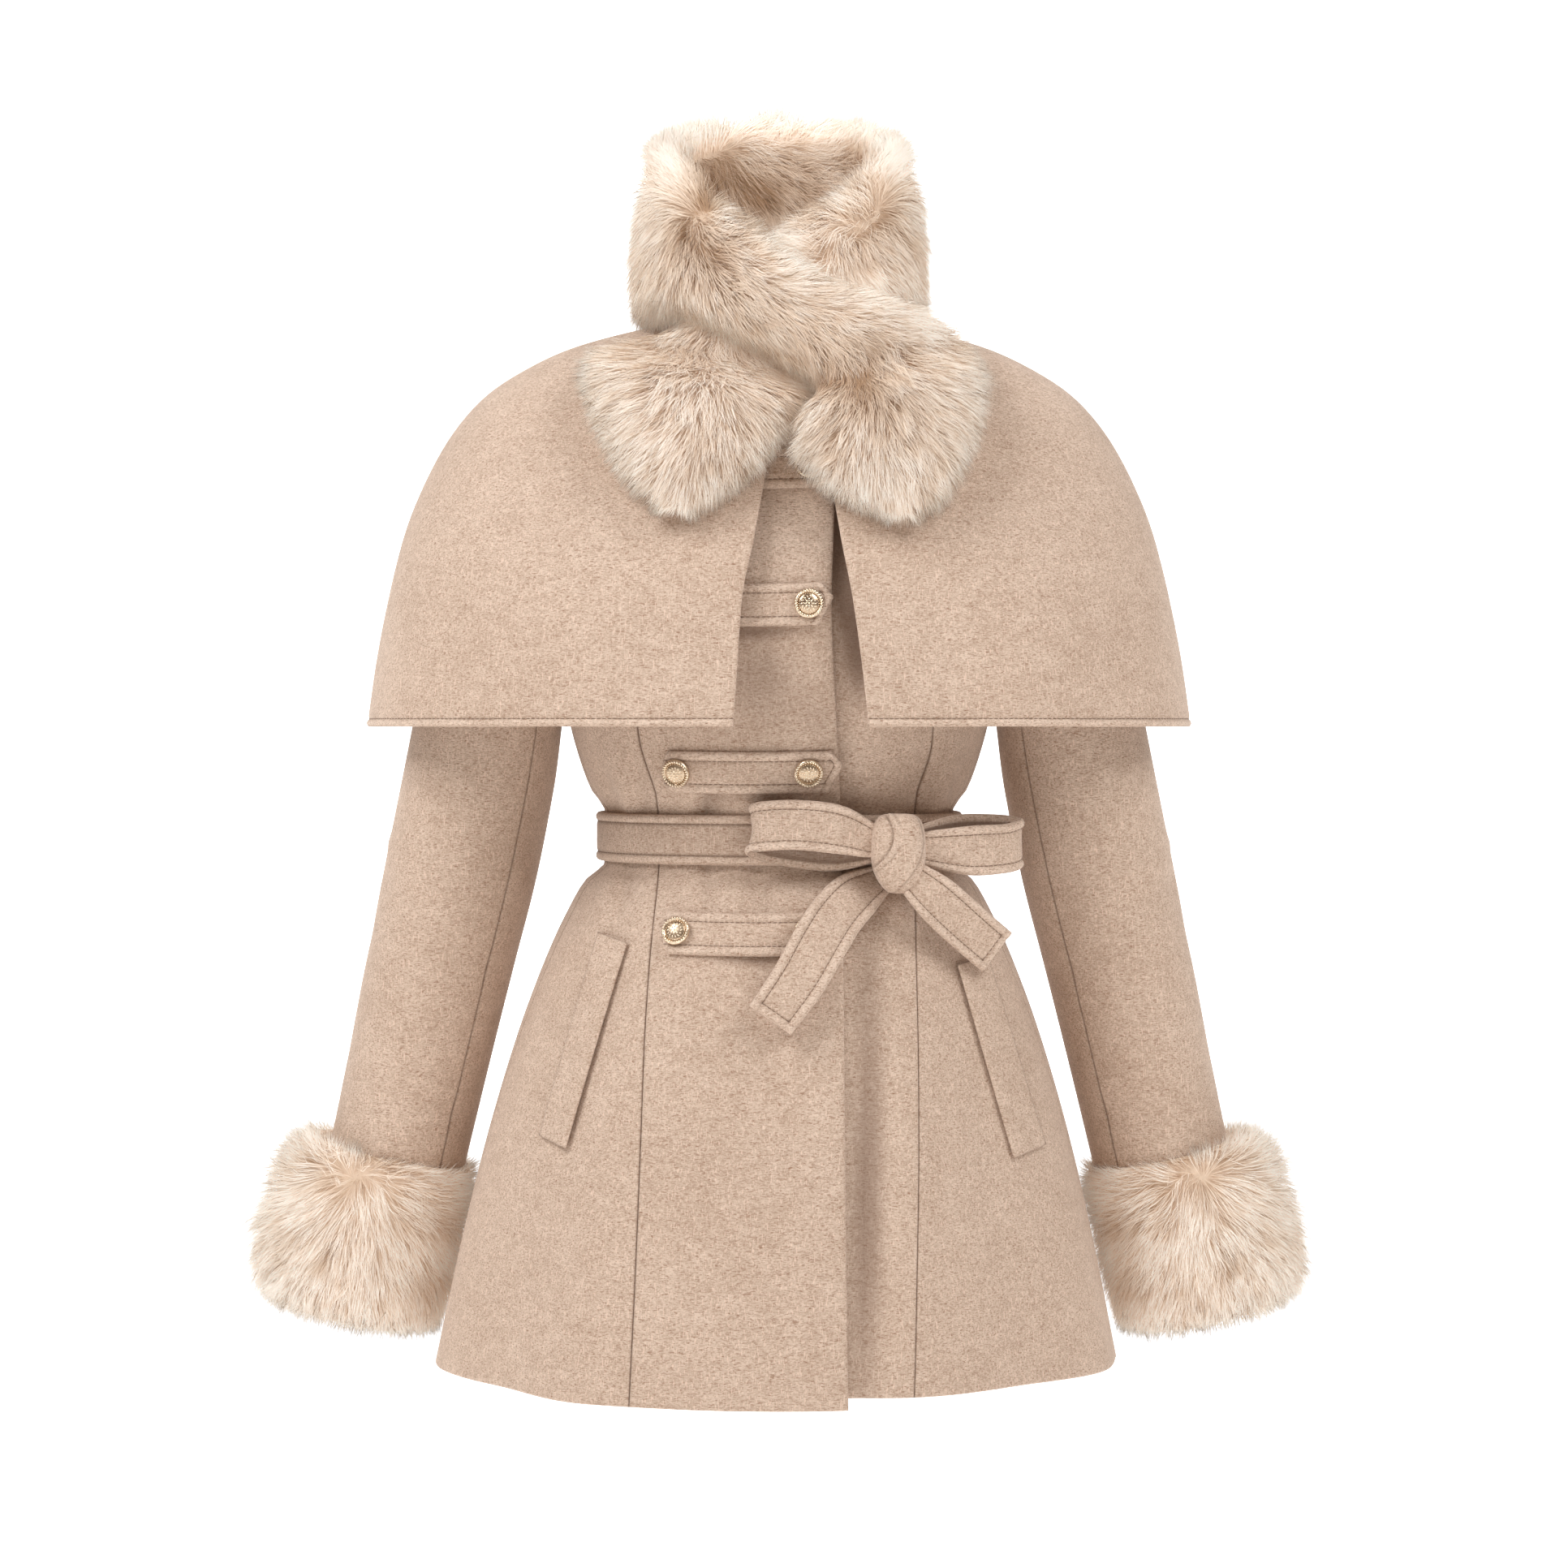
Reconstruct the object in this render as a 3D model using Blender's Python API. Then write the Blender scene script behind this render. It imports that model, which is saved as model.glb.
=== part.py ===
"""Belted wool coat with a shoulder cape, a fur collar and fur cuffs, filled out as if it were worn.

Metres, +Z up. The front faces -Y, and +X is the wearer's left. The origin is the middle of the neckline,
where the wearer's neck and shoulders hold the coat. Every piece that a maker would cut is one solid.
"""
import math
from collections import namedtuple

import bmesh
import bpy
import numpy as np

# Cloth and seams
WOOL = 0.0030
BELT_CLOTH = 0.0045
TAB_CLOTH = 0.0030
SEAM_GAP = 0.0003
LAY_GAP = 0.0005
BELT_GAP = 0.0008
LAP_STEP = 0.0042
LAP_BLEND = 0.018

# Front trim
TAB_WIDTH = 0.0270
TAB_START = -0.0750
TAB_POINT = 0.0080
TAB_CORNER = 0.0035
TAB_EDGE_ROUND = 0.0006
BUTTON_RADIUS = 0.0096
BUTTON_HEIGHT = 0.0050
BUTTON_SIDES = 16
BUTTON_LEFT_X = 0.0190
BUTTON_RIGHT_X = -0.0655

# Belt
BELT_TOP = -0.3355
BELT_BOTTOM = -0.3685
BELT_STEP = 12.0
BELT_SIDE_ZONE = 38.0
BELT_PARTING = 1.0
STRAP_WIDTH = 0.0325
STRAP_CLOTH = 0.0040
STRAP_STEPS = 3

# Sleeves and cuffs
SLEEVE_TILT = math.radians(12.9)
SLEEVE_TOP = (0.1945, 0.004, -0.262)
SLEEVE_LENGTH = 0.405
SLEEVE_RINGS = (0.0, 0.04, 0.10, 0.17, 0.24, 0.32, SLEEVE_LENGTH)
SLEEVE_SWING_BACK = 0.030
ARMHOLE_FRONT_CUT = 31.0
ARMHOLE_BACK_CUT = 28.0
CUFF_START = 0.320
CUFF_LIFT_OFF_SLEEVE = 0.0009
CUFF_MOUTH_START = 0.098
CUFF_MOUTH_FLARE = 0.0030

# Each level is one section of the coat's body, from the hem up. front_z and back_z are added to z at the
# middle front and back. front and back are depths. edge, right_seam and left_seam are the x of the front
# edge and of the seams between centre and side panels. side_seam is its angle from the middle front.
Level = namedtuple(
    "Level",
    "name z front_z back_z half_width front back roundness edge right_seam left_seam side_seam",
)
BODY_LEVELS = [
    Level("hem", -0.710, 0, 0, 0.2325, 0.1780, 0.1680, 2.10, 0.0444, -0.0950, 0.0855, 84),
    Level("low skirt", -0.630, 0, 0, 0.2165, 0.1680, 0.1590, 2.10, 0.0435, -0.0915, 0.0870, 82),
    Level("skirt", -0.550, 0, 0, 0.1978, 0.1540, 0.1470, 2.10, 0.0428, -0.0888, 0.0890, 79),
    Level("hip", -0.470, 0, 0, 0.1735, 0.1360, 0.1310, 2.12, 0.0424, -0.0865, 0.0900, 76),
    Level("high hip", -0.410, 0, 0, 0.1490, 0.1165, 0.1130, 2.15, 0.0420, -0.0830, 0.0900, 74),
    Level("skirt top", -0.382, 0, 0, 0.1330, 0.1035, 0.0990, 2.15, 0.0416, -0.0805, 0.0905, 75),
    Level("under belt", -0.371, 0, 0, 0.1205, 0.0945, 0.0895, 2.15, 0.0415, -0.0800, 0.0905, 75),
    Level("waist", -0.352, 0, 0, 0.1188, 0.0930, 0.0880, 2.15, 0.0412, -0.0795, 0.0905, 76),
    Level("over belt", -0.333, 0, 0, 0.1205, 0.0945, 0.0890, 2.15, 0.0408, -0.0810, 0.0915, 76),
    Level("over waist", -0.322, 0, 0, 0.1285, 0.1010, 0.0935, 2.15, 0.0405, -0.0820, 0.0930, 77),
    Level("ribs", -0.285, 0, 0, 0.1415, 0.1130, 0.0985, 2.15, 0.0388, -0.0925, 0.1025, 80),
    Level("armpit", -0.200, 0, 0, 0.1565, 0.1280, 0.1060, 2.20, 0.0345, -0.0980, 0.1020, 90),
    Level("chest", -0.150, 0, 0, 0.1590, 0.1190, 0.1085, 2.15, 0.0360, -0.0940, 0.0960, 90),
    Level("high chest", -0.098, -0.008, 0, 0.1630, 0.1030, 0.1050, 2.05, 0.0370, -0.0870, 0.0880, 90),
    Level("shoulder tip", -0.044, -0.030, 0.002, 0.1670, 0.0840, 0.0870, 2.0, 0.0340, -0.0760, 0.0760, 90),
    Level("shoulder", -0.0165, -0.041, 0.010, 0.1200, 0.0710, 0.0740, 2.0, 0.0280, -0.0600, 0.0600, 90),
    Level("neck", -0.0035, -0.044, 0.019, 0.0700, 0.0595, 0.0625, 2.0, 0.0200, -0.0430, 0.0430, 90),
]
UNDERLAP_X = -0.020
LEFT_HEM_RISE = 0.0072

# The cape in the same way, from its hem up to the neck seam. right_edge and left_edge are the x of its
# two front edges, and seam is the angle of its shoulder seam from the middle front.
CapeLevel = namedtuple(
    "CapeLevel", "name z front_z back_z half_width front back roundness right_edge left_edge seam"
)
CAPE_LEVELS = [
    CapeLevel("hem", -0.277, 0, 0, 0.2825, 0.1530, 0.1430, 2.30, -0.0291, 0.0578, 92),
    CapeLevel("elbow", -0.237, -0.002, 0, 0.2768, 0.1500, 0.1405, 2.30, -0.0265, 0.0535, 91),
    CapeLevel("arm", -0.190, -0.005, -0.003, 0.2680, 0.1445, 0.1355, 2.25, -0.0235, 0.0475, 90),
    CapeLevel("high arm", -0.144, -0.010, -0.006, 0.2565, 0.1360, 0.1290, 2.20, -0.0155, 0.0398, 88),
    CapeLevel("sleeve head", -0.110, -0.020, -0.010, 0.2430, 0.1260, 0.1220, 2.15, -0.0115, 0.0360, 86),
    CapeLevel("shoulder edge", -0.076, -0.032, -0.012, 0.2240, 0.1150, 0.1140, 2.10, -0.0080, 0.0330, 84),
    CapeLevel("shoulder tip", -0.050, -0.040, -0.008, 0.2010, 0.1045, 0.1055, 2.05, -0.0060, 0.0310, 83),
    CapeLevel("shoulder", -0.032, -0.043, 0.002, 0.1740, 0.0945, 0.0965, 2.0, -0.0050, 0.0290, 82),
    CapeLevel("slope", -0.018, -0.044, 0.012, 0.1440, 0.0840, 0.0870, 2.0, -0.0040, 0.0270, 82),
    CapeLevel("near neck", -0.0085, -0.045, 0.018, 0.1120, 0.0740, 0.0770, 2.0, -0.0035, 0.0250, 82),
    CapeLevel("neck", 0.0000, -0.046, 0.021, 0.0740, 0.0637, 0.0667, 2.0, -0.0030, 0.0230, 82),
]

# Soft folds that the skirt falls into: angle from the middle front, half width in degrees, rise at the hem
Fold = namedtuple("Fold", "angle spread rise")
SKIRT_FOLDS = [
    Fold(-76, 10, 0.0060),
    Fold(-52, 9, -0.0050),
    Fold(-33, 8, 0.0040),
    Fold(24, 7, 0.0030),
    Fold(44, 9, -0.0040),
    Fold(66, 10, 0.0055),
    Fold(108, 11, -0.0050),
    Fold(132, 11, 0.0060),
    Fold(158, 10, -0.0050),
    Fold(180, 10, 0.0050),
    Fold(204, 10, -0.0050),
    Fold(229, 11, 0.0060),
    Fold(254, 11, -0.0050),
]

# Rows of the sleeve below its head, by distance down its axis: half sizes towards the body, away from
# it, and to the front and back
SleeveRow = namedtuple("SleeveRow", "down inner outer front back")
SLEEVE_ROWS = [
    SleeveRow(0.000, 0.0460, 0.0545, 0.0560, 0.0560),
    SleeveRow(0.050, 0.0505, 0.0535, 0.0550, 0.0550),
    SleeveRow(0.110, 0.0520, 0.0525, 0.0540, 0.0540),
    SleeveRow(0.175, 0.0500, 0.0512, 0.0520, 0.0520),
    SleeveRow(0.240, 0.0482, 0.0498, 0.0500, 0.0500),
    SleeveRow(0.310, 0.0468, 0.0485, 0.0485, 0.0485),
    SleeveRow(0.405, 0.0455, 0.0480, 0.0480, 0.0480),
]

# The cuff's fur: how far it stands off the sleeve on its outer side, at places along its length
CuffRow = namedtuple("CuffRow", "down reach")
CUFF_ROWS = [
    CuffRow(0.000, 0.0060),
    CuffRow(0.003, 0.0190),
    CuffRow(0.013, 0.0290),
    CuffRow(0.034, 0.0350),
    CuffRow(0.060, 0.0380),
    CuffRow(0.084, 0.0385),
    CuffRow(0.101, 0.0350),
    CuffRow(0.113, 0.0250),
    CuffRow(0.118, 0.0110),
]
CUFF_SQUASH_INNER = 0.24
CUFF_SQUASH_FRONT = 0.72

# Fur stretches: the lower or inner edge, the upper or outer edge, the pile's thickness there, how far the
# middle stands out past the line between the edges, and the way out: how far it turns sideways and up
Stretch = namedtuple("Stretch", "low_x low_y low_z high_x high_y high_z thick bow side up")
NECK_RING = dict(low_x=0.0875, low_back=0.0865, high_x=0.0755, high_back=0.0800)
COLLAR_THICK = 0.0360
COLLAR_JOIN = 104.0
FUR_ROUNDNESS = 3.4
FUR_CLEARANCE = 0.0044
RIDGE_MARGIN = 0.012
CAPE_WAY_OUT = (0.30, 0.30)
OVER_NECK = [
    Stretch(-0.0770, -0.0500, -0.0015, -0.0625, -0.0450, 0.1040, 0.0360, 0.0, 1.0, 0.0),
    Stretch(-0.0600, -0.0780, -0.0050, -0.0380, -0.0720, 0.0720, 0.0350, 0.0010, 1.0, 0.0),
    Stretch(-0.0270, -0.0970, -0.0210, -0.0080, -0.0960, 0.0440, 0.0345, 0.0020, 0.9, 0.02),
    Stretch(0.0060, -0.1030, -0.0400, 0.0290, -0.0960, 0.0180, 0.0345, 0.0040, 0.7, 0.06),
    Stretch(0.0270, -0.1110, -0.0550, 0.0660, -0.0900, 0.0040, 0.0350, 0.0070, 0.5, 0.12),
    Stretch(0.0215, -0.1165, -0.0660, 0.0980, -0.0700, -0.0043, 0.0360, 0.0100, 0.35, 0.20),
]
UNDER_NECK = [
    Stretch(0.0770, -0.0480, -0.0020, 0.0625, -0.0430, 0.1040, 0.0360, 0.0, 1.0, 0.0),
    Stretch(0.0570, -0.0660, -0.0120, 0.0410, -0.0580, 0.0800, 0.0300, 0.0, 1.0, 0.0),
    Stretch(0.0340, -0.0770, -0.0400, 0.0010, -0.0560, 0.0560, 0.0220, 0.0, 0.8, 0.05),
    Stretch(0.0250, -0.0830, -0.0540, -0.0380, -0.0530, 0.0200, 0.0190, 0.0010, 0.6, 0.15),
    Stretch(0.0220, -0.0950, -0.0610, -0.0740, -0.0520, -0.0105, 0.0190, 0.0050, 0.4, 0.22),
]
# Further on a stretch lies on the cape: its two edges, and how far it is lifted by what is under it
Lying = namedtuple("Lying", "low_x low_z high_x high_z thick bow lift")
OVER_TAIL = [
    Lying(0.0150, -0.0740, 0.1230, -0.0220, 0.0370, 0.0130, 0.0020),
    Lying(0.0110, -0.0850, 0.1330, -0.0500, 0.0380, 0.0140, 0.0020),
    Lying(0.0120, -0.1010, 0.1300, -0.0770, 0.0370, 0.0130, 0.0),
    Lying(0.0240, -0.1150, 0.1210, -0.1020, 0.0340, 0.0110, 0.0),
    Lying(0.0400, -0.1270, 0.1090, -0.1240, 0.0260, 0.0070, 0.0010),
    Lying(0.0620, -0.1380, 0.0930, -0.1385, 0.0120, 0.0030, 0.0040),
]
UNDER_TAIL = [
    Lying(0.0170, -0.0680, -0.1120, -0.0200, 0.0260, 0.0110, 0.0),
    Lying(0.0100, -0.0790, -0.1290, -0.0400, 0.0330, 0.0140, 0.0),
    Lying(-0.0020, -0.0950, -0.1250, -0.0620, 0.0360, 0.0130, 0.0),
    Lying(-0.0170, -0.1110, -0.1150, -0.0850, 0.0350, 0.0110, 0.0),
    Lying(-0.0340, -0.1260, -0.1010, -0.1100, 0.0280, 0.0080, 0.0010),
    Lying(-0.0500, -0.1370, -0.0830, -0.1310, 0.0120, 0.0030, 0.0040),
]

# Tabs from the top: height of the middle, x of the point, and whether the far end shows its button
Tab = namedtuple("Tab", "name z tip far_button")
TABS = [
    Tab("first", -0.1090, 0.0360, False),
    Tab("second", -0.1980, 0.0355, False),
    Tab("third", -0.3060, 0.0420, True),
    Tab("fourth", -0.4125, 0.0420, True),
]

# Pocket welts: x and z of the upper and lower end of the middle line, and the width
Welt = namedtuple("Welt", "name top_x top_z low_x low_z width")
WELTS = [
    Welt("pocket_welt_right", -0.1085, -0.4170, -0.1480, -0.5500, 0.0210),
    Welt("pocket_welt_left", 0.1270, -0.4320, 0.1640, -0.5580, 0.0210),
]

# Bow: centre line of each strap, and its width there as a share of the whole strap, less in the knot's grip
StrapPoint = namedtuple("StrapPoint", "x y z share")
KNOT = dict(x=0.0780, y=-0.1085, z=-0.3600, half_x=0.0180, half_y=0.0160, half_z=0.0260)
KNOT_TAPER = 0.40
LEFT_SIDE_LOOP = [
    StrapPoint(0.0966, -0.1010, -0.3520, 0.72),
    StrapPoint(0.1180, -0.0875, -0.3515, 1.0),
    StrapPoint(0.1410, -0.0770, -0.3515, 1.0),
    StrapPoint(0.1555, -0.0745, -0.3530, 1.0),
    StrapPoint(0.1590, -0.0795, -0.3550, 1.0),
    StrapPoint(0.1500, -0.0890, -0.3575, 1.0),
    StrapPoint(0.1250, -0.1005, -0.3585, 1.0),
    StrapPoint(0.0975, -0.1080, -0.3570, 0.72),
]
RIGHT_SIDE_LOOP = [
    StrapPoint(0.0578, -0.0975, -0.3530, 0.72),
    StrapPoint(0.0360, -0.1006, -0.3510, 1.0),
    StrapPoint(0.0100, -0.1034, -0.3490, 1.0),
    StrapPoint(-0.0100, -0.1050, -0.3470, 1.0),
    StrapPoint(-0.0158, -0.1095, -0.3445, 1.0),
    StrapPoint(-0.0100, -0.1155, -0.3420, 1.0),
    StrapPoint(0.0130, -0.1195, -0.3410, 1.0),
    StrapPoint(0.0380, -0.1180, -0.3440, 0.98),
    StrapPoint(0.0578, -0.1115, -0.3510, 0.73),
]
LEFT_SIDE_TAIL = [
    StrapPoint(0.0912, -0.1172, -0.3788, 0.78),
    StrapPoint(0.1020, -0.1165, -0.3885, 0.95),
    StrapPoint(0.1150, -0.1080, -0.4005, 1.0),
    StrapPoint(0.1300, -0.0985, -0.4140, 1.0),
    StrapPoint(0.1440, -0.0880, -0.4260, 1.0),
]
RIGHT_SIDE_TAIL = [
    StrapPoint(0.0745, -0.0883, -0.3740, 0.42),
    StrapPoint(0.0620, -0.0952, -0.3805, 0.78),
    StrapPoint(0.0530, -0.1065, -0.3880, 1.0),
    StrapPoint(0.0430, -0.1210, -0.3995, 1.0),
    StrapPoint(0.0320, -0.1345, -0.4145, 1.0),
    StrapPoint(0.0150, -0.1440, -0.4400, 1.0),
    StrapPoint(-0.0055, -0.1500, -0.4650, 1.0),
]

# Colours as red, green, blue in linear light, with roughness and metallic value
FINISHES = {
    "wool": ((0.60, 0.43, 0.32), 0.92, 0.0),
    "fur": ((0.74, 0.58, 0.44), 0.95, 0.0),
    "gold": ((0.86, 0.66, 0.38), 0.28, 1.0),
}


class Track:
    """A smooth curve through one column of a table, which never swings past its rows."""

    def __init__(self, values, at=None):
        self.value = np.asarray(values, dtype=float)
        self.at = np.arange(len(values), dtype=float) if at is None else np.asarray(at, dtype=float)
        step = np.diff(self.at)
        slope = np.diff(self.value) / step
        turn = np.zeros(len(self.value))
        turn[1:-1] = np.where(
            slope[:-1] * slope[1:] > 0,
            2 * slope[:-1] * slope[1:] / np.where(slope[:-1] + slope[1:] == 0, 1, slope[:-1] + slope[1:]),
            0,
        )
        turn[0] = slope[0]
        turn[-1] = slope[-1]
        self.turn = turn

    def __call__(self, where):
        where = np.clip(np.asarray(where, dtype=float), self.at[0], self.at[-1])
        row = np.clip(np.searchsorted(self.at, where, side="right") - 1, 0, len(self.at) - 2)
        step = self.at[row + 1] - self.at[row]
        t = (where - self.at[row]) / step
        return (
            (2 * t**3 - 3 * t**2 + 1) * self.value[row]
            + (t**3 - 2 * t**2 + t) * step * self.turn[row]
            + (3 * t**2 - 2 * t**3) * self.value[row + 1]
            + (t**3 - t**2) * step * self.turn[row + 1]
        )


def power(value, exponent):
    return np.sign(value) * np.abs(value) ** exponent


def unit(vectors):
    return vectors / np.maximum(np.linalg.norm(vectors, axis=-1, keepdims=True), 1e-12)


class Garment:
    """A surface round the wearer, from the rows of a table: an angle from the middle front, and a level."""

    def __init__(self, rows, folds=(), fold_end=0.0):
        self.track = {name: Track([getattr(row, name) for row in rows]) for name in rows[0]._fields[1:]}
        self.top = len(rows) - 1
        self.folds = folds
        self.fold_end = fold_end
        self.levels = np.linspace(0, self.top, 600)
        self.index = {row.name: i for i, row in enumerate(rows)}

    def column(self, name, level):
        return self.track[name](level)

    def height(self, angle, level):
        """Angles are in degrees, level is a row number that may lie between two rows."""
        facing = np.cos(np.radians(angle))
        drop = np.where(facing > 0, self.column("front_z", level), self.column("back_z", level))
        return self.column("z", level) + drop * facing**2

    def points(self, angle, level):
        angle, level = np.broadcast_arrays(np.asarray(angle, float), np.asarray(level, float))
        sine = np.sin(np.radians(angle))
        facing = np.cos(np.radians(angle))
        exponent = 2 / self.column("roundness", level)
        depth = np.where(facing > 0, self.column("front", level), self.column("back", level))
        x = self.column("half_width", level) * power(sine, exponent)
        y = -depth * power(facing, exponent)
        if self.folds:
            strength = np.clip(1 - level / self.fold_end, 0, 1) ** 1.3
            rise = np.zeros_like(x)
            for fold in self.folds:
                turn = (angle - fold.angle + 180) % 360 - 180
                rise = rise + fold.rise * np.exp(-((turn / fold.spread) ** 2))
            reach = 1 + rise * strength / np.hypot(x, y)
            x = x * reach
            y = y * reach
        return np.stack([x, y, self.height(angle, level)], axis=-1)

    def outward(self, angle, level, turn=0.4, climb=0.04):
        level = np.asarray(level, float)
        across = self.points(angle + turn, level) - self.points(angle - turn, level)
        low = np.clip(level - climb, 0, self.top)
        high = np.clip(level + climb, 0, self.top)
        up = self.points(angle, high) - self.points(angle, low)
        return unit(np.cross(across, up))

    def angle_at(self, x, level):
        share = np.clip(np.abs(x) / self.column("half_width", level), 0, 1)
        return np.sign(x) * np.degrees(np.arcsin(share ** (self.column("roundness", level) / 2)))

    def front_spot(self, x, z):
        """The angle and level of the front surface's point at x and z."""
        x = np.asarray(x, float)
        z = np.asarray(z, float)
        angle = np.zeros(np.broadcast(x, z).shape)
        level = np.zeros_like(angle)
        for _ in range(14):
            for spot in np.ndindex(angle.shape):
                heights = self.height(angle[spot], self.levels)
                level[spot] = np.interp(np.broadcast_to(z, angle.shape)[spot], heights, self.levels)
            angle = self.angle_at(np.broadcast_to(x, angle.shape), level)
        return angle, level


BODY = Garment(BODY_LEVELS, SKIRT_FOLDS, fold_end=4.2)
CAPE = Garment(CAPE_LEVELS)
ARMPIT = BODY.index["armpit"]
SHOULDER_TIP = BODY.index["shoulder tip"]
ARMHOLE_ROWS = ARMPIT + np.array([0, 0.22, 0.55, 1.0, 1.5, 2.0, 2.45, 2.78, 3.0])
BODY_ROWS = np.concatenate(
    [
        np.array([0, 1, 2, 2.5, 3, 3.5, 4, 4.5, 5, 6, 7, 8, 9, 10]),
        ARMHOLE_ROWS,
        SHOULDER_TIP + np.array([0.55, 1.1, 2.0]),
    ]
)
CAPE_ROWS = np.array([0, 1, 2, 3, 3.5, 4, 4.5, 5, 5.5, 6, 7, 8, 9, 10], float)


def finish_material(name):
    material = bpy.data.materials.get(name)
    if material is None:
        colour, roughness, metallic = FINISHES[name]
        material = bpy.data.materials.new(name)
        material.use_nodes = True
        shader = material.node_tree.nodes["Principled BSDF"]
        shader.inputs["Base Color"].default_value = (*colour, 1.0)
        shader.inputs["Roughness"].default_value = roughness
        shader.inputs["Metallic"].default_value = metallic
    return material


def add_solid(name, points, faces, finish, sharp=50.0):
    """One closed body with its faces pointing out, shaded smooth but for its sharp edges."""
    mesh = bpy.data.meshes.new(name)
    mesh.from_pydata([tuple(float(c) for c in p) for p in points], [], faces)
    work = bmesh.new()
    work.from_mesh(mesh)
    bmesh.ops.remove_doubles(work, verts=work.verts, dist=1e-6)
    bmesh.ops.recalc_face_normals(work, faces=work.faces)
    work.to_mesh(mesh)
    work.free()
    mesh.shade_smooth()
    mesh.set_sharp_from_angle(angle=math.radians(sharp))
    solid = bpy.data.objects.new(name, mesh)
    solid.data.materials.append(finish_material(finish))
    bpy.context.scene.collection.objects.link(solid)
    return solid


def sheet_faces(rows, columns, first, flip=False):
    faces = []
    for j in range(rows - 1):
        for i in range(columns - 1):
            a = first + j * columns + i
            quad = (a, a + 1, a + columns + 1, a + columns)
            faces.append(tuple(reversed(quad)) if flip else quad)
    return faces


def cloth_wall(name, outer, inner, finish="wool"):
    """Closes an outer and an inner grid of points, rows by columns, into one wall."""
    rows, columns = outer.shape[:2]
    half = rows * columns
    points = np.concatenate([outer.reshape(-1, 3), inner.reshape(-1, 3)])
    faces = sheet_faces(rows, columns, 0) + sheet_faces(rows, columns, half, flip=True)
    for i in range(columns - 1):
        for row, turn in ((0, 1), (rows - 1, -1)):
            a = row * columns + i
            faces.append((a + 1, a, a + half, a + 1 + half)[::turn])
    # The long edges are split the same way on both sides of a seam, so that two twisted edges don't cross
    for j in range(rows - 1):
        for column, turn in ((columns - 1, 1), (0, -1)):
            a = j * columns + column
            b = a + columns
            faces.append((b, a, b + half)[::turn])
            faces.append((a, a + half, b + half)[::turn])
    return add_solid(name, points, faces, finish)


def pull_in(grid, first=True, last=True, gap=SEAM_GAP / 2):
    """Moves the first and last column of a grid in towards the next one, to part two pieces at a seam."""
    grid = grid.copy()
    if first:
        grid[:, 0] += unit(grid[:, 1] - grid[:, 0]) * gap
    if last:
        grid[:, -1] += unit(grid[:, -2] - grid[:, -1]) * gap
    return grid


def panel(name, garment, rows, start, end, columns, inset=None, low_rise=None):
    """A wall between two angles, each given for every row. inset moves points in, by angle and level."""
    share = np.linspace(0, 1, columns + 1)
    angle = start[:, None] * (1 - share) + end[:, None] * share
    level = np.repeat(rows[:, None], columns + 1, axis=1)
    if low_rise is not None:
        level[0] = low_rise(angle[0])
    outer = garment.points(angle, level)
    normal = garment.outward(angle, level)
    if inset is not None:
        outer = outer - normal * inset(outer[..., 0], level)[..., None]
    inner = outer - normal * WOOL
    return cloth_wall(name, pull_in(outer), pull_in(inner))


# Body
def armhole_bulge(level):
    share = np.clip((level - ARMPIT) / (SHOULDER_TIP - ARMPIT), 0, 1)
    return np.sin(math.pi * share) ** 0.6


def side_angle(level, cut):
    """The side seam below the armpit, the armhole's edge, and the shoulder seam above it."""
    seam = BODY.column("side_seam", np.minimum(level, ARMPIT))
    return np.where(level <= ARMPIT, seam, 90.0) + cut * armhole_bulge(level)


def front_seam(side, level):
    return BODY.angle_at(BODY.column(side + "_seam", level), level)


def lap_inset(x, level):
    """The left front steps in under the right front's edge."""
    past = (x - BODY.column("edge", level) - 0.003) / LAP_BLEND
    share = np.clip(1 - past, 0, 1)
    return LAP_STEP * share**2 * (3 - 2 * share)


def left_hem(angle):
    """The left front hangs a little shorter at the middle, and level with the rest at the side."""
    drop = BODY_LEVELS[1].z - BODY_LEVELS[0].z
    return LEFT_HEM_RISE / drop * np.cos(np.radians(np.clip(angle, 0, 90))) ** 0.8


def make_body():
    rows = BODY_ROWS
    edge = BODY.angle_at(BODY.column("edge", rows), rows)
    under = BODY.angle_at(np.full(len(rows), UNDERLAP_X), rows)
    right = front_seam("right", rows)
    left = front_seam("left", rows)
    front_side = side_angle(rows, -ARMHOLE_FRONT_CUT)
    back_side = side_angle(rows, ARMHOLE_BACK_CUT)
    panel("front_right_centre", BODY, rows, right, edge, 6)
    panel("front_right_side", BODY, rows, -front_side, right, 6)
    panel("front_left_centre", BODY, rows, under, left, 6, inset=lap_inset, low_rise=left_hem)
    panel("front_left_side", BODY, rows, left, front_side, 6, low_rise=left_hem)
    panel("back", BODY, rows, back_side, 360 - back_side, 15)


def make_cape():
    rows = CAPE_ROWS
    right = CAPE.angle_at(CAPE.column("right_edge", rows), rows)
    left = CAPE.angle_at(CAPE.column("left_edge", rows), rows)
    seam = CAPE.column("seam", rows)
    panel("cape_right_front", CAPE, rows, -seam, right, 9)
    panel("cape_left_front", CAPE, rows, left, seam, 8)
    panel("cape_back", CAPE, rows, seam, 360 - seam, 16)


# Sleeves
def armhole_loop(side):
    """Points round the armhole from the armpit up the front, over the shoulder tip and down the back."""
    front = BODY.points(side_angle(ARMHOLE_ROWS, -ARMHOLE_FRONT_CUT), ARMHOLE_ROWS)
    back = BODY.points(side_angle(ARMHOLE_ROWS, ARMHOLE_BACK_CUT), ARMHOLE_ROWS)
    loop = np.concatenate([front, back[-2:0:-1]])
    return loop * np.array([side, 1, 1])


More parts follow.
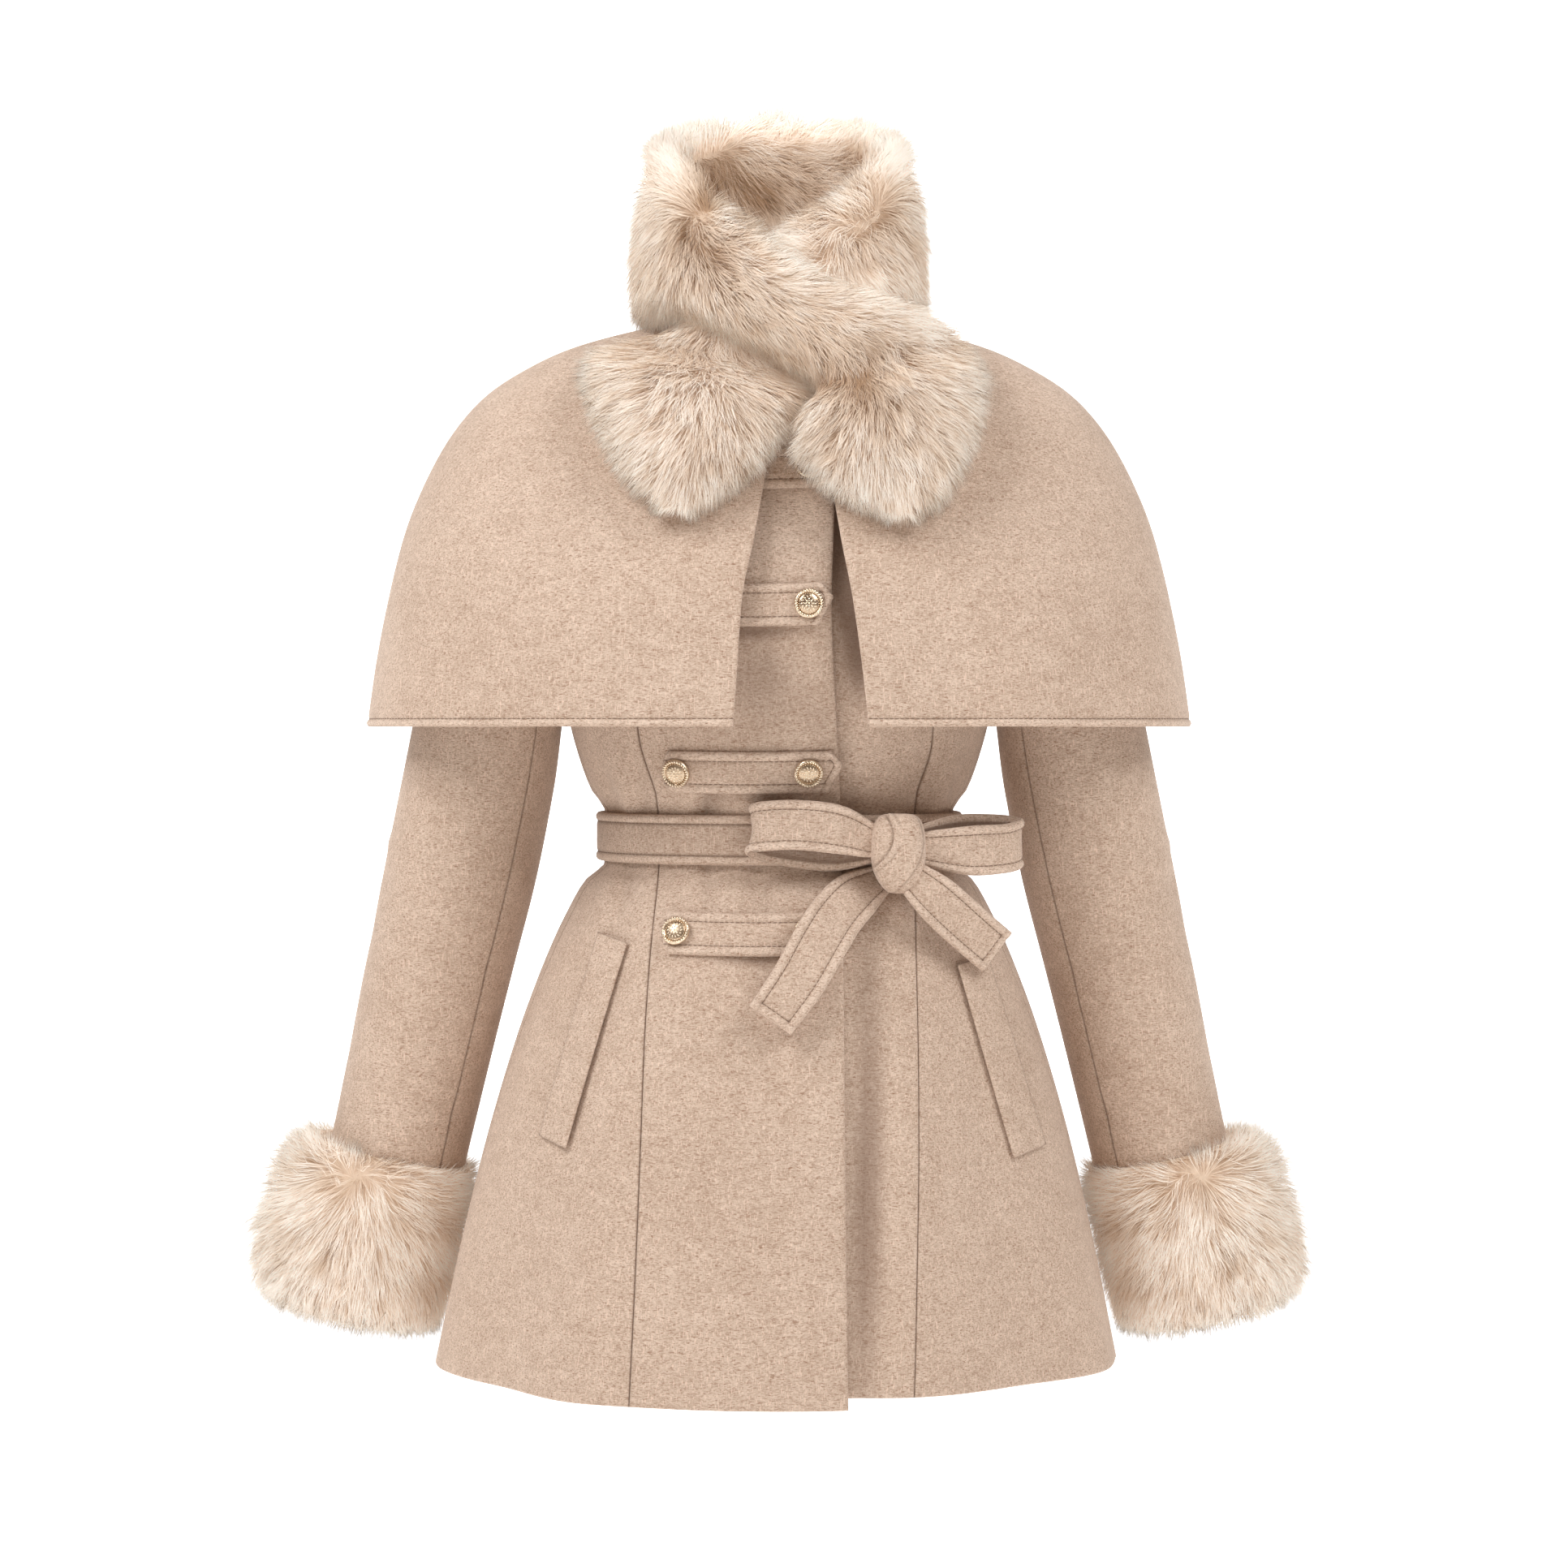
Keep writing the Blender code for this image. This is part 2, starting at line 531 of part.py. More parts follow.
def sleeve_axis(down):
    """The sleeve's middle, and its directions down, towards the body and to the front, on the left side."""
    swing = SLEEVE_SWING_BACK * np.clip(down / SLEEVE_LENGTH, 0, 1)
    centre = np.array(
        [
            SLEEVE_TOP[0] + math.sin(SLEEVE_TILT) * down,
            SLEEVE_TOP[1] + swing,
            SLEEVE_TOP[2] - math.cos(SLEEVE_TILT) * down,
        ]
    )
    axis = np.array([math.sin(SLEEVE_TILT), 0, -math.cos(SLEEVE_TILT)])
    inward = np.array([-math.cos(SLEEVE_TILT), 0, -math.sin(SLEEVE_TILT)])
    return centre, axis, inward, np.array([0, -1.0, 0])


def sleeve_ring(down, turns, spare=0.0):
    """A ring across the sleeve. turns are angles from the side next to the body, through the front."""
    sizes = {
        name: Track([getattr(row, name) for row in SLEEVE_ROWS], [row.down for row in SLEEVE_ROWS])(down)
        for name in ("inner", "outer", "front", "back")
    }
    centre, _, inward, forward = sleeve_axis(down)
    cosine = np.cos(turns)[:, None]
    sine = np.sin(turns)[:, None]
    reach_in = np.where(cosine > 0, sizes["inner"], sizes["outer"]) + spare
    reach_front = np.where(sine > 0, sizes["front"], sizes["back"]) + spare
    return centre + inward * cosine * reach_in + forward * sine * reach_front


def sleeve_grid(side):
    """Outer and inner points of the whole sleeve, row by row from the armhole to the wrist."""
    loop = armhole_loop(1)
    count = len(loop)
    turns = np.arange(count) * 2 * math.pi / count
    straight = [sleeve_ring(down, turns) for down in SLEEVE_RINGS]
    _, axis, _, _ = sleeve_axis(0.0)
    outward = unit(np.array([1.0, 0, -0.12]))
    start = loop + outward * 0.0006
    target = straight[0]
    span = np.linalg.norm(target - start, axis=1, keepdims=True)
    climb = (loop[:, 2:] - loop[:, 2].min()) / np.ptp(loop[:, 2])
    leave = 0.20 + 0.65 * climb
    rows = []
    for share in (0.0, 0.06, 0.2, 0.4, 0.6, 0.8):
        s = share
        rows.append(
            (2 * s**3 - 3 * s**2 + 1) * start
            + (s**3 - 2 * s**2 + s) * outward * span * leave
            + (3 * s**2 - 2 * s**3) * target
            + (s**3 - s**2) * axis * span * 0.9
        )
    grid = np.stack(rows + straight)
    around = np.roll(grid, -1, axis=1) - np.roll(grid, 1, axis=1)
    along = np.gradient(grid, axis=0)
    normal = unit(np.cross(around, along))
    middle = grid.mean(axis=1, keepdims=True)
    normal *= np.sign(np.sum(normal * (grid - middle), axis=-1, keepdims=True).mean())
    inner = grid - normal * WOOL
    mirror = np.array([side, 1, 1])
    return grid * mirror, inner * mirror


def make_sleeve(side, word):
    outer, inner = sleeve_grid(side)
    count = outer.shape[1]
    seam = 2
    upper = list(range(seam, count - seam + 1))
    under = list(range(count - seam, count)) + list(range(0, seam + 1))
    for part, columns in (("upper", upper), ("under", under)):
        cloth_wall(f"sleeve_{word}_{part}", pull_in(outer[:, columns]), pull_in(inner[:, columns]))


def make_cuff(side, word):
    """A fat ring of fur round the end of the sleeve, pressed flat where it lies by the skirt."""
    count = 24
    turns = np.arange(count) * 2 * math.pi / count
    away = 0.5 - 0.5 * np.cos(turns)
    squash = CUFF_SQUASH_INNER + (1 - CUFF_SQUASH_INNER) * away**0.85
    squash = squash * (1 - (1 - CUFF_SQUASH_FRONT) * np.sin(turns) ** 2)
    sleeve_end = SLEEVE_ROWS[-1].down
    _, axis, inward, forward = sleeve_axis(sleeve_end)

    def ring(down, spare):
        at = CUFF_START + down
        base = sleeve_ring(min(at, sleeve_end), turns)
        base = base + axis * max(at - sleeve_end, 0)
        centre = base.mean(axis=0)
        return base + unit(base - centre) * np.reshape(spare, (-1, 1))

    profile = [ring(row.down, CUFF_LIFT_OFF_SLEEVE + row.reach * squash) for row in CUFF_ROWS]
    inner_downs = (CUFF_ROWS[-1].down, CUFF_MOUTH_START, sleeve_end - CUFF_START, 0.0)
    inner_lift = (CUFF_MOUTH_FLARE, CUFF_LIFT_OFF_SLEEVE, CUFF_LIFT_OFF_SLEEVE, CUFF_LIFT_OFF_SLEEVE)
    profile += [ring(down, np.full(count, lift)) for down, lift in zip(inner_downs, inner_lift)]
    grid = np.stack(profile) * np.array([side, 1, 1])
    rings = len(grid)
    faces = []
    for j in range(rings):
        for i in range(count):
            faces.append(
                (
                    j * count + i,
                    j * count + (i + 1) % count,
                    (j + 1) % rings * count + (i + 1) % count,
                    (j + 1) % rings * count + i,
                )
            )
    add_solid(f"cuff_{word}", grid.reshape(-1, 3), faces, "fur", sharp=80.0)


# Swept pieces
def sweep(name, sections, finish, sharp=50.0):
    """Joins sections of equal count into one body, capped at both ends."""
    stack = np.stack(sections)
    rings, count = stack.shape[:2]
    faces = []
    for j in range(rings - 1):
        for i in range(count):
            after = (j + 1) * count
            faces.append((j * count + i, j * count + (i + 1) % count, after + (i + 1) % count, after + i))
    faces.append(tuple(range(count)))
    faces.append(tuple(reversed(range((rings - 1) * count, rings * count))))
    return add_solid(name, stack.reshape(-1, 3), faces, finish, sharp)


def smooth_rows(rows, samples):
    """Reads more rows from a table by a curve through it that passes every row."""
    table = np.array([tuple(row) for row in rows], float)
    padded = np.concatenate([2 * table[:1] - table[1:2], table, 2 * table[-1:] - table[-2:-1]])
    result = []
    for s in samples:
        i = min(int(s), len(table) - 2)
        t = s - i
        a, b, c, d = padded[i : i + 4]
        result.append(
            0.5 * (2 * b + (c - a) * t + (2 * a - 5 * b + 4 * c - d) * t**2 + (3 * b - a - 3 * c + d) * t**3)
        )
    return np.array(result)


def fur_sections(rows, count=14, roundness=FUR_ROUNDNESS):
    """Oval sections between a lower and an upper edge, as thick as the pile."""
    low = rows[:, 0:3]
    high = rows[:, 3:6]
    thick = rows[:, 6]
    bow = rows[:, 7]
    centre = (low + high) / 2
    across = unit(high - low)
    outward = unit(centre * np.array([1.0, 1.0, 0.0]))
    outward[:, 0] *= rows[:, 8]
    outward[:, 2] = rows[:, 9]
    outward = unit(outward - across * np.sum(outward * across, axis=1, keepdims=True))
    half = np.linalg.norm(high - low, axis=1) / 2
    turns = np.arange(count) * 2 * math.pi / count
    sections = []
    for i in range(len(rows)):
        cosine = power(np.cos(turns), 2 / roundness)[:, None]
        sine = power(np.sin(turns), 2 / roundness)[:, None]
        out = thick[i] / 2 * sine + bow[i] * (1 - cosine**2)
        sections.append(centre[i] + across[i] * half[i] * cosine + outward[i] * out)
    return sections


def neck_stretch(angle):
    """The standing collar's edges at an angle from the middle front."""
    sine = math.sin(math.radians(angle))
    facing = math.cos(math.radians(angle))
    back_share = max(-facing, 0)
    low_z = -0.0026 + 0.0150 * back_share
    high_z = 0.1190 + 0.0360 * back_share**0.8
    return Stretch(
        NECK_RING["low_x"] * sine,
        -NECK_RING["low_back"] * facing,
        low_z,
        NECK_RING["high_x"] * sine,
        -NECK_RING["high_back"] * facing,
        high_z,
        COLLAR_THICK,
        0.0,
        1.0,
        0.0,
    )


def cape_ridge(x):
    """The height of the cape's top line over each x, as seen from the front."""
    levels = CAPE.levels[:, None]
    return CAPE.height(CAPE.angle_at(x[None, :], levels), levels).max(axis=0)


def lie_on_cape(row):
    """Puts a stretch's edges just far enough out for its underside to clear the cape all the way across."""
    share = np.linspace(0, 1, 9)
    x = row.low_x + (row.high_x - row.low_x) * share
    z = row.low_z + (row.high_z - row.low_z) * share
    angle, level = CAPE.front_spot(x, np.minimum(z, cape_ridge(x) - RIDGE_MARGIN))
    surface = CAPE.points(angle, level)[:, 1]
    across = 2 * share - 1
    depth = row.thick / 2 * np.maximum(1 - np.abs(across) ** FUR_ROUNDNESS, 0) ** (1 / FUR_ROUNDNESS)
    most = surface - FUR_CLEARANCE + row.bow * (1 - across**2) - depth
    line = most[0] + (most[-1] - most[0]) * share
    shift = min((most - line).min(), 0) - row.lift
    edges = (row.low_x, line[0] + shift, row.low_z, row.high_x, line[-1] + shift, row.high_z)
    return Stretch(*edges, row.thick, row.bow, *CAPE_WAY_OUT)


def ease(rows):
    """Fills in dips along a stretch, so that the pile's form runs on softly."""
    for _ in range(2):
        for before, row, after in zip(range(len(rows)), range(1, len(rows)), range(2, len(rows))):
            low = (rows[before].low_y + rows[after].low_y) / 2
            high = (rows[before].high_y + rows[after].high_y) / 2
            rows[row] = rows[row]._replace(low_y=min(rows[row].low_y, low), high_y=min(rows[row].high_y, high))
    return rows


def neck_sections(angles):
    """Sections of the standing collar."""
    return fur_sections(np.array([tuple(neck_stretch(angle)) for angle in angles]))


def make_collar():
    join_gap = math.degrees(SEAM_GAP / NECK_RING["low_x"])
    start = COLLAR_JOIN + join_gap
    sweep("collar_back", neck_sections(np.linspace(start, 360 - start, 17)), "fur", sharp=70.0)
    stretches = (("collar_over", -1, OVER_NECK, OVER_TAIL), ("collar_under", 1, UNDER_NECK, UNDER_TAIL))
    for name, sign, neck, tail in stretches:
        table = neck + ease([lie_on_cape(row) for row in tail])
        rows = [neck_stretch(sign * COLLAR_JOIN), neck_stretch(sign * (COLLAR_JOIN - 22))] + table
        samples = np.linspace(0, len(rows) - 1, 2 * len(rows) - 1)
        sweep(name, fur_sections(smooth_rows(rows, samples)), "fur", sharp=70.0)


def strap_section(centre, wide, thick_way, width):
    """A flat strip's section with rounded edges."""
    w = width / 2
    t = STRAP_CLOTH / 2
    outline = [(-w, -t * 0.45), (-w + t * 0.6, -t), (w - t * 0.6, -t), (w, -t * 0.45)]
    outline += [(w, t * 0.45), (w - t * 0.6, t), (-w + t * 0.6, t), (-w, t * 0.45)]
    return np.array([centre + wide * a + thick_way * b for a, b in outline])


def make_strap(name, rows, upright):
    """A strip along a centre line. upright is the way that its width points."""
    samples = np.linspace(0, len(rows) - 1, STRAP_STEPS * (len(rows) - 1) + 1)
    table = smooth_rows(rows, samples)
    line = table[:, :3]
    along = unit(np.gradient(line, axis=0))
    sections = []
    for i in range(len(line)):
        wide = unit(upright - along[i] * np.dot(upright, along[i]))
        sections.append(strap_section(line[i], wide, np.cross(along[i], wide), STRAP_WIDTH * table[i, 3]))
    return sweep(name, sections, "wool")


def make_belt():
    """The band lies round the waist, and its ends meet behind the knot."""
    waist = np.array([float(BODY.index["waist"])])
    knot_angle = BODY.angle_at(np.array([KNOT["x"]]), waist)[0]
    stops = [knot_angle + BELT_PARTING]
    while stops[-1] < knot_angle + 360 - BELT_PARTING - BELT_STEP:
        near_side = abs(abs((stops[-1] + 180) % 360 - 180) - 90) < BELT_SIDE_ZONE
        stops.append(stops[-1] + (BELT_STEP / 2 if near_side else BELT_STEP))
    stops.append(knot_angle + 360 - BELT_PARTING)
    heights = np.array([BELT_BOTTOM, BELT_BOTTOM + 0.001, BELT_TOP - 0.001, BELT_TOP])
    middle = (BELT_TOP + BELT_BOTTOM) / 2
    sections = []
    for angle in stops:
        rows = BODY.points(angle, waist[0] + np.array([-1, 0, 1]))
        edges = (BELT_BOTTOM, rows[1, 2], BELT_TOP)
        spots = np.array([[np.interp(z, rows[:, 2], rows[:, way]) for way in (0, 1)] for z in edges])
        normal = BODY.outward(np.array(angle), waist[0])[:2]
        normal = normal / np.linalg.norm(normal)
        reach = spots @ normal
        widest = spots[1] + normal * (reach.max() - reach[1] + BELT_GAP)
        inner = np.array([[*widest, z] for z in heights])
        shifts = np.array([BELT_CLOTH * 0.72, BELT_CLOTH, BELT_CLOTH, BELT_CLOTH * 0.72])
        outer = inner + np.array([*normal, 0]) * shifts[:, None]
        crown = np.array([[*(widest + normal * (BELT_CLOTH + 0.0004)), middle]])
        sections.append(np.concatenate([inner[[0, 3]], outer[[3, 2]], crown, outer[[1, 0]]]))
    sweep("belt_band", sections, "wool")


def make_knot():
    """A plump block, as the strap wraps over itself."""
    count = 14
    rings = 10
    turns = np.arange(count) * 2 * math.pi / count
    sections = []
    for i in range(rings + 1):
        climb = -math.pi / 2 + math.pi * i / rings
        climb = min(max(climb, -math.pi / 2 + 0.12), math.pi / 2 - 0.12)
        size = math.cos(climb) ** 0.45
        height = KNOT["z"] + KNOT["half_z"] * power(math.sin(climb), 0.7)
        below = max(KNOT["z"] - height, 0) / KNOT["half_z"]
        narrow = 1 - KNOT_TAPER * below**2
        ring = np.stack(
            [
                KNOT["x"] + KNOT["half_x"] * narrow * size * power(np.cos(turns), 0.55),
                KNOT["y"] + KNOT["half_y"] * size * power(np.sin(turns), 0.7),
                np.full(count, height),
            ],
            axis=1,
        )
        sections.append(ring)
    sweep("bow_knot", sections, "wool")


def make_bow():
    make_knot()
    up = np.array([0.0, 0.0, 1.0])
    make_strap("bow_loop_left", LEFT_SIDE_LOOP, up)
    make_strap("bow_loop_right", RIGHT_SIDE_LOOP, up)
    make_strap("bow_tail_left", LEFT_SIDE_TAIL, unit(np.array([0.62, 0.1, 0.78])))
    make_strap("bow_tail_right", RIGHT_SIDE_TAIL, unit(np.array([-0.8, 0.1, 0.6])))


# Trim on the panels
def laid_wall(name, x, z):
    """A flat trim on the front panels: grids of x and z, put on the surface and moved out."""
    angle, level = BODY.front_spot(x, z)
    base = BODY.points(angle, level)
    normal = BODY.outward(angle, level)
    outer = base + normal * (LAY_GAP + TAB_CLOTH)
    inner = base + normal * LAY_GAP
    outer[0] -= normal[0] * TAB_EDGE_ROUND
    outer[-1] -= normal[-1] * TAB_EDGE_ROUND
    return cloth_wall(name, outer, inner)


def make_tabs():
    across = np.array([-1, -0.9, 0, 0.9, 1.0])
    for tab in TABS:
        along = np.linspace(0, 1, 10)
        x = TAB_START + (tab.tip - TAB_START) * along[None, :]
        x = x - TAB_POINT * np.abs(across)[:, None] * along[None, :] ** 3
        x = x + TAB_CORNER * across[:, None] ** 4 * (1 - along[None, :]) ** 6
        z = np.repeat((tab.z + across * TAB_WIDTH / 2)[:, None], len(along), axis=1)
        laid_wall(f"tab_{tab.name}", x, z)


def make_welts():
    along = np.linspace(0, 1, 9)
    across = np.array([-1, -0.85, 0, 0.85, 1.0])
    for welt in WELTS:
        line = np.array([welt.low_x - welt.top_x, welt.low_z - welt.top_z])
        line = line / np.linalg.norm(line)
        side = np.array([-line[1], line[0]])
        x = welt.top_x + (welt.low_x - welt.top_x) * along[None, :] + side[0] * across[:, None] * welt.width / 2
        z = welt.top_z + (welt.low_z - welt.top_z) * along[None, :] + side[1] * across[:, None] * welt.width / 2
        laid_wall(welt.name, x, z)


def make_button(name, x, z):
    """Turned: a flat back, a rounded rim, a groove and a low dome."""
    profile = [
        (0.78, 0.00),
        (0.96, 0.16),
        (1.00, 0.42),
        (0.95, 0.74),
        (0.85, 0.86),
        (0.76, 0.60),
        (0.62, 0.72),
        (0.10, 1.00),
    ]
    angle, level = BODY.front_spot(np.array([x]), np.array([z]))
    normal = BODY.outward(angle, level)[0]
    foot = BODY.points(angle, level)[0] + normal * (2 * LAY_GAP + TAB_CLOTH)
    side = unit(np.cross(np.array([0.0, 0.0, 1.0]), normal))
    up = np.cross(normal, side)
    turns = np.arange(BUTTON_SIDES) * 2 * math.pi / BUTTON_SIDES
    sections = []
    for radius, height in profile:
        ring = side * np.cos(turns)[:, None] + up * np.sin(turns)[:, None]
        sections.append(foot + ring * radius * BUTTON_RADIUS + normal * height * BUTTON_HEIGHT)
    sweep(name, sections, "gold", sharp=60.0)


def make_buttons():
    for tab in TABS:
        make_button(f"button_{tab.name}_left", BUTTON_LEFT_X, tab.z)
        if tab.far_button:
            make_button(f"button_{tab.name}_right", BUTTON_RIGHT_X, tab.z)


def build():
    for old in list(bpy.data.objects):
        bpy.data.objects.remove(old, do_unlink=True)
    make_body()
    make_cape()
    for side, word in ((-1, "right"), (1, "left")):
        make_sleeve(side, word)
        make_cuff(side, word)
    make_collar()
    make_belt()
    make_bow()
    make_tabs()
    make_welts()
    make_buttons()


build()
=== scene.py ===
"""Belted wool coat with a shoulder cape, fur collar and fur cuffs: its looks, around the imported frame.

Metres, +Z up. The front faces -Y and +X is the wearer's left. Each cloth piece is a thin rounded wall on
the form of its solid, with its creases and topstitching, and each fur piece is a skin with combed strands.
"""

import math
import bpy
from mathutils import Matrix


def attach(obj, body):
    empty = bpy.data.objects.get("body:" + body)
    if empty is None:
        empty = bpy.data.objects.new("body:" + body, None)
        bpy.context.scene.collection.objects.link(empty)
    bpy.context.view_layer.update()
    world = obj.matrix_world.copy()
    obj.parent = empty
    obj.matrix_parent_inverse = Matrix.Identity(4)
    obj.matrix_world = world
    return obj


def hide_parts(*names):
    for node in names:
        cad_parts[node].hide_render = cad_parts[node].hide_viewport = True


bl_info = {
    "name": "Belted wool coat with cape",
    "version": (1, 0, 0),
    "blender": (4, 5, 0),
    "location": "3D View > Sidebar > Coat",
    "description": "Makes the cloth, fur, buttons, stitching and studio of a belted wool coat",
    "category": "Object",
}

from collections import namedtuple

import bpy
import numpy as np
from mathutils import Matrix, Vector
from mathutils.kdtree import KDTree

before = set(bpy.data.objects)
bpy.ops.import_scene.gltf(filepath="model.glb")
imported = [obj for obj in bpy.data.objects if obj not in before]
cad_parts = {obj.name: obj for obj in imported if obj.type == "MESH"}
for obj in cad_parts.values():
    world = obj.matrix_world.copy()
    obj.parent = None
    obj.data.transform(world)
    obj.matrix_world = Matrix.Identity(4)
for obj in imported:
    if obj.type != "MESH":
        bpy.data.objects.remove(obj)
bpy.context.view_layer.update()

# Cloth and seams
WOOL = 0.003
BELT_CLOTH = 0.0045
TAB_CLOTH = 0.003
LAY_GAP = 0.0005
BELT_GAP = 0.0008
LAP_STEP = 0.0042
LAP_BLEND = 0.018
LAP_MARGIN = 0.003

# Front trim
TAB_WIDTH = 0.027
TAB_START = -0.075
TAB_POINT = 0.008
TAB_CORNER = 0.0035
TAB_LEAN = 0.35
TAB_LOW_SHARE = 1.25
TAB_SAG = 0.0008
BUTTON_RADIUS = 0.0096
BUTTON_HEIGHT = 0.005
BUTTON_LEFT_X = 0.019
BUTTON_RIGHT_X = -0.0655

# Belt
BELT_TOP = -0.3355
BELT_BOTTOM = -0.3685
BELT_PARTING = 1.0
STRAP_WIDTH = 0.0325
STRAP_CLOTH = 0.004

# Sleeves and cuffs
SLEEVE_TILT = math.radians(12.9)
SLEEVE_TOP = (0.1945, 0.004, -0.262)
SLEEVE_LENGTH = 0.405
SLEEVE_SWING_BACK = 0.03
ARMHOLE_FRONT_CUT = 31.0
ARMHOLE_BACK_CUT = 28.0
CUFF_START = 0.32
CUFF_LIFT_OFF_SLEEVE = 0.0009
CUFF_MOUTH_START = 0.098
CUFF_MOUTH_FLARE = 0.003


def rows_of(kind, *rows):
    """A table: its rows as one kind of named tuple."""
    return [kind(*row) for row in rows]


# Each level is one section of the coat's body, from the hem up. front_z and back_z are added to z at the
# middle front and back. front and back are depths. edge, right_seam and left_seam are the x of the front
# edge and of the seams between centre and side panels. side_seam is its angle from the middle front.
Level = namedtuple(
    "Level",
    "name z front_z back_z half_width front back roundness edge right_seam left_seam side_seam",
)
BODY_LEVELS = [
    Level("hem", -0.71, 0, 0, 0.2325, 0.178, 0.168, 2.1, 0.0444, -0.095, 0.0855, 84),
    Level("low skirt", -0.63, 0, 0, 0.2165, 0.168, 0.159, 2.1, 0.0435, -0.0915, 0.087, 82),
    Level("skirt", -0.55, 0, 0, 0.1978, 0.154, 0.147, 2.1, 0.0428, -0.0888, 0.089, 79),
    Level("hip", -0.47, 0, 0, 0.1735, 0.136, 0.131, 2.12, 0.0424, -0.0865, 0.09, 76),
    Level("high hip", -0.41, 0, 0, 0.149, 0.1165, 0.113, 2.15, 0.042, -0.083, 0.09, 74),
    Level("skirt top", -0.382, 0, 0, 0.133, 0.1035, 0.099, 2.15, 0.0416, -0.0805, 0.0905, 75),
    Level("under belt", -0.371, 0, 0, 0.1205, 0.0945, 0.0895, 2.15, 0.0415, -0.08, 0.0905, 75),
    Level("waist", -0.352, 0, 0, 0.1188, 0.093, 0.088, 2.15, 0.0412, -0.0795, 0.0905, 76),
    Level("over belt", -0.333, 0, 0, 0.1205, 0.0945, 0.089, 2.15, 0.0408, -0.081, 0.0915, 76),
    Level("over waist", -0.322, 0, 0, 0.1285, 0.101, 0.0935, 2.15, 0.0405, -0.082, 0.093, 77),
    Level("ribs", -0.285, 0, 0, 0.1415, 0.113, 0.0985, 2.15, 0.0388, -0.0925, 0.1025, 80),
    Level("armpit", -0.2, 0, 0, 0.1565, 0.128, 0.106, 2.2, 0.0345, -0.098, 0.102, 90),
    Level("chest", -0.15, 0, 0, 0.159, 0.119, 0.1085, 2.15, 0.036, -0.094, 0.096, 90),
    Level("high chest", -0.098, -0.008, 0, 0.163, 0.103, 0.105, 2.05, 0.037, -0.087, 0.088, 90),
    Level("shoulder tip", -0.044, -0.03, 0.002, 0.167, 0.084, 0.087, 2.0, 0.034, -0.076, 0.076, 90),
    Level("shoulder", -0.0165, -0.041, 0.01, 0.12, 0.071, 0.074, 2.0, 0.028, -0.06, 0.06, 90),
    Level("neck", -0.0035, -0.044, 0.019, 0.07, 0.0595, 0.0625, 2.0, 0.02, -0.043, 0.043, 90),
]
UNDERLAP_X = -0.02
LEFT_HEM_RISE = 0.0072

# The cape in the same way, from its hem up to the neck seam. right_edge and left_edge are the x of its
# two front edges, and seam is the angle of its shoulder seam from the middle front.
CapeLevel = namedtuple(
    "CapeLevel", "name z front_z back_z half_width front back roundness right_edge left_edge seam"
)
CAPE_LEVELS = [
    CapeLevel("hem", -0.277, 0, 0, 0.2825, 0.153, 0.143, 2.3, -0.0291, 0.0578, 92),
    CapeLevel("elbow", -0.237, -0.002, 0, 0.2768, 0.15, 0.1405, 2.3, -0.0265, 0.0535, 91),
    CapeLevel("arm", -0.19, -0.005, -0.003, 0.268, 0.1445, 0.1355, 2.25, -0.0235, 0.0475, 90),
    CapeLevel("high arm", -0.144, -0.01, -0.006, 0.2565, 0.136, 0.129, 2.2, -0.0155, 0.0398, 88),
    CapeLevel("sleeve head", -0.11, -0.02, -0.01, 0.243, 0.126, 0.122, 2.15, -0.0115, 0.036, 86),
    CapeLevel("shoulder edge", -0.076, -0.032, -0.012, 0.224, 0.115, 0.114, 2.1, -0.008, 0.033, 84),
    CapeLevel("shoulder tip", -0.05, -0.04, -0.008, 0.201, 0.1045, 0.1055, 2.05, -0.006, 0.031, 83),
    CapeLevel("shoulder", -0.032, -0.043, 0.002, 0.174, 0.0945, 0.0965, 2.0, -0.005, 0.029, 82),
    CapeLevel("slope", -0.018, -0.044, 0.012, 0.144, 0.084, 0.087, 2.0, -0.004, 0.027, 82),
    CapeLevel("near neck", -0.0085, -0.045, 0.018, 0.112, 0.074, 0.077, 2.0, -0.0035, 0.025, 82),
    CapeLevel("neck", 0.0, -0.046, 0.021, 0.074, 0.0637, 0.0667, 2.0, -0.003, 0.023, 82),
]

# Soft folds that the skirt falls into: angle from the middle front, half width in degrees, rise at the hem
Fold = namedtuple("Fold", "angle spread rise")
SKIRT_FOLDS = rows_of(
    Fold,
    (-76, 10, 0.006), (-52, 9, -0.005), (-33, 8, 0.004), (24, 7, 0.003), (44, 9, -0.004),
    (66, 10, 0.0055), (108, 11, -0.005), (132, 11, 0.006), (158, 10, -0.005), (180, 10, 0.005),
    (204, 10, -0.005), (229, 11, 0.006), (254, 11, -0.005),
)

# Rows of the sleeve below its head, by distance down its axis: half sizes towards the body, away from
# it, and to the front and back
SleeveRow = namedtuple("SleeveRow", "down inner outer front back")
SLEEVE_ROWS = rows_of(
    SleeveRow,
    (0.0, 0.046, 0.0545, 0.056, 0.056), (0.05, 0.0505, 0.0535, 0.055, 0.055),
    (0.11, 0.052, 0.0525, 0.054, 0.054), (0.175, 0.05, 0.0512, 0.052, 0.052),
    (0.24, 0.0482, 0.0498, 0.05, 0.05), (0.31, 0.0468, 0.0485, 0.0485, 0.0485),
    (0.405, 0.0455, 0.048, 0.048, 0.048),
)

# The cuff's fur: how far it stands off the sleeve on its outer side, at places along its length
CuffRow = namedtuple("CuffRow", "down reach")
CUFF_ROWS = rows_of(
    CuffRow,
    (0.0, 0.006), (0.003, 0.019), (0.013, 0.029), (0.034, 0.035), (0.06, 0.038),
    (0.084, 0.0385), (0.101, 0.035), (0.113, 0.025), (0.118, 0.011),
)
CUFF_SQUASH_INNER = 0.24
CUFF_SQUASH_FRONT = 0.72

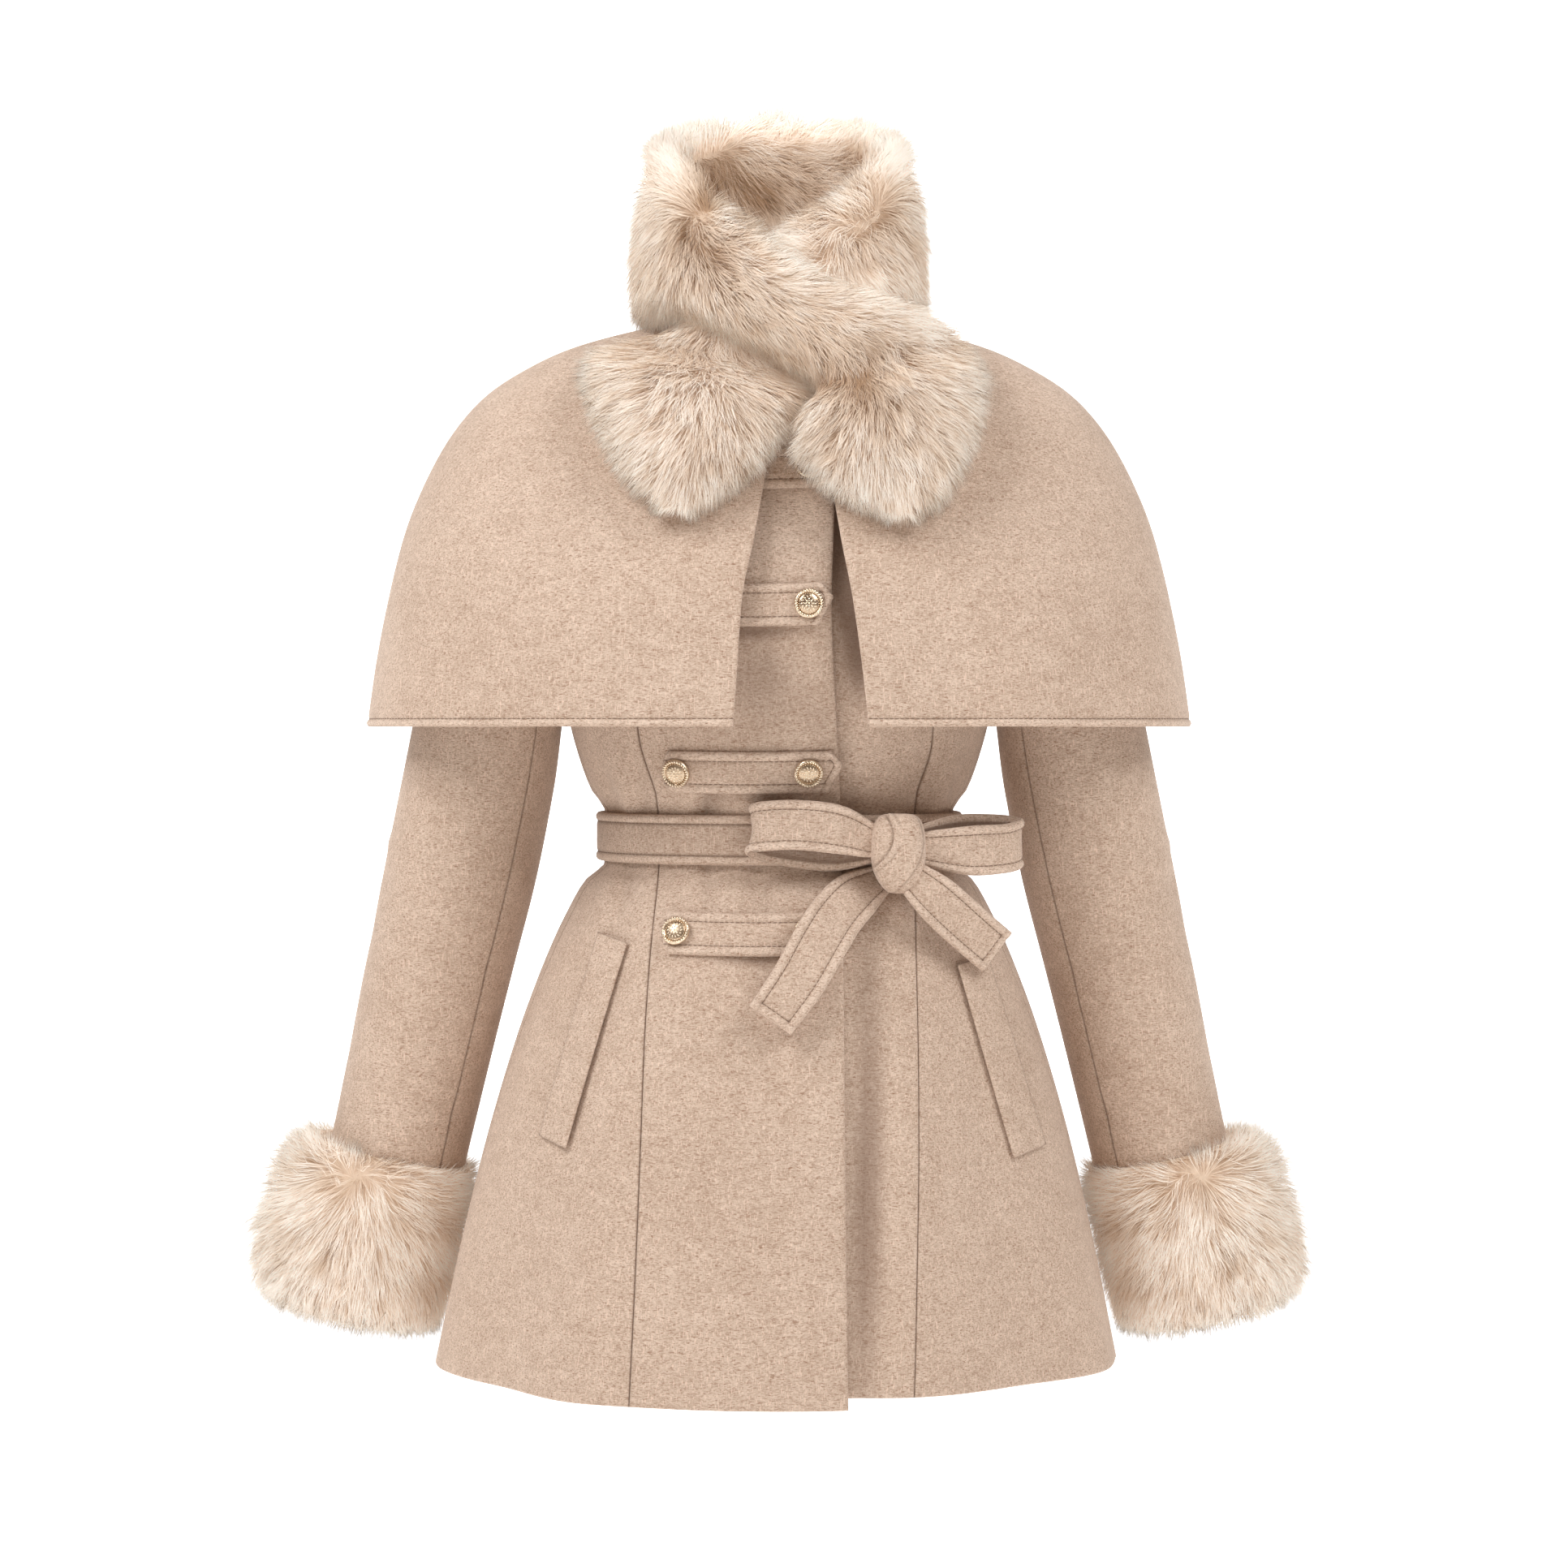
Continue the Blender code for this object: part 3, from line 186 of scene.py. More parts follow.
# Fur stretches: the lower or inner edge, the upper or outer edge, the pile's thickness there, how far the
# middle stands out past the line between the edges, and the way out: how far it turns sideways and up
Stretch = namedtuple("Stretch", "low_x low_y low_z high_x high_y high_z thick bow side up")
# The standing collar: its lower and upper edge's half width and depth, their heights at the front, and how
# far they rise towards the back
NECK_RING = dict(low_x=0.0875, low_back=0.0865, high_x=0.0755, high_back=0.08)
NECK_HEIGHTS = dict(low=-0.0026, low_rise=0.015, high=0.119, high_rise=0.04, sweep=0.8)
NECK_ROWS = 17
COLLAR_THICK = 0.036
COLLAR_JOIN = 104.0
COLLAR_TURN = 22
FUR_ROUNDNESS = 3.4
FUR_CLEARANCE = 0.0044
RIDGE_MARGIN = 0.012
CAPE_WAY_OUT = (0.3, 0.3)
LYING_SPOTS = 9
# The least that is left of a pad's half size when the pile's depth is taken off
LEAST_WIDE = 0.45
LEAST_THICK = 0.16
OVER_NECK = rows_of(
    Stretch,
    (-0.077, -0.05, -0.0015, -0.0625, -0.045, 0.104, 0.036, 0.0, 1.0, 0.0),
    (-0.06, -0.078, -0.005, -0.038, -0.072, 0.072, 0.035, 0.001, 1.0, 0.0),
    (-0.027, -0.097, -0.021, -0.008, -0.096, 0.044, 0.0345, 0.002, 0.9, 0.02),
    (0.006, -0.103, -0.04, 0.029, -0.096, 0.018, 0.0345, 0.004, 0.7, 0.06),
    (0.027, -0.111, -0.055, 0.066, -0.09, 0.004, 0.035, 0.007, 0.5, 0.12),
    (0.0215, -0.1165, -0.066, 0.098, -0.07, -0.0043, 0.036, 0.01, 0.35, 0.2),
)
UNDER_NECK = rows_of(
    Stretch,
    (0.077, -0.048, -0.002, 0.0625, -0.043, 0.104, 0.036, 0.0, 1.0, 0.0),
    (0.057, -0.066, -0.012, 0.041, -0.058, 0.08, 0.03, 0.0, 1.0, 0.0),
    (0.034, -0.077, -0.04, 0.001, -0.056, 0.056, 0.022, 0.0, 0.8, 0.05),
    (0.025, -0.083, -0.054, -0.038, -0.053, 0.02, 0.019, 0.001, 0.6, 0.15),
    (0.022, -0.095, -0.061, -0.074, -0.052, -0.0105, 0.019, 0.005, 0.4, 0.22),
)
# Further on a stretch lies on the cape: its two edges, and how far it is lifted by what is under it
Lying = namedtuple("Lying", "low_x low_z high_x high_z thick bow lift")
OVER_TAIL = rows_of(
    Lying,
    (0.015, -0.074, 0.123, -0.022, 0.037, 0.013, 0.002),
    (0.011, -0.085, 0.133, -0.05, 0.038, 0.014, 0.002),
    (0.012, -0.101, 0.13, -0.077, 0.037, 0.013, 0.0),
    (0.024, -0.115, 0.121, -0.102, 0.034, 0.011, 0.0),
    (0.04, -0.127, 0.109, -0.124, 0.026, 0.007, 0.001),
    (0.062, -0.138, 0.093, -0.1385, 0.012, 0.003, 0.004),
)
UNDER_TAIL = rows_of(
    Lying,
    (0.017, -0.068, -0.112, -0.02, 0.026, 0.011, 0.0),
    (0.01, -0.079, -0.129, -0.04, 0.033, 0.014, 0.0),
    (-0.002, -0.095, -0.125, -0.062, 0.036, 0.013, 0.0),
    (-0.017, -0.111, -0.115, -0.085, 0.035, 0.011, 0.0),
    (-0.034, -0.126, -0.101, -0.11, 0.028, 0.008, 0.001),
    (-0.05, -0.137, -0.083, -0.131, 0.012, 0.003, 0.004),
)

# Tabs from the top: height of the middle, x of the point, and whether the far end shows its button
Tab = namedtuple("Tab", "name z tip far_button")
TABS = [
    Tab("first", -0.109, 0.036, False),
    Tab("second", -0.198, 0.0355, False),
    Tab("third", -0.306, 0.042, True),
    Tab("fourth", -0.4125, 0.042, True),
]

# Pocket welts: x and z of the upper and lower end of the middle line, and the width
Welt = namedtuple("Welt", "name top_x top_z low_x low_z width")
WELTS = [
    Welt("pocket_welt_right", -0.1085, -0.417, -0.148, -0.55, 0.021),
    Welt("pocket_welt_left", 0.127, -0.432, 0.164, -0.558, 0.021),
]

# Bow: centre line of each strap, and its width there as a share of the whole strap, less in the knot's grip
StrapPoint = namedtuple("StrapPoint", "x y z share")
KNOT_AT = np.array([0.078, -0.1085, -0.36])
KNOT_HALF = np.array([0.018, 0.016, 0.026])
KNOT_TAPER = 0.4
KNOT_COLUMNS = 120
KNOT_RINGS = 80
# Where its rings stop short of its poles, and how square it is on its shoulders, upright, wide and deep
KNOT_CAP = 0.05
KNOT_SQUARE = dict(shoulder=0.45, upright=0.7, wide=0.62, deep=0.75)
LEFT_SIDE_LOOP = rows_of(
    StrapPoint,
    (0.088, -0.104, -0.353, 0.55), (0.0966, -0.101, -0.352, 0.72), (0.118, -0.0875, -0.3515, 1.0),
    (0.141, -0.077, -0.3515, 1.0), (0.1555, -0.0745, -0.353, 1.0), (0.159, -0.0795, -0.355, 1.0),
    (0.15, -0.089, -0.3575, 1.0), (0.125, -0.1005, -0.3585, 1.0), (0.0975, -0.108, -0.357, 0.72),
    (0.0885, -0.1095, -0.3575, 0.55),
)
RIGHT_SIDE_LOOP = rows_of(
    StrapPoint,
    (0.0665, -0.099, -0.356, 0.55), (0.0578, -0.0975, -0.356, 0.72), (0.036, -0.1006, -0.3562, 0.97),
    (0.01, -0.1034, -0.3535, 0.98), (-0.01, -0.105, -0.349, 1.0), (-0.0158, -0.1095, -0.3445, 1.0),
    (-0.01, -0.1155, -0.342, 1.0), (0.013, -0.1195, -0.341, 1.0), (0.038, -0.118, -0.344, 0.98),
    (0.0578, -0.1115, -0.351, 0.73), (0.0665, -0.1105, -0.3545, 0.55),
)
LEFT_SIDE_TAIL = rows_of(
    StrapPoint,
    (0.0835, -0.112, -0.3715, 0.6), (0.0912, -0.1172, -0.3788, 0.78), (0.102, -0.1165, -0.3885, 0.95),
    (0.115, -0.108, -0.4005, 1.0), (0.13, -0.0985, -0.414, 1.0), (0.144, -0.088, -0.426, 1.0),
)
RIGHT_SIDE_TAIL = rows_of(
    StrapPoint,
    (0.0745, -0.0883, -0.374, 0.42), (0.062, -0.0952, -0.3805, 0.78), (0.0505, -0.1065, -0.387, 1.04),
    (0.0385, -0.121, -0.3985, 1.1), (0.028, -0.1345, -0.4135, 1.12), (0.0128, -0.144, -0.4395, 1.08),
    (-0.0055, -0.15, -0.465, 1.0),
)


class Track:
    """A smooth curve through one column of a table, which never swings past its rows."""

    def __init__(self, values, at=None):
        self.value = np.asarray(values, dtype=float)
        self.at = np.arange(len(values), dtype=float) if at is None else np.asarray(at, dtype=float)
        step = np.diff(self.at)
        slope = np.diff(self.value) / step
        same_way = slope[:-1] * slope[1:] > 0
        both = np.where(same_way, slope[:-1] + slope[1:], 1)
        inner = np.where(same_way, 2 * slope[:-1] * slope[1:] / both, 0)
        self.turn = np.concatenate([slope[:1], inner, slope[-1:]])

    def __call__(self, where):
        where = np.clip(np.asarray(where, dtype=float), self.at[0], self.at[-1])
        row = np.clip(np.searchsorted(self.at, where, side="right") - 1, 0, len(self.at) - 2)
        step = self.at[row + 1] - self.at[row]
        t = (where - self.at[row]) / step
        leave = step * self.turn[row]
        arrive = step * self.turn[row + 1]
        return smooth_run(t, self.value[row], leave, self.value[row + 1], arrive)


def smooth_run(t, start, leave, end, arrive):
    """Reads a smooth curve from start to end at shares t, with its slopes where it leaves and arrives."""
    return (
        (2 * t**3 - 3 * t**2 + 1) * start
        + (t**3 - 2 * t**2 + t) * leave
        + (3 * t**2 - 2 * t**3) * end
        + (t**3 - t**2) * arrive
    )


def power(value, exponent):
    return np.sign(value) * np.abs(value) ** exponent


def run_along(points):
    """The distance of each point of a line from its first one."""
    return np.concatenate([[0], np.cumsum(np.linalg.norm(np.diff(points, axis=0), axis=1))])


def unit(vectors):
    return vectors / np.maximum(np.linalg.norm(vectors, axis=-1, keepdims=True), 1e-12)


FINE_LEVELS = 600
SEARCH_ROUNDS = 40
FOLD_FADE = 1.3


class Garment:
    """A surface round the wearer, from the rows of a table: an angle from the middle front, and a level."""

    def __init__(self, rows, folds=(), fold_end=0.0):
        self.track = {name: Track([getattr(row, name) for row in rows]) for name in rows[0]._fields[1:]}
        self.top = len(rows) - 1
        self.folds = folds
        self.fold_end = fold_end
        self.levels = np.linspace(0, self.top, FINE_LEVELS)
        self.index = {row.name: i for i, row in enumerate(rows)}
        rise = np.diff(self.column("z", self.levels))
        draw_in = np.diff(self.column("half_width", self.levels))
        self.run = np.concatenate([[0], np.cumsum(np.hypot(rise, draw_in))])

    def column(self, name, level):
        return self.track[name](level)

    def height(self, angle, level):
        """Angles are in degrees, level is a row number that may lie between two rows."""
        facing = np.cos(np.radians(angle))
        drop = np.where(facing > 0, self.column("front_z", level), self.column("back_z", level))
        return self.column("z", level) + drop * facing**2

    def points(self, angle, level):
        angle, level = np.broadcast_arrays(np.asarray(angle, float), np.asarray(level, float))
        sine = np.sin(np.radians(angle))
        facing = np.cos(np.radians(angle))
        exponent = 2 / self.column("roundness", level)
        depth = np.where(facing > 0, self.column("front", level), self.column("back", level))
        x = self.column("half_width", level) * power(sine, exponent)
        y = -depth * power(facing, exponent)
        if self.folds:
            strength = np.clip(1 - level / self.fold_end, 0, 1) ** FOLD_FADE
            rise = np.zeros_like(x)
            for fold in self.folds:
                turn = (angle - fold.angle + 180) % 360 - 180
                rise = rise + fold.rise * np.exp(-((turn / fold.spread) ** 2))
            reach = 1 + rise * strength / np.hypot(x, y)
            x = x * reach
            y = y * reach
        return np.stack([x, y, self.height(angle, level)], axis=-1)

    def outward(self, angle, level, turn=0.4, climb=0.04):
        """The way out of the surface, from places a turn to either side and a climb up and down."""
        level = np.asarray(level, float)
        across = self.points(angle + turn, level) - self.points(angle - turn, level)
        low = np.clip(level - climb, 0, self.top)
        high = np.clip(level + climb, 0, self.top)
        up = self.points(angle, high) - self.points(angle, low)
        return unit(np.cross(across, up))

    def angle_at(self, x, level):
        """The angle at which the front surface has a given x."""
        share = np.clip(np.abs(x) / self.column("half_width", level), 0, 1)
        return np.sign(x) * np.degrees(np.arcsin(share ** (self.column("roundness", level) / 2)))

    def front_spot(self, x, z):
        """The angle and level of the front surface's point at x and z."""
        x, z = np.broadcast_arrays(np.asarray(x, float), np.asarray(z, float))
        angle = np.zeros(x.shape)
        level = np.zeros(x.shape)
        heights = self.column("z", self.levels)
        for _ in range(SEARCH_ROUNDS):
            facing = np.cos(np.radians(angle))
            level = np.interp(z - self.column("front_z", level) * facing**2, heights, self.levels)
            angle = self.angle_at(x, level)
        return angle, level


BODY = Garment(BODY_LEVELS, SKIRT_FOLDS, fold_end=4.2)
CAPE = Garment(CAPE_LEVELS)
ARMPIT = BODY.index["armpit"]
SHOULDER_TIP = BODY.index["shoulder tip"]
ARMHOLE_ROWS = ARMPIT + np.array([0, 0.22, 0.55, 1.0, 1.5, 2.0, 2.45, 2.78, 3.0])
ARMHOLE_POINTS = 2 * (len(ARMHOLE_ROWS) - 1)


def smooth_rows(rows, samples):
    """Reads more rows from a table by a curve through it that passes every row."""
    table = np.array([tuple(row) for row in rows], float)
    padded = np.concatenate([2 * table[:1] - table[1:2], table, 2 * table[-1:] - table[-2:-1]])
    i = np.minimum(samples.astype(int), len(table) - 2)
    t = (samples - i)[:, None]
    a, b, c, d = (padded[i + k] for k in range(4))
    return 0.5 * (2 * b + (c - a) * t + (2 * a - 5 * b + 4 * c - d) * t**2 + (3 * b - a - 3 * c + d) * t**3)


# Places in the photographed view are given in metres across and up, at the depth of the coat's middle
Crease = namedtuple("Crease", "x z front tilt long wide depth")
BODY_CREASES = rows_of(
    Crease,
    (-0.048, -0.33, True, 4, 0.02, 0.007, -0.0036), (-0.056, -0.326, True, 2, 0.022, 0.007, 0.0014),
    (-0.024, -0.327, True, -4, 0.02, 0.008, 0.0016), (-0.048, -0.384, True, 3, 0.02, 0.007, -0.0032),
    (-0.029, -0.388, True, -3, 0.024, 0.006, 0.0018), (-0.056, -0.388, True, 5, 0.026, 0.007, 0.0018),
    (-0.011, -0.386, True, -4, 0.022, 0.006, -0.0024), (0.03, -0.39, True, -6, 0.026, 0.008, 0.0018),
    (-0.102, -0.385, True, 14, 0.026, 0.007, -0.0026), (-0.114, -0.395, True, 17, 0.034, 0.007, 0.0022),
    (-0.09, -0.316, True, -12, 0.024, 0.006, -0.0022), (-0.105, -0.312, True, -16, 0.026, 0.006, 0.002),
    (-0.113, -0.32, True, -20, 0.02, 0.005, -0.0022), (0.095, -0.308, True, 14, 0.026, 0.006, -0.0024),
    (0.111, -0.312, True, 18, 0.024, 0.006, 0.002), (0.12, -0.315, True, 20, 0.02, 0.0045, -0.0018),
    (0.108, -0.39, True, -16, 0.03, 0.006, -0.0024), (0.122, -0.4, True, -20, 0.034, 0.007, 0.0022),
    (0.057, -0.575, True, 1, 0.15, 0.011, -0.0042), (0.0455, -0.15, True, 2, 0.04, 0.0055, -0.0066),
    (0.056, -0.22, True, 5, 0.048, 0.01, -0.0044), (-0.01, -0.24, True, 8, 0.034, 0.02, -0.002),
    (0.025, -0.27, True, -40, 0.03, 0.012, -0.0014), (0.085, -0.575, True, 1, 0.14, 0.012, 0.002),
    (0.03, -0.56, True, 0, 0.15, 0.013, 0.0012), (-0.012, -0.5, True, 2, 0.11, 0.016, -0.0014),
    (0.129, -0.52, True, -9, 0.12, 0.013, -0.0016), (-0.128, -0.52, True, 11, 0.12, 0.014, -0.0014),
    (-0.065, -0.39, False, 6, 0.03, 0.008, -0.0026), (-0.04, -0.388, False, 3, 0.03, 0.008, 0.0022),
    (0.01, -0.385, False, -2, 0.028, 0.007, -0.0022), (0.05, -0.39, False, -5, 0.032, 0.008, 0.0024),
    (0.078, -0.388, False, -8, 0.028, 0.007, -0.0026), (-0.05, -0.318, False, -5, 0.026, 0.007, -0.0024),
    (-0.02, -0.316, False, -2, 0.024, 0.007, 0.0018), (0.03, -0.317, False, 3, 0.026, 0.007, -0.0022),
    (0.07, -0.318, False, 7, 0.026, 0.007, 0.002),
)
# Where the fronts lie in the shade of what is over them, with the shade in place of a depth
LAP_SHADOWS = [
    Crease(0.043, -0.135, True, 2, 0.06, 0.011, -1.9),
    Crease(0.053, -0.218, True, 5, 0.04, 0.014, -0.66),
    Crease(0.056, -0.57, True, 1, 0.19, 0.021, -0.34),
]
# On the right front: painted shade under the cape and in a line under each tab, and painted light on the
# upper chest
RIGHT_PAINTED_LIGHT_AND_SHADE = [
    Crease(-0.025, -0.26, True, 0, 0.06, 0.08, -0.36),
    Crease(0.005, -0.14, True, 0, 0.045, 0.045, 0.7),
    *(
        Crease((TAB_START + tab.tip) / 2, tab.z - TAB_WIDTH / 2 - 0.003, True, 90, 0.034, 0.0052, -0.6)
        for tab in TABS
    ),
]
CAPE_CREASES = rows_of(
    Crease,
    (-0.205, -0.24, True, -12, 0.07, 0.022, -0.0016), (-0.135, -0.25, True, -6, 0.08, 0.026, 0.0014),
    (-0.08, -0.25, True, 3, 0.07, 0.024, -0.0012), (0.105, -0.25, True, 5, 0.07, 0.026, -0.0014),
    (0.16, -0.245, True, 9, 0.08, 0.024, 0.0016), (0.22, -0.235, True, 14, 0.07, 0.022, -0.0016),
    (-0.19, -0.24, False, 12, 0.08, 0.024, 0.0022), (-0.11, -0.25, False, 6, 0.08, 0.026, -0.0024),
    (-0.02, -0.245, False, 1, 0.09, 0.028, 0.002), (0.075, -0.25, False, -5, 0.08, 0.026, -0.0022),
    (0.165, -0.24, False, -10, 0.08, 0.024, 0.0022),
)
SLEEVE_CREASES = rows_of(
    Crease,
    (0.262, -0.39, True, 62, 0.034, 0.01, -0.0022), (0.256, -0.37, True, 58, 0.03, 0.011, 0.0018),
    (0.22, -0.43, True, 48, 0.026, 0.009, -0.0018), (0.245, -0.535, True, 66, 0.034, 0.012, -0.0016),
    (0.26, -0.51, True, 60, 0.034, 0.012, 0.0012), (0.24, -0.4, False, -60, 0.036, 0.011, -0.0024),
    (0.245, -0.43, False, -52, 0.034, 0.011, 0.002), (0.255, -0.485, False, -62, 0.034, 0.012, -0.002),
)

# How a piece's edge is finished: how far its rounding reaches in, its topstitching's distance from it,
# and how dark the line of painted shade is that it draws against its neighbour, in a seam's gap and under a
# tab's edge
Edge = namedtuple("Edge", "soft stitch line")
SEAM = Edge(0.001, None, 0.68)
PLAIN = Edge(0.0019, None, 0.0)
HEM = Edge(0.0018, 0.0052, 0.0)
BELT_SIDE = Edge(0.0021, 0.006, 0.0)
TAB_SIDE = Edge(0.0016, 0.006, 0.25)
WELT_FOLD = Edge(0.0046, None, 0.0)
WELT_SEAM = Edge(0.0009, None, 0.76)
GROOVE_DEPTH = 0.0009
GROOVE_WIDTH = 0.0009
# How much painted shade lies in a stitching groove
GROOVE_PAINTED_SHADE = 0.62
ROLL_PUFF = 0.0007
# The roll between an edge and its stitching: its middle and width as shares of the way, and how much painted
# light it takes
ROLL_AT = 0.5
ROLL_WIDTH = 0.34
ROLL_PAINTED_LIGHT = 0.74
# Where rows of points lie: in from an edge, as shares of its rounding, and beside a groove, of its width
ROUNDING_ROWS = (0.0, 0.13, 0.42, 1.0)
GROOVE_ROWS = (-0.9, 0.0, 0.9, 2.4)
FLAT_ROW = 2.4
# How far in from an edge its line of painted shade reaches
EDGE_SHADE_WIDTH = 0.0011
# Painted shade in a crease's trough for each metre of its depth and the darkest it gets, and the most
# painted light on a ridge
TROUGH_DARK = 110.0
TROUGH_DARKEST = -0.8
RIDGE_LIGHTEST = 0.12
BODY_STEP = 0.0078
CAPE_STEP = 0.0072
SLEEVE_STEP = 0.008
TRIM_STEP = 0.004
DENSE = 160


def steps_by(edge):
    """Distances in from an edge, close where it is rounded or stitched."""
    steps = [share * edge.soft for share in ROUNDING_ROWS]
    if edge.stitch:
        steps += [(edge.soft + edge.stitch) / 2]
        steps += [edge.stitch + share * GROOVE_WIDTH for share in GROOVE_ROWS]
    else:
        steps += [FLAT_ROW * edge.soft]
    return np.array(steps)


def spread(length, near, far, step):
    """Distances across each of several lengths: close ones by both edges, even ones between them."""
    length = np.asarray(length, float)[:, None]
    first = steps_by(near)
    last = steps_by(far)
    count = max(int(length.max() / step), 2)
    share = np.linspace(0, 1, count + 1)[1:-1]
    rows = np.ones_like(length)
    middle = first[-1] + share * (length - first[-1] - last[-1])
    return np.concatenate([first * rows, middle, length - last[::-1]], axis=1)


def resample(grid, old, new):
    """Reads a grid, row by row, at new distances along its rows."""
    rows = np.arange(len(grid))[:, None]
    after = np.stack([np.searchsorted(*row) for row in zip(old, new)])
    after = np.clip(after, 1, old.shape[1] - 1)
    start = old[rows, after - 1]
    share = (new - start) / np.maximum(old[rows, after] - start, 1e-12)
    share = np.clip(share, 0, 1)[..., None]
    return grid[rows, after - 1] * (1 - share) + grid[rows, after] * share


def edge_form(distance, edge):
    """The share of the full thickness, the relief, and the painted light and shade at distances from an
    edge:
    painted shade in its line and its stitching groove, and painted light on the roll between them.
    """
    share = np.clip(distance / edge.soft, 0, 1)
    fullness = np.sqrt(np.maximum(1 - (1 - share) ** 2, 0))
    line = edge.line * np.exp(-((distance / EDGE_SHADE_WIDTH) ** 2))
    if not edge.stitch:
        return fullness, np.zeros_like(distance), -line
    groove = np.exp(-(((distance - edge.stitch) / GROOVE_WIDTH) ** 2))
    roll = np.exp(-(((distance - edge.stitch * ROLL_AT) / (edge.stitch * ROLL_WIDTH)) ** 2))
    relief = ROLL_PUFF * roll - GROOVE_DEPTH * groove
    return fullness, relief, ROLL_PAINTED_LIGHT * roll - GROOVE_PAINTED_SHADE * groove - line


def add_mesh(name, points, quads, finish, tris=None, **values):
    """A smooth mesh object from arrays of points and faces, with a number at each point for each value."""
    mesh = bpy.data.meshes.new(name)
    tris = np.zeros((0, 3), int) if tris is None else tris
    loops = np.concatenate([quads.ravel(), tris.ravel()])
    totals = np.concatenate([np.full(len(quads), 4), np.full(len(tris), 3)])
    mesh.vertices.add(len(points))
    mesh.vertices.foreach_set("co", np.asarray(points, np.float32).ravel())
    mesh.loops.add(len(loops))
    mesh.loops.foreach_set("vertex_index", loops.astype(np.int32))
    mesh.polygons.add(len(totals))
    mesh.polygons.foreach_set("loop_start", (np.cumsum(totals) - totals).astype(np.int32))
    for key, value in values.items():
        layer = mesh.attributes.new(key, "FLOAT", "POINT")
        layer.data.foreach_set("value", np.asarray(value, np.float32).ravel())
    mesh.update(calc_edges=True)
    mesh.shade_smooth()
    mesh.materials.append(finish)
    piece = bpy.data.objects.new(name, mesh)
    bpy.context.scene.collection.objects.link(piece)
    return piece


def grid_quads(index, wrap=False):
    """Faces between the rows and columns of a grid of point numbers."""
    if wrap:
        index = np.concatenate([index, index[:, :1]], axis=1)
    return np.stack([index[:-1, :-1], index[:-1, 1:], index[1:, 1:], index[1:, :-1]], axis=-1).reshape(-1, 4)


def facing_out(points, normals, index):
    """Whether the faces between a grid's points look the way of its normals."""
    a = points[1:, :-1] - points[:-1, :-1]
    b = points[:-1, 1:] - points[:-1, :-1]
    return np.sum(np.cross(b, a) * normals[:-1, :-1]) > 0


def pole_tris(index):
    """Triangles that close a wrapped grid's first and last row, round two points more after its own."""
    after = np.roll(index, -1, axis=1)
    pole = np.full(index.shape[1], index.size)
    low = np.stack([after[0], index[0], pole], axis=1)
    high = np.stack([index[-1], after[-1], pole + 1], axis=1)
    return np.concatenate([low, high])


def stand_for(piece, node):
    """Puts a piece in the place of its solid: hangs it from the root and hides the solid."""
    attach(piece, "root")
    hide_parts(node)


# A finished cloth piece: its object, its outer points and normals, and their distances from its four edges
Cloth = namedtuple("Cloth", "piece outer normals near far low high edges")


def cloth_wall(
    name, points, normals, rows_at, edges, step, thickness, finish, relief=None, inside=0.0, painted_shading=None
):
    """A rounded wall from dense rows of middle points. edges are the near, far, low and high edge.
    inside is the painted shade on its inner side, and dim gives the painted shade at each of its places,
    which is painted light where it is above zero."""
    along = np.linalg.norm(np.diff(points, axis=1), axis=2)
    old = np.concatenate([np.zeros((len(points), 1)), np.cumsum(along, axis=1)], axis=1)
    new = spread(old[:, -1], edges[0], edges[1], step)
    points = resample(points, old, new)
    normals = unit(resample(normals, old, new))
    from_near = new
    from_far = old[:, -1:] - new
    from_low = np.repeat(rows_at[:, None], new.shape[1], axis=1)
    from_high = rows_at[-1] - from_low
    fullness = np.ones_like(new)
    raised = np.zeros_like(new)
    shade = np.zeros_like(new)
    for distance, edge in zip((from_near, from_far, from_low, from_high), edges):
        full, rise, tone = edge_form(distance, edge)
        fullness = np.minimum(fullness, full)
        raised = raised + rise
        shade = shade + tone
    middle = points
    if relief is not None:
        pressed = relief(points)
        middle = middle + normals * pressed[..., None]
        # Painted shade in the troughs of creases, and painted light on their ridges
        shade = shade + np.clip(TROUGH_DARK * pressed, TROUGH_DARKEST, RIDGE_LIGHTEST)
    if painted_shading is not None:
        shade = shade + painted_shading(points)
    half = (thickness / 2 * fullness)[..., None]
    outer = middle + normals * (half + (raised * fullness)[..., None])
    inner = middle - normals * half
    rows, columns = new.shape
    index = np.arange(rows * columns).reshape(rows, columns)
    back = index + rows * columns
    back[0] = index[0]
    back[-1] = index[-1]
    back[:, 0] = index[:, 0]
    back[:, -1] = index[:, -1]
    used, numbers = np.unique(np.concatenate([index.ravel(), back.ravel()]), return_inverse=True)
    numbers = numbers.reshape(2, rows, columns)
    front_faces = grid_quads(numbers[0])
    back_faces = grid_quads(numbers[1])[:, ::-1]
    if not facing_out(middle, normals, index):
        front_faces = front_faces[:, ::-1]
        back_faces = back_faces[:, ::-1]
    corners = np.concatenate([outer.reshape(-1, 3), inner.reshape(-1, 3)])[used]
    tones = np.concatenate([shade.ravel(), shade.ravel() + inside])[used]
    piece = add_mesh(name, corners, np.concatenate([front_faces, back_faces]), finish, shade=tones)
    return Cloth(piece, outer, normals, from_near, from_far, from_low, from_high, edges)


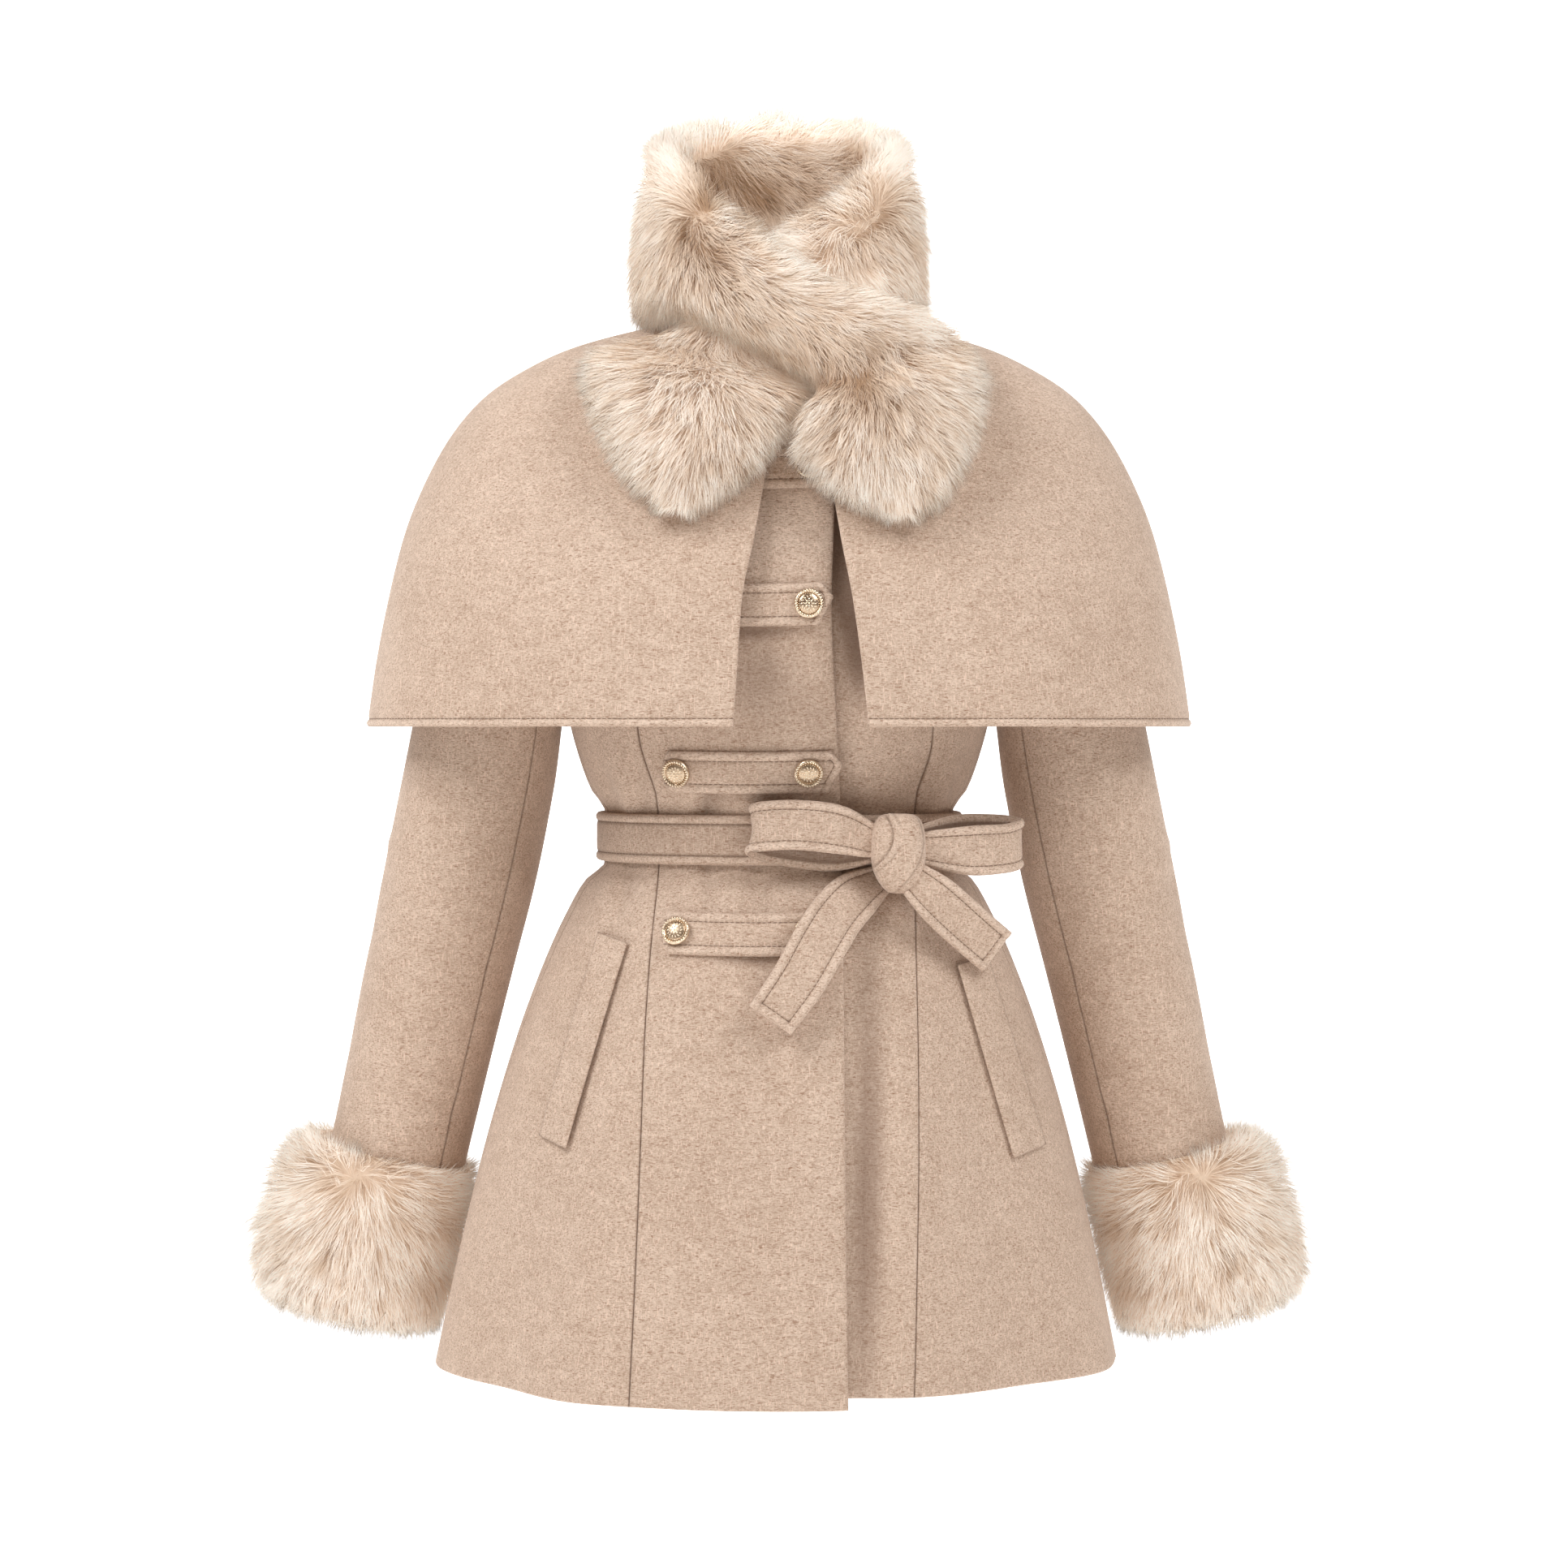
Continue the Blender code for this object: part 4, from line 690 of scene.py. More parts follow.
def declare_cloth(cloth, node):
    """Puts the cloth in the place of its node's solid, and works out the flat size that it was cut to."""
    stand_for(cloth.piece, node)
    across = np.linalg.norm(np.diff(cloth.outer, axis=1), axis=2)
    up = np.linalg.norm(np.diff(cloth.outer, axis=0), axis=2)
    flat = (round(across.sum(axis=1).max(), 3), round(up.sum(axis=0).max(), 3))
    area = min(float((across[:-1] * up[:, :-1]).sum()), flat[0] * flat[1])


def crease_relief(creases, side=1):
    """Soft troughs and ridges at given places, on the front or the back."""

    def relief(points):
        x = points[..., 0] * side
        z = points[..., 2]
        total = np.zeros_like(x)
        for crease in creases:
            tilt = math.radians(crease.tilt)
            along = (x - crease.x) * math.sin(tilt) + (z - crease.z) * math.cos(tilt)
            across = (x - crease.x) * math.cos(tilt) - (z - crease.z) * math.sin(tilt)
            hump = np.exp(-((along / crease.long) ** 2) - (across / crease.wide) ** 2)
            total = total + crease.depth * hump * ((points[..., 1] < 0) == crease.front)
        return total

    return relief


# Stitching
STITCH_LENGTH = 0.0027
STITCH_WIDTH = 0.0009
STITCH_HEIGHT = 0.0005
STITCH_STANDS = 0.2
STITCH_AIM = 0.3
SAME_PLACE = 1e-6


def stitch_paths(cloth):
    """The lines of topstitching along the stitched edges of a piece of cloth, as points and normals."""
    paths = []
    distances = (cloth.near, cloth.far, cloth.low, cloth.high)
    for number, edge in enumerate(cloth.edges):
        if not edge.stitch:
            continue
        on_line = np.abs(distances[number] - edge.stitch) < SAME_PLACE
        for other, crossing in enumerate(cloth.edges):
            if other != number:
                on_line &= distances[other] >= (crossing.stitch or 0.0) - SAME_PLACE
        if number < 2:
            picked = on_line.any(axis=0).argmax()
            keep = on_line[:, picked]
            paths.append((cloth.outer[keep, picked], cloth.normals[keep, picked]))
        else:
            picked = on_line.any(axis=1).argmax()
            keep = on_line[picked]
            paths.append((cloth.outer[picked, keep], cloth.normals[picked, keep]))
    return paths


def one_stitch():
    """The form of one stitch: a short plump thread, a metre long before it is scaled."""
    bpy.ops.object.select_all(action="DESELECT")
    bpy.ops.mesh.primitive_uv_sphere_add(segments=5, ring_count=4, radius=0.5, location=(0, 0, 0))
    ball = bpy.context.object
    ball.rotation_euler = (0, math.radians(90), 0)
    bpy.ops.object.transform_apply(location=False, rotation=True, scale=False)
    points = np.array([v.co[:] for v in ball.data.vertices])
    quads = np.array([p.vertices[:] for p in ball.data.polygons if len(p.vertices) == 4])
    tris = np.array([p.vertices[:] for p in ball.data.polygons if len(p.vertices) == 3])
    old = ball.data
    bpy.data.objects.remove(ball, do_unlink=True)
    bpy.data.meshes.remove(old)
    return points, quads, tris


def read_along(grid, run, where):
    """Reads a line of points at new distances along it. run has the distances of its own points."""
    return np.stack([np.interp(where, run, grid[:, i]) for i in range(3)], axis=1)


def sew(name, paths, finish, pitch):
    """Lays stitches end to end along paths, joined as one piece."""
    form, quads, tris = one_stitch()
    scaled = form * np.array([STITCH_LENGTH, STITCH_WIDTH, STITCH_HEIGHT])
    spots = []
    for points, normals in paths:
        run = run_along(points)
        count = max(int(run[-1] / pitch), 1)
        at = (np.arange(count) + 0.5) * run[-1] / count
        aim = pitch * STITCH_AIM
        along = unit(read_along(points, run, at + aim) - read_along(points, run, at - aim))
        up = unit(read_along(normals, run, at))
        centre = read_along(points, run, at) + up * STITCH_HEIGHT * STITCH_STANDS
        side = np.cross(up, along)
        spots.append(
            centre[:, None]
            + along[:, None] * scaled[None, :, :1]
            + side[:, None] * scaled[None, :, 1:2]
            + up[:, None] * scaled[None, :, 2:]
        )
    stitches = np.concatenate(spots)
    first = np.arange(len(stitches))[:, None, None] * len(form)
    points = stitches.reshape(-1, 3)
    faces = (quads + first).reshape(-1, 4)
    piece = add_mesh(name, points, faces, finish, tris=(tris + first).reshape(-1, 3))
    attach(piece, "root")


# Body
ARMHOLE_ROUNDNESS = 0.6
HEM_SWEEP = 0.8


def armhole_bulge(level):
    share = np.clip((level - ARMPIT) / (SHOULDER_TIP - ARMPIT), 0, 1)
    return np.sin(math.pi * share) ** ARMHOLE_ROUNDNESS


def side_angle(level, cut):
    """The side seam below the armpit, the armhole's edge, and the shoulder seam above it."""
    seam = BODY.column("side_seam", np.minimum(level, ARMPIT))
    return np.where(level <= ARMPIT, seam, 90.0) + cut * armhole_bulge(level)


def line_up(garment, column):
    """A line up a garment's front, at the x that a column of its table gives: its angle at each level."""

    def angle(level):
        return garment.angle_at(garment.column(column, level), level)

    return angle


def mirrored(line, whole_turn=0):
    """The same line on the coat's other side. A whole turn is added for one that ends a panel there."""

    def angle(level):
        return whole_turn - line(level)

    return angle


def front_side(level):
    return side_angle(level, -ARMHOLE_FRONT_CUT)


def back_side(level):
    return side_angle(level, ARMHOLE_BACK_CUT)


def under_edge(level):
    return BODY.angle_at(np.full(len(level), UNDERLAP_X), level)


def cape_seam(level):
    return CAPE.column("seam", level)


def lap_inset(x, level):
    """The left front steps in under the right front's edge."""
    past = (x - BODY.column("edge", level) - LAP_MARGIN) / LAP_BLEND
    share = np.clip(1 - past, 0, 1)
    return LAP_STEP * share**2 * (3 - 2 * share)


def left_hem(angle):
    """The left front hangs a little shorter at the middle, and level with the rest at the side."""
    drop = BODY_LEVELS[1].z - BODY_LEVELS[0].z
    return LEFT_HEM_RISE / drop * np.cos(np.radians(np.clip(angle, 0, 90))) ** HEM_SWEEP


def garment_panel(
    name, garment, start, end, edges, step, finish, creases, inset=None, low_rise=None, shade=()
):
    """A cloth wall between two lines of a garment, from its hem to its neck."""
    rows_at = spread([garment.run[-1]], edges[2], edges[3], step)[0]
    levels = np.interp(rows_at, garment.run, garment.levels)
    share = np.linspace(0, 1, DENSE)
    angle = start(levels)[:, None] * (1 - share) + end(levels)[:, None] * share
    level = np.repeat(levels[:, None], DENSE, axis=1)
    if low_rise is not None:
        level = level + low_rise(angle) * np.clip(1 - level, 0, 1) ** 2
    points = garment.points(angle, level)
    normals = garment.outward(angle, level)
    if inset is not None:
        points = points - normals * inset(points[..., 0], level)[..., None]
    middle = points - normals * WOOL / 2
    relief = crease_relief(creases)
    painted_shading = crease_relief(shade)
    return cloth_wall(name, middle, normals, rows_at, edges, step, WOOL, finish, relief, painted_shading=painted_shading)


def make_body(finish):
    edge = line_up(BODY, "edge")
    right = line_up(BODY, "right_seam")
    left = line_up(BODY, "left_seam")
    panels = [
        ("front_right_centre", right, edge, SEAM, PLAIN, None, None, RIGHT_PAINTED_LIGHT_AND_SHADE),
        ("front_right_side", mirrored(front_side), right, SEAM, SEAM, None, None, RIGHT_PAINTED_LIGHT_AND_SHADE),
        ("front_left_centre", under_edge, left, PLAIN, SEAM, lap_inset, left_hem, LAP_SHADOWS),
        ("front_left_side", left, front_side, SEAM, SEAM, None, left_hem, ()),
        ("back", back_side, mirrored(back_side, 360), SEAM, SEAM, None, None, ()),
    ]
    for node, start, end, near, far, *rest in panels:
        edges = (near, far, PLAIN, SEAM)
        name = f"{node}_cloth"
        cloth = garment_panel(name, BODY, start, end, edges, BODY_STEP, finish, BODY_CREASES, *rest)
        declare_cloth(cloth, node)


def make_cape(finish, thread, pitch):
    panels = [
        ("cape_right_front", mirrored(cape_seam), line_up(CAPE, "right_edge"), SEAM, PLAIN),
        ("cape_left_front", line_up(CAPE, "left_edge"), cape_seam, PLAIN, SEAM),
        ("cape_back", cape_seam, mirrored(cape_seam, 360), SEAM, SEAM),
    ]
    paths = []
    for node, start, end, near, far in panels:
        edges = (near, far, HEM, SEAM)
        cloth = garment_panel(f"{node}_cloth", CAPE, start, end, edges, CAPE_STEP, finish, CAPE_CREASES)
        declare_cloth(cloth, node)
        paths += stitch_paths(cloth)
    sew("cape_hem_topstitch", paths, thread, pitch)


# Sleeves
SLEEVE_HEAD_ROWS = 34
SLEEVE_STRAIGHT_ROWS = 64
SLEEVE_HEAD_GAP = 0.0006
# How far the sleeve's head runs straight out of the armhole, at its lowest point and more at its top, and
# how far it runs straight into the sleeve
HEAD_LEAVES = 0.2
HEAD_LEAVES_MORE = 0.65
HEAD_ARRIVES = 0.9


def sleeve_axis(down):
    """The sleeve's middle, and its directions down, towards the body and to the front, on the left side."""
    down = np.asarray(down, float)
    swing = SLEEVE_SWING_BACK * np.clip(down / SLEEVE_LENGTH, 0, 1)
    centre = np.stack(
        [
            SLEEVE_TOP[0] + math.sin(SLEEVE_TILT) * down,
            SLEEVE_TOP[1] + swing,
            SLEEVE_TOP[2] - math.cos(SLEEVE_TILT) * down,
        ],
        axis=-1,
    )
    axis = np.array([math.sin(SLEEVE_TILT), 0, -math.cos(SLEEVE_TILT)])
    inward = np.array([-math.cos(SLEEVE_TILT), 0, -math.sin(SLEEVE_TILT)])
    return centre, axis, inward, np.array([0, -1.0, 0])


def sleeve_ring(down, turns):
    """Points across the sleeve. turns are angles from the side next to the body, through the front."""
    down, turns = np.broadcast_arrays(np.asarray(down, float), turns)
    sizes = {
        name: Track([getattr(row, name) for row in SLEEVE_ROWS], [row.down for row in SLEEVE_ROWS])(down)
        for name in ("inner", "outer", "front", "back")
    }
    centre, _, inward, forward = sleeve_axis(down)
    cosine = np.cos(turns)
    sine = np.sin(turns)
    reach_in = (cosine * np.where(cosine > 0, sizes["inner"], sizes["outer"]))[..., None]
    reach_front = (sine * np.where(sine > 0, sizes["front"], sizes["back"]))[..., None]
    return centre + inward * reach_in + forward * reach_front


def sleeve_dense(side):
    """Dense outer points and normals of a sleeve, by rows from the armhole down, round once."""
    around = np.linspace(0, ARMHOLE_POINTS, DENSE + 1)
    from_armpit = np.minimum(around, ARMHOLE_POINTS - around)
    level = Track(ARMHOLE_ROWS)(from_armpit)
    cut = np.where(around <= ARMHOLE_POINTS / 2, -ARMHOLE_FRONT_CUT, ARMHOLE_BACK_CUT)
    loop = BODY.points(side_angle(level, cut), level)
    _, axis, _, _ = sleeve_axis(0.0)
    outward = unit(np.array([1.0, 0, -0.12]))
    turns = around / ARMHOLE_POINTS * 2 * math.pi
    start = loop + outward * SLEEVE_HEAD_GAP
    target = sleeve_ring(0.0, turns)
    span = np.linalg.norm(target - start, axis=1, keepdims=True)
    climb = (loop[:, 2:] - loop[:, 2].min()) / np.ptp(loop[:, 2])
    leave = outward * span * (HEAD_LEAVES + HEAD_LEAVES_MORE * climb)
    arrive = axis * span * HEAD_ARRIVES
    shares = np.linspace(0, 1, SLEEVE_HEAD_ROWS)[:-1, None, None]
    head = smooth_run(shares, start, leave, target, arrive)
    downs = np.linspace(0, SLEEVE_LENGTH, SLEEVE_STRAIGHT_ROWS)
    straight = sleeve_ring(downs[:, None], turns[None, :])
    grid = np.concatenate([head, straight])
    ring = grid[:, :-1]
    across = np.roll(ring, -1, axis=1) - np.roll(ring, 1, axis=1)
    normal = unit(np.cross(across, np.gradient(ring, axis=0)))
    middle = ring.mean(axis=1, keepdims=True)
    normal *= np.sign(np.sum(normal * (ring - middle)))
    normal = np.concatenate([normal, normal[:, :1]], axis=1)
    mirror = np.array([side, 1, 1])
    return grid * mirror, normal * mirror


def make_sleeves(finish):
    seam = 2 * DENSE // ARMHOLE_POINTS
    upper = np.arange(seam, DENSE - seam + 1)
    under = np.concatenate([np.arange(DENSE - seam, DENSE), np.arange(0, seam + 1)])
    for side, word in ((-1, "right"), (1, "left")):
        points, normals = sleeve_dense(side)
        rows_at = run_along(points[:, DENSE // 4])
        for part, columns in (("upper", upper), ("under", under)):
            node = f"sleeve_{word}_{part}"
            out = normals[:, columns]
            middle = points[:, columns] - out * WOOL / 2
            edges = (SEAM, SEAM, SEAM, PLAIN)
            relief = crease_relief(SLEEVE_CREASES, side)
            cloth = cloth_wall(
                f"{node}_cloth", middle, out, rows_at, edges, SLEEVE_STEP, WOOL, finish, relief
            )
            declare_cloth(cloth, node)


# Belt and bow
# Painted shade on the inner faces of the bow's loops, and over the whole belt band
LOOP_INSIDE_SHADE = -0.7
BAND_PAINTED_SHADE = -0.34
# Each strap of the bow: its node, its line, the way up across it, its free end, and the painted shade on its
# inside
STRAPS = [
    ("bow_loop_left", LEFT_SIDE_LOOP[::-1], (0.0, 0.0, 1.0), PLAIN, LOOP_INSIDE_SHADE),
    ("bow_loop_right", RIGHT_SIDE_LOOP, (0.0, 0.0, 1.0), PLAIN, LOOP_INSIDE_SHADE),
    ("bow_tail_left", LEFT_SIDE_TAIL, (0.62, 0.1, 0.78), BELT_SIDE, 0.0),
    ("bow_tail_right", RIGHT_SIDE_TAIL, (0.8, -0.1, -0.6), BELT_SIDE, 0.0),
]


def strap_wall(name, line, wide, out, width, thickness, ends, finish, inside=0.0, shade=0.0):
    """A strip along a centre line. wide and out are its directions, and width its size, at each point.
    inside is the painted shade on its inner side, and shade the painted shade over all of it.
    """
    rows_at = spread([STRAP_WIDTH], BELT_SIDE, BELT_SIDE, TRIM_STEP)[0]
    share = (rows_at / STRAP_WIDTH - 0.5)[:, None, None]
    points = line[None] + wide[None] * share * width[None, :, None]
    normals = np.repeat(out[None], len(rows_at), axis=0)
    edges = (*ends, BELT_SIDE, BELT_SIDE)

    def painted_shading(_):
        return shade

    return cloth_wall(
        name, points, normals, rows_at, edges, TRIM_STEP, thickness, finish, inside=inside, painted_shading=painted_shading
    )


def make_strap(name, rows, upright, ends, finish, inside):
    samples = np.linspace(0, len(rows) - 1, DENSE)
    table = smooth_rows(rows, samples)
    line = table[:, :3]
    along = unit(np.gradient(line, axis=0))
    wide = unit(upright - along * np.sum(along * upright, axis=1, keepdims=True))
    out = np.cross(along, wide)
    width = STRAP_WIDTH * table[:, 3]
    return strap_wall(f"{name}_cloth", line, wide, out, width, STRAP_CLOTH, ends, finish, inside)


def make_band(finish):
    """The band lies round the waist, and its ends meet behind the knot."""
    waist = float(BODY.index["waist"])
    knot_angle = BODY.angle_at(KNOT_AT[:1], np.array([waist]))[0]
    angles = np.linspace(knot_angle + BELT_PARTING, knot_angle + 360 - BELT_PARTING, 3 * DENSE)
    rows = np.stack([BODY.points(angles, waist + way) for way in (-1, 0, 1)])
    normal = BODY.outward(angles, waist)
    normal[:, 2] = 0
    normal = unit(normal)
    reach = []
    for z in (BELT_BOTTOM, None, BELT_TOP):
        spot = rows[1, :, :2]
        if z is not None:
            low, high = (0, 1) if z < rows[1, 0, 2] else (1, 2)
            share = ((z - rows[low, :, 2]) / (rows[high, :, 2] - rows[low, :, 2]))[:, None]
            spot = rows[low, :, :2] * (1 - share) + rows[high, :, :2] * share
        reach.append(np.sum(spot * normal[:, :2], axis=1))
    widest = np.max(reach, axis=0) - reach[1]
    line = rows[1] + normal * (widest + BELT_GAP + BELT_CLOTH / 2)[:, None]
    line[:, 2] = (BELT_TOP + BELT_BOTTOM) / 2
    wide = np.repeat(np.array([[0.0, 0.0, 1.0]]), len(line), axis=0)
    width = np.full(len(line), BELT_TOP - BELT_BOTTOM)
    ends = (PLAIN, PLAIN)
    # The whole band lies in painted shade
    return strap_wall(
        "belt_band_cloth", line, wide, normal, width, BELT_CLOTH, ends, finish, shade=BAND_PAINTED_SHADE
    )


# Lines pressed into the knot, from its middle in shares of its half size: x at three heights, depth, width,
# and the painted shade along it, which is painted light where it is above zero
KnotLine = namedtuple("KnotLine", "top middle bottom depth width shade")
KNOT_LINES = [
    KnotLine(-0.51, -0.47, -2.59, -0.002, 0.07, -0.62),
    KnotLine(-0.19, -0.15, -2.26, -0.0006, 0.045, -0.6),
    KnotLine(0.62, 0.84, -0.2, -0.0004, 0.045, -0.6),
    KnotLine(-0.35, -0.31, -2.42, 0.0009, 0.09, 0.25),
]


def make_knot(finish):
    """The strap wraps over itself as a plump block, with the pressed edges of its turns in painted shade and
    light.
    """
    turns = np.arange(KNOT_COLUMNS) * 2 * math.pi / KNOT_COLUMNS
    last = math.pi / 2 - KNOT_CAP
    climb = np.linspace(-last, last, KNOT_RINGS + 1)[:, None]
    size = np.cos(climb) ** KNOT_SQUARE["shoulder"]
    share_z = np.repeat(power(np.sin(climb), KNOT_SQUARE["upright"]), KNOT_COLUMNS, axis=1)
    narrow = 1 - KNOT_TAPER * np.maximum(-share_z, 0) ** 2
    share_x = narrow * size * power(np.cos(turns), KNOT_SQUARE["wide"])
    share_y = size * power(np.sin(turns), KNOT_SQUARE["deep"])
    shares = np.stack([share_x, share_y, share_z], axis=-1)
    points = KNOT_AT + KNOT_HALF * shares
    normals = unit(shares / KNOT_HALF)
    relief = np.zeros_like(share_x)
    shade = np.zeros_like(share_x)
    for line in KNOT_LINES:
        bend = (line.top + line.bottom) / 2 - line.middle
        at = line.middle + (line.top - line.bottom) / 2 * share_z + bend * share_z**2
        slope = np.abs((line.top - line.bottom) / 2 + 2 * bend * share_z)
        hump = np.exp(-(((share_x - at) / (line.width * np.sqrt(1 + 0.5 * slope**2))) ** 2))
        relief = relief + line.depth * hump
        shade = shade + line.shade * hump
    front = np.clip(-normals[..., 1] * 2, 0, 1)
    points = points + normals * (relief * front)[..., None]
    index = np.arange(share_x.size).reshape(share_x.shape)
    poles = points[[0, -1]].mean(axis=1)
    corners = np.concatenate([points.reshape(-1, 3), poles])
    tones = np.concatenate([(shade * front).clip(-1, 0.4).ravel(), [0, 0]])
    quads = grid_quads(index, wrap=True)
    piece = add_mesh("bow_knot_cloth", corners, quads, finish, tris=pole_tris(index), shade=tones)
    stand_for(piece, "bow_knot")


def make_belt(finish, thread, pitch):
    band = make_band(finish)
    declare_cloth(band, "belt_band")
    paths = stitch_paths(band)
    for node, rows, upright, end, inside in STRAPS:
        strap = make_strap(node, rows, unit(np.array(upright)), (PLAIN, end), finish, inside)
        declare_cloth(strap, node)
        paths += stitch_paths(strap)
    make_knot(finish)
    sew("belt_topstitch", paths, thread, pitch)


# Tabs and pocket welts
def laid_wall(name, x, z, rows_at, edges, finish):
    """A flat trim on the front panels: dense grids of x and z, put on the surface and moved out."""
    angle, level = BODY.front_spot(x, z)
    normals = BODY.outward(angle, level)
    points = BODY.points(angle, level) + normals * (LAY_GAP + TAB_CLOTH / 2)
    return cloth_wall(name, points, normals, rows_at, edges, TRIM_STEP, TAB_CLOTH, finish)


def make_tabs(finish, thread, pitch):
    paths = []
    rows_at = spread([TAB_WIDTH], TAB_SIDE, TAB_SIDE, TRIM_STEP)[0]
    across = (2 * rows_at / TAB_WIDTH - 1)[:, None]
    along = np.linspace(0, 1, DENSE)[None, :]
    for tab in TABS:
        x = TAB_START + (tab.tip - TAB_START) * along
        past = across - TAB_LEAN
        above = past / (1 - TAB_LEAN)
        below = -TAB_LOW_SHARE * past / (1 + TAB_LEAN)
        x = x - TAB_POINT * np.where(past > 0, above, below) * along**3
        x = x + TAB_CORNER * across**4 * (1 - along) ** 6
        z = tab.z + across * TAB_WIDTH / 2 - TAB_SAG * np.sin(math.pi * along)
        edges = (PLAIN, TAB_SIDE, TAB_SIDE, TAB_SIDE)
        cloth = laid_wall(f"tab_{tab.name}_cloth", x, z, rows_at, edges, finish)
        declare_cloth(cloth, f"tab_{tab.name}")
        paths += stitch_paths(cloth)
    for welt in WELTS:
        outer, inner = (WELT_SEAM, WELT_FOLD) if welt.top_x < 0 else (WELT_FOLD, WELT_SEAM)
        rows_at = spread([welt.width], outer, inner, TRIM_STEP)[0]
        across = (2 * rows_at / welt.width - 1)[:, None]
        line = unit(np.array([welt.low_x - welt.top_x, welt.low_z - welt.top_z]))
        reach = across * welt.width / 2
        x = welt.top_x + (welt.low_x - welt.top_x) * along - line[1] * reach
        z = welt.top_z + (welt.low_z - welt.top_z) * along + line[0] * reach
        edges = (WELT_SEAM, WELT_SEAM, outer, inner)
        cloth = laid_wall(f"{welt.name}_cloth", x, z, rows_at, edges, finish)
        side = "front_right_side_cloth" if welt.top_x < 0 else "front_left_side_cloth"
        declare_cloth(cloth, welt.name)
    sew("tab_topstitch", paths, thread, pitch)


# Fur
def cape_ridge(x):
    """The height of the cape's top line over each x, as seen from the front."""
    levels = CAPE.levels[:, None]
    return CAPE.height(CAPE.angle_at(x[None, :], levels), levels).max(axis=0)


def lie_on_cape(row):
    """Puts a stretch's edges just far enough out for its underside to clear the cape all the way across."""
    share = np.linspace(0, 1, LYING_SPOTS)
    x = row.low_x + (row.high_x - row.low_x) * share
    z = row.low_z + (row.high_z - row.low_z) * share
    angle, level = CAPE.front_spot(x, np.minimum(z, cape_ridge(x) - RIDGE_MARGIN))
    surface = CAPE.points(angle, level)[:, 1]
    across = 2 * share - 1
    depth = row.thick / 2 * np.maximum(1 - np.abs(across) ** FUR_ROUNDNESS, 0) ** (1 / FUR_ROUNDNESS)
    most = surface - FUR_CLEARANCE + row.bow * (1 - across**2) - depth
    line = most[0] + (most[-1] - most[0]) * share
    shift = min((most - line).min(), 0) - row.lift
    edges = (row.low_x, line[0] + shift, row.low_z, row.high_x, line[-1] + shift, row.high_z)
    return Stretch(*edges, row.thick, row.bow, *CAPE_WAY_OUT)


def ease(rows):
    """Fills in dips along a stretch, so that the pile's form runs on softly."""
    for _ in range(2):
        for row in range(1, len(rows) - 1):
            before, here, after = rows[row - 1 : row + 2]
            low = min(here.low_y, (before.low_y + after.low_y) / 2)
            high = min(here.high_y, (before.high_y + after.high_y) / 2)
            rows[row] = here._replace(low_y=low, high_y=high)
    return rows


def neck_stretch(angle):
    """The standing collar's edges at an angle from the middle front."""
    sine = math.sin(math.radians(angle))
    facing = math.cos(math.radians(angle))
    back_share = max(-facing, 0)
    low_z = NECK_HEIGHTS["low"] + NECK_HEIGHTS["low_rise"] * back_share
    high_z = NECK_HEIGHTS["high"] + NECK_HEIGHTS["high_rise"] * back_share ** NECK_HEIGHTS["sweep"]
    low = (NECK_RING["low_x"] * sine, -NECK_RING["low_back"] * facing, low_z)
    high = (NECK_RING["high_x"] * sine, -NECK_RING["high_back"] * facing, high_z)
    return Stretch(*low, *high, COLLAR_THICK, 0.0, 1.0, 0.0)


def fur_surface(rows, turns, shrink):
    """Oval sections between a lower and an upper edge. shrink draws them in, to the skin under the pile."""
    low = rows[:, 0:3]
    high = rows[:, 3:6]
    thick, bow, side, up = rows[:, 6:].T
    centre = (low + high) / 2
    across = unit(high - low)
    outward = unit(centre * np.array([1.0, 1.0, 0.0]))
    outward[:, 0] *= side
    outward[:, 2] = up
    outward = unit(outward - across * np.sum(outward * across, axis=1, keepdims=True))
    half = np.linalg.norm(high - low, axis=1) / 2
    half = np.maximum(half - shrink, half * LEAST_WIDE)[:, None, None]
    deep = np.maximum(thick / 2 - shrink, thick * LEAST_THICK)[:, None]
    cosine = power(np.cos(turns), 2 / FUR_ROUNDNESS)[None, :]
    sine = power(np.sin(turns), 2 / FUR_ROUNDNESS)[None, :]
    out = deep * sine + bow[:, None] * (1 - cosine**2)
    return centre[:, None] + across[:, None] * half * cosine[..., None] + outward[:, None] * out[..., None]


PILE_ROWS = 150
PILE_TURNS = 96
FINE_TURNS = 8 * PILE_TURNS
SKIN_DEPTH = 0.0115
# The flattest that a place's two directions may lie to each other for a strand to be led by them
LEAST_SPREAD = 0.02


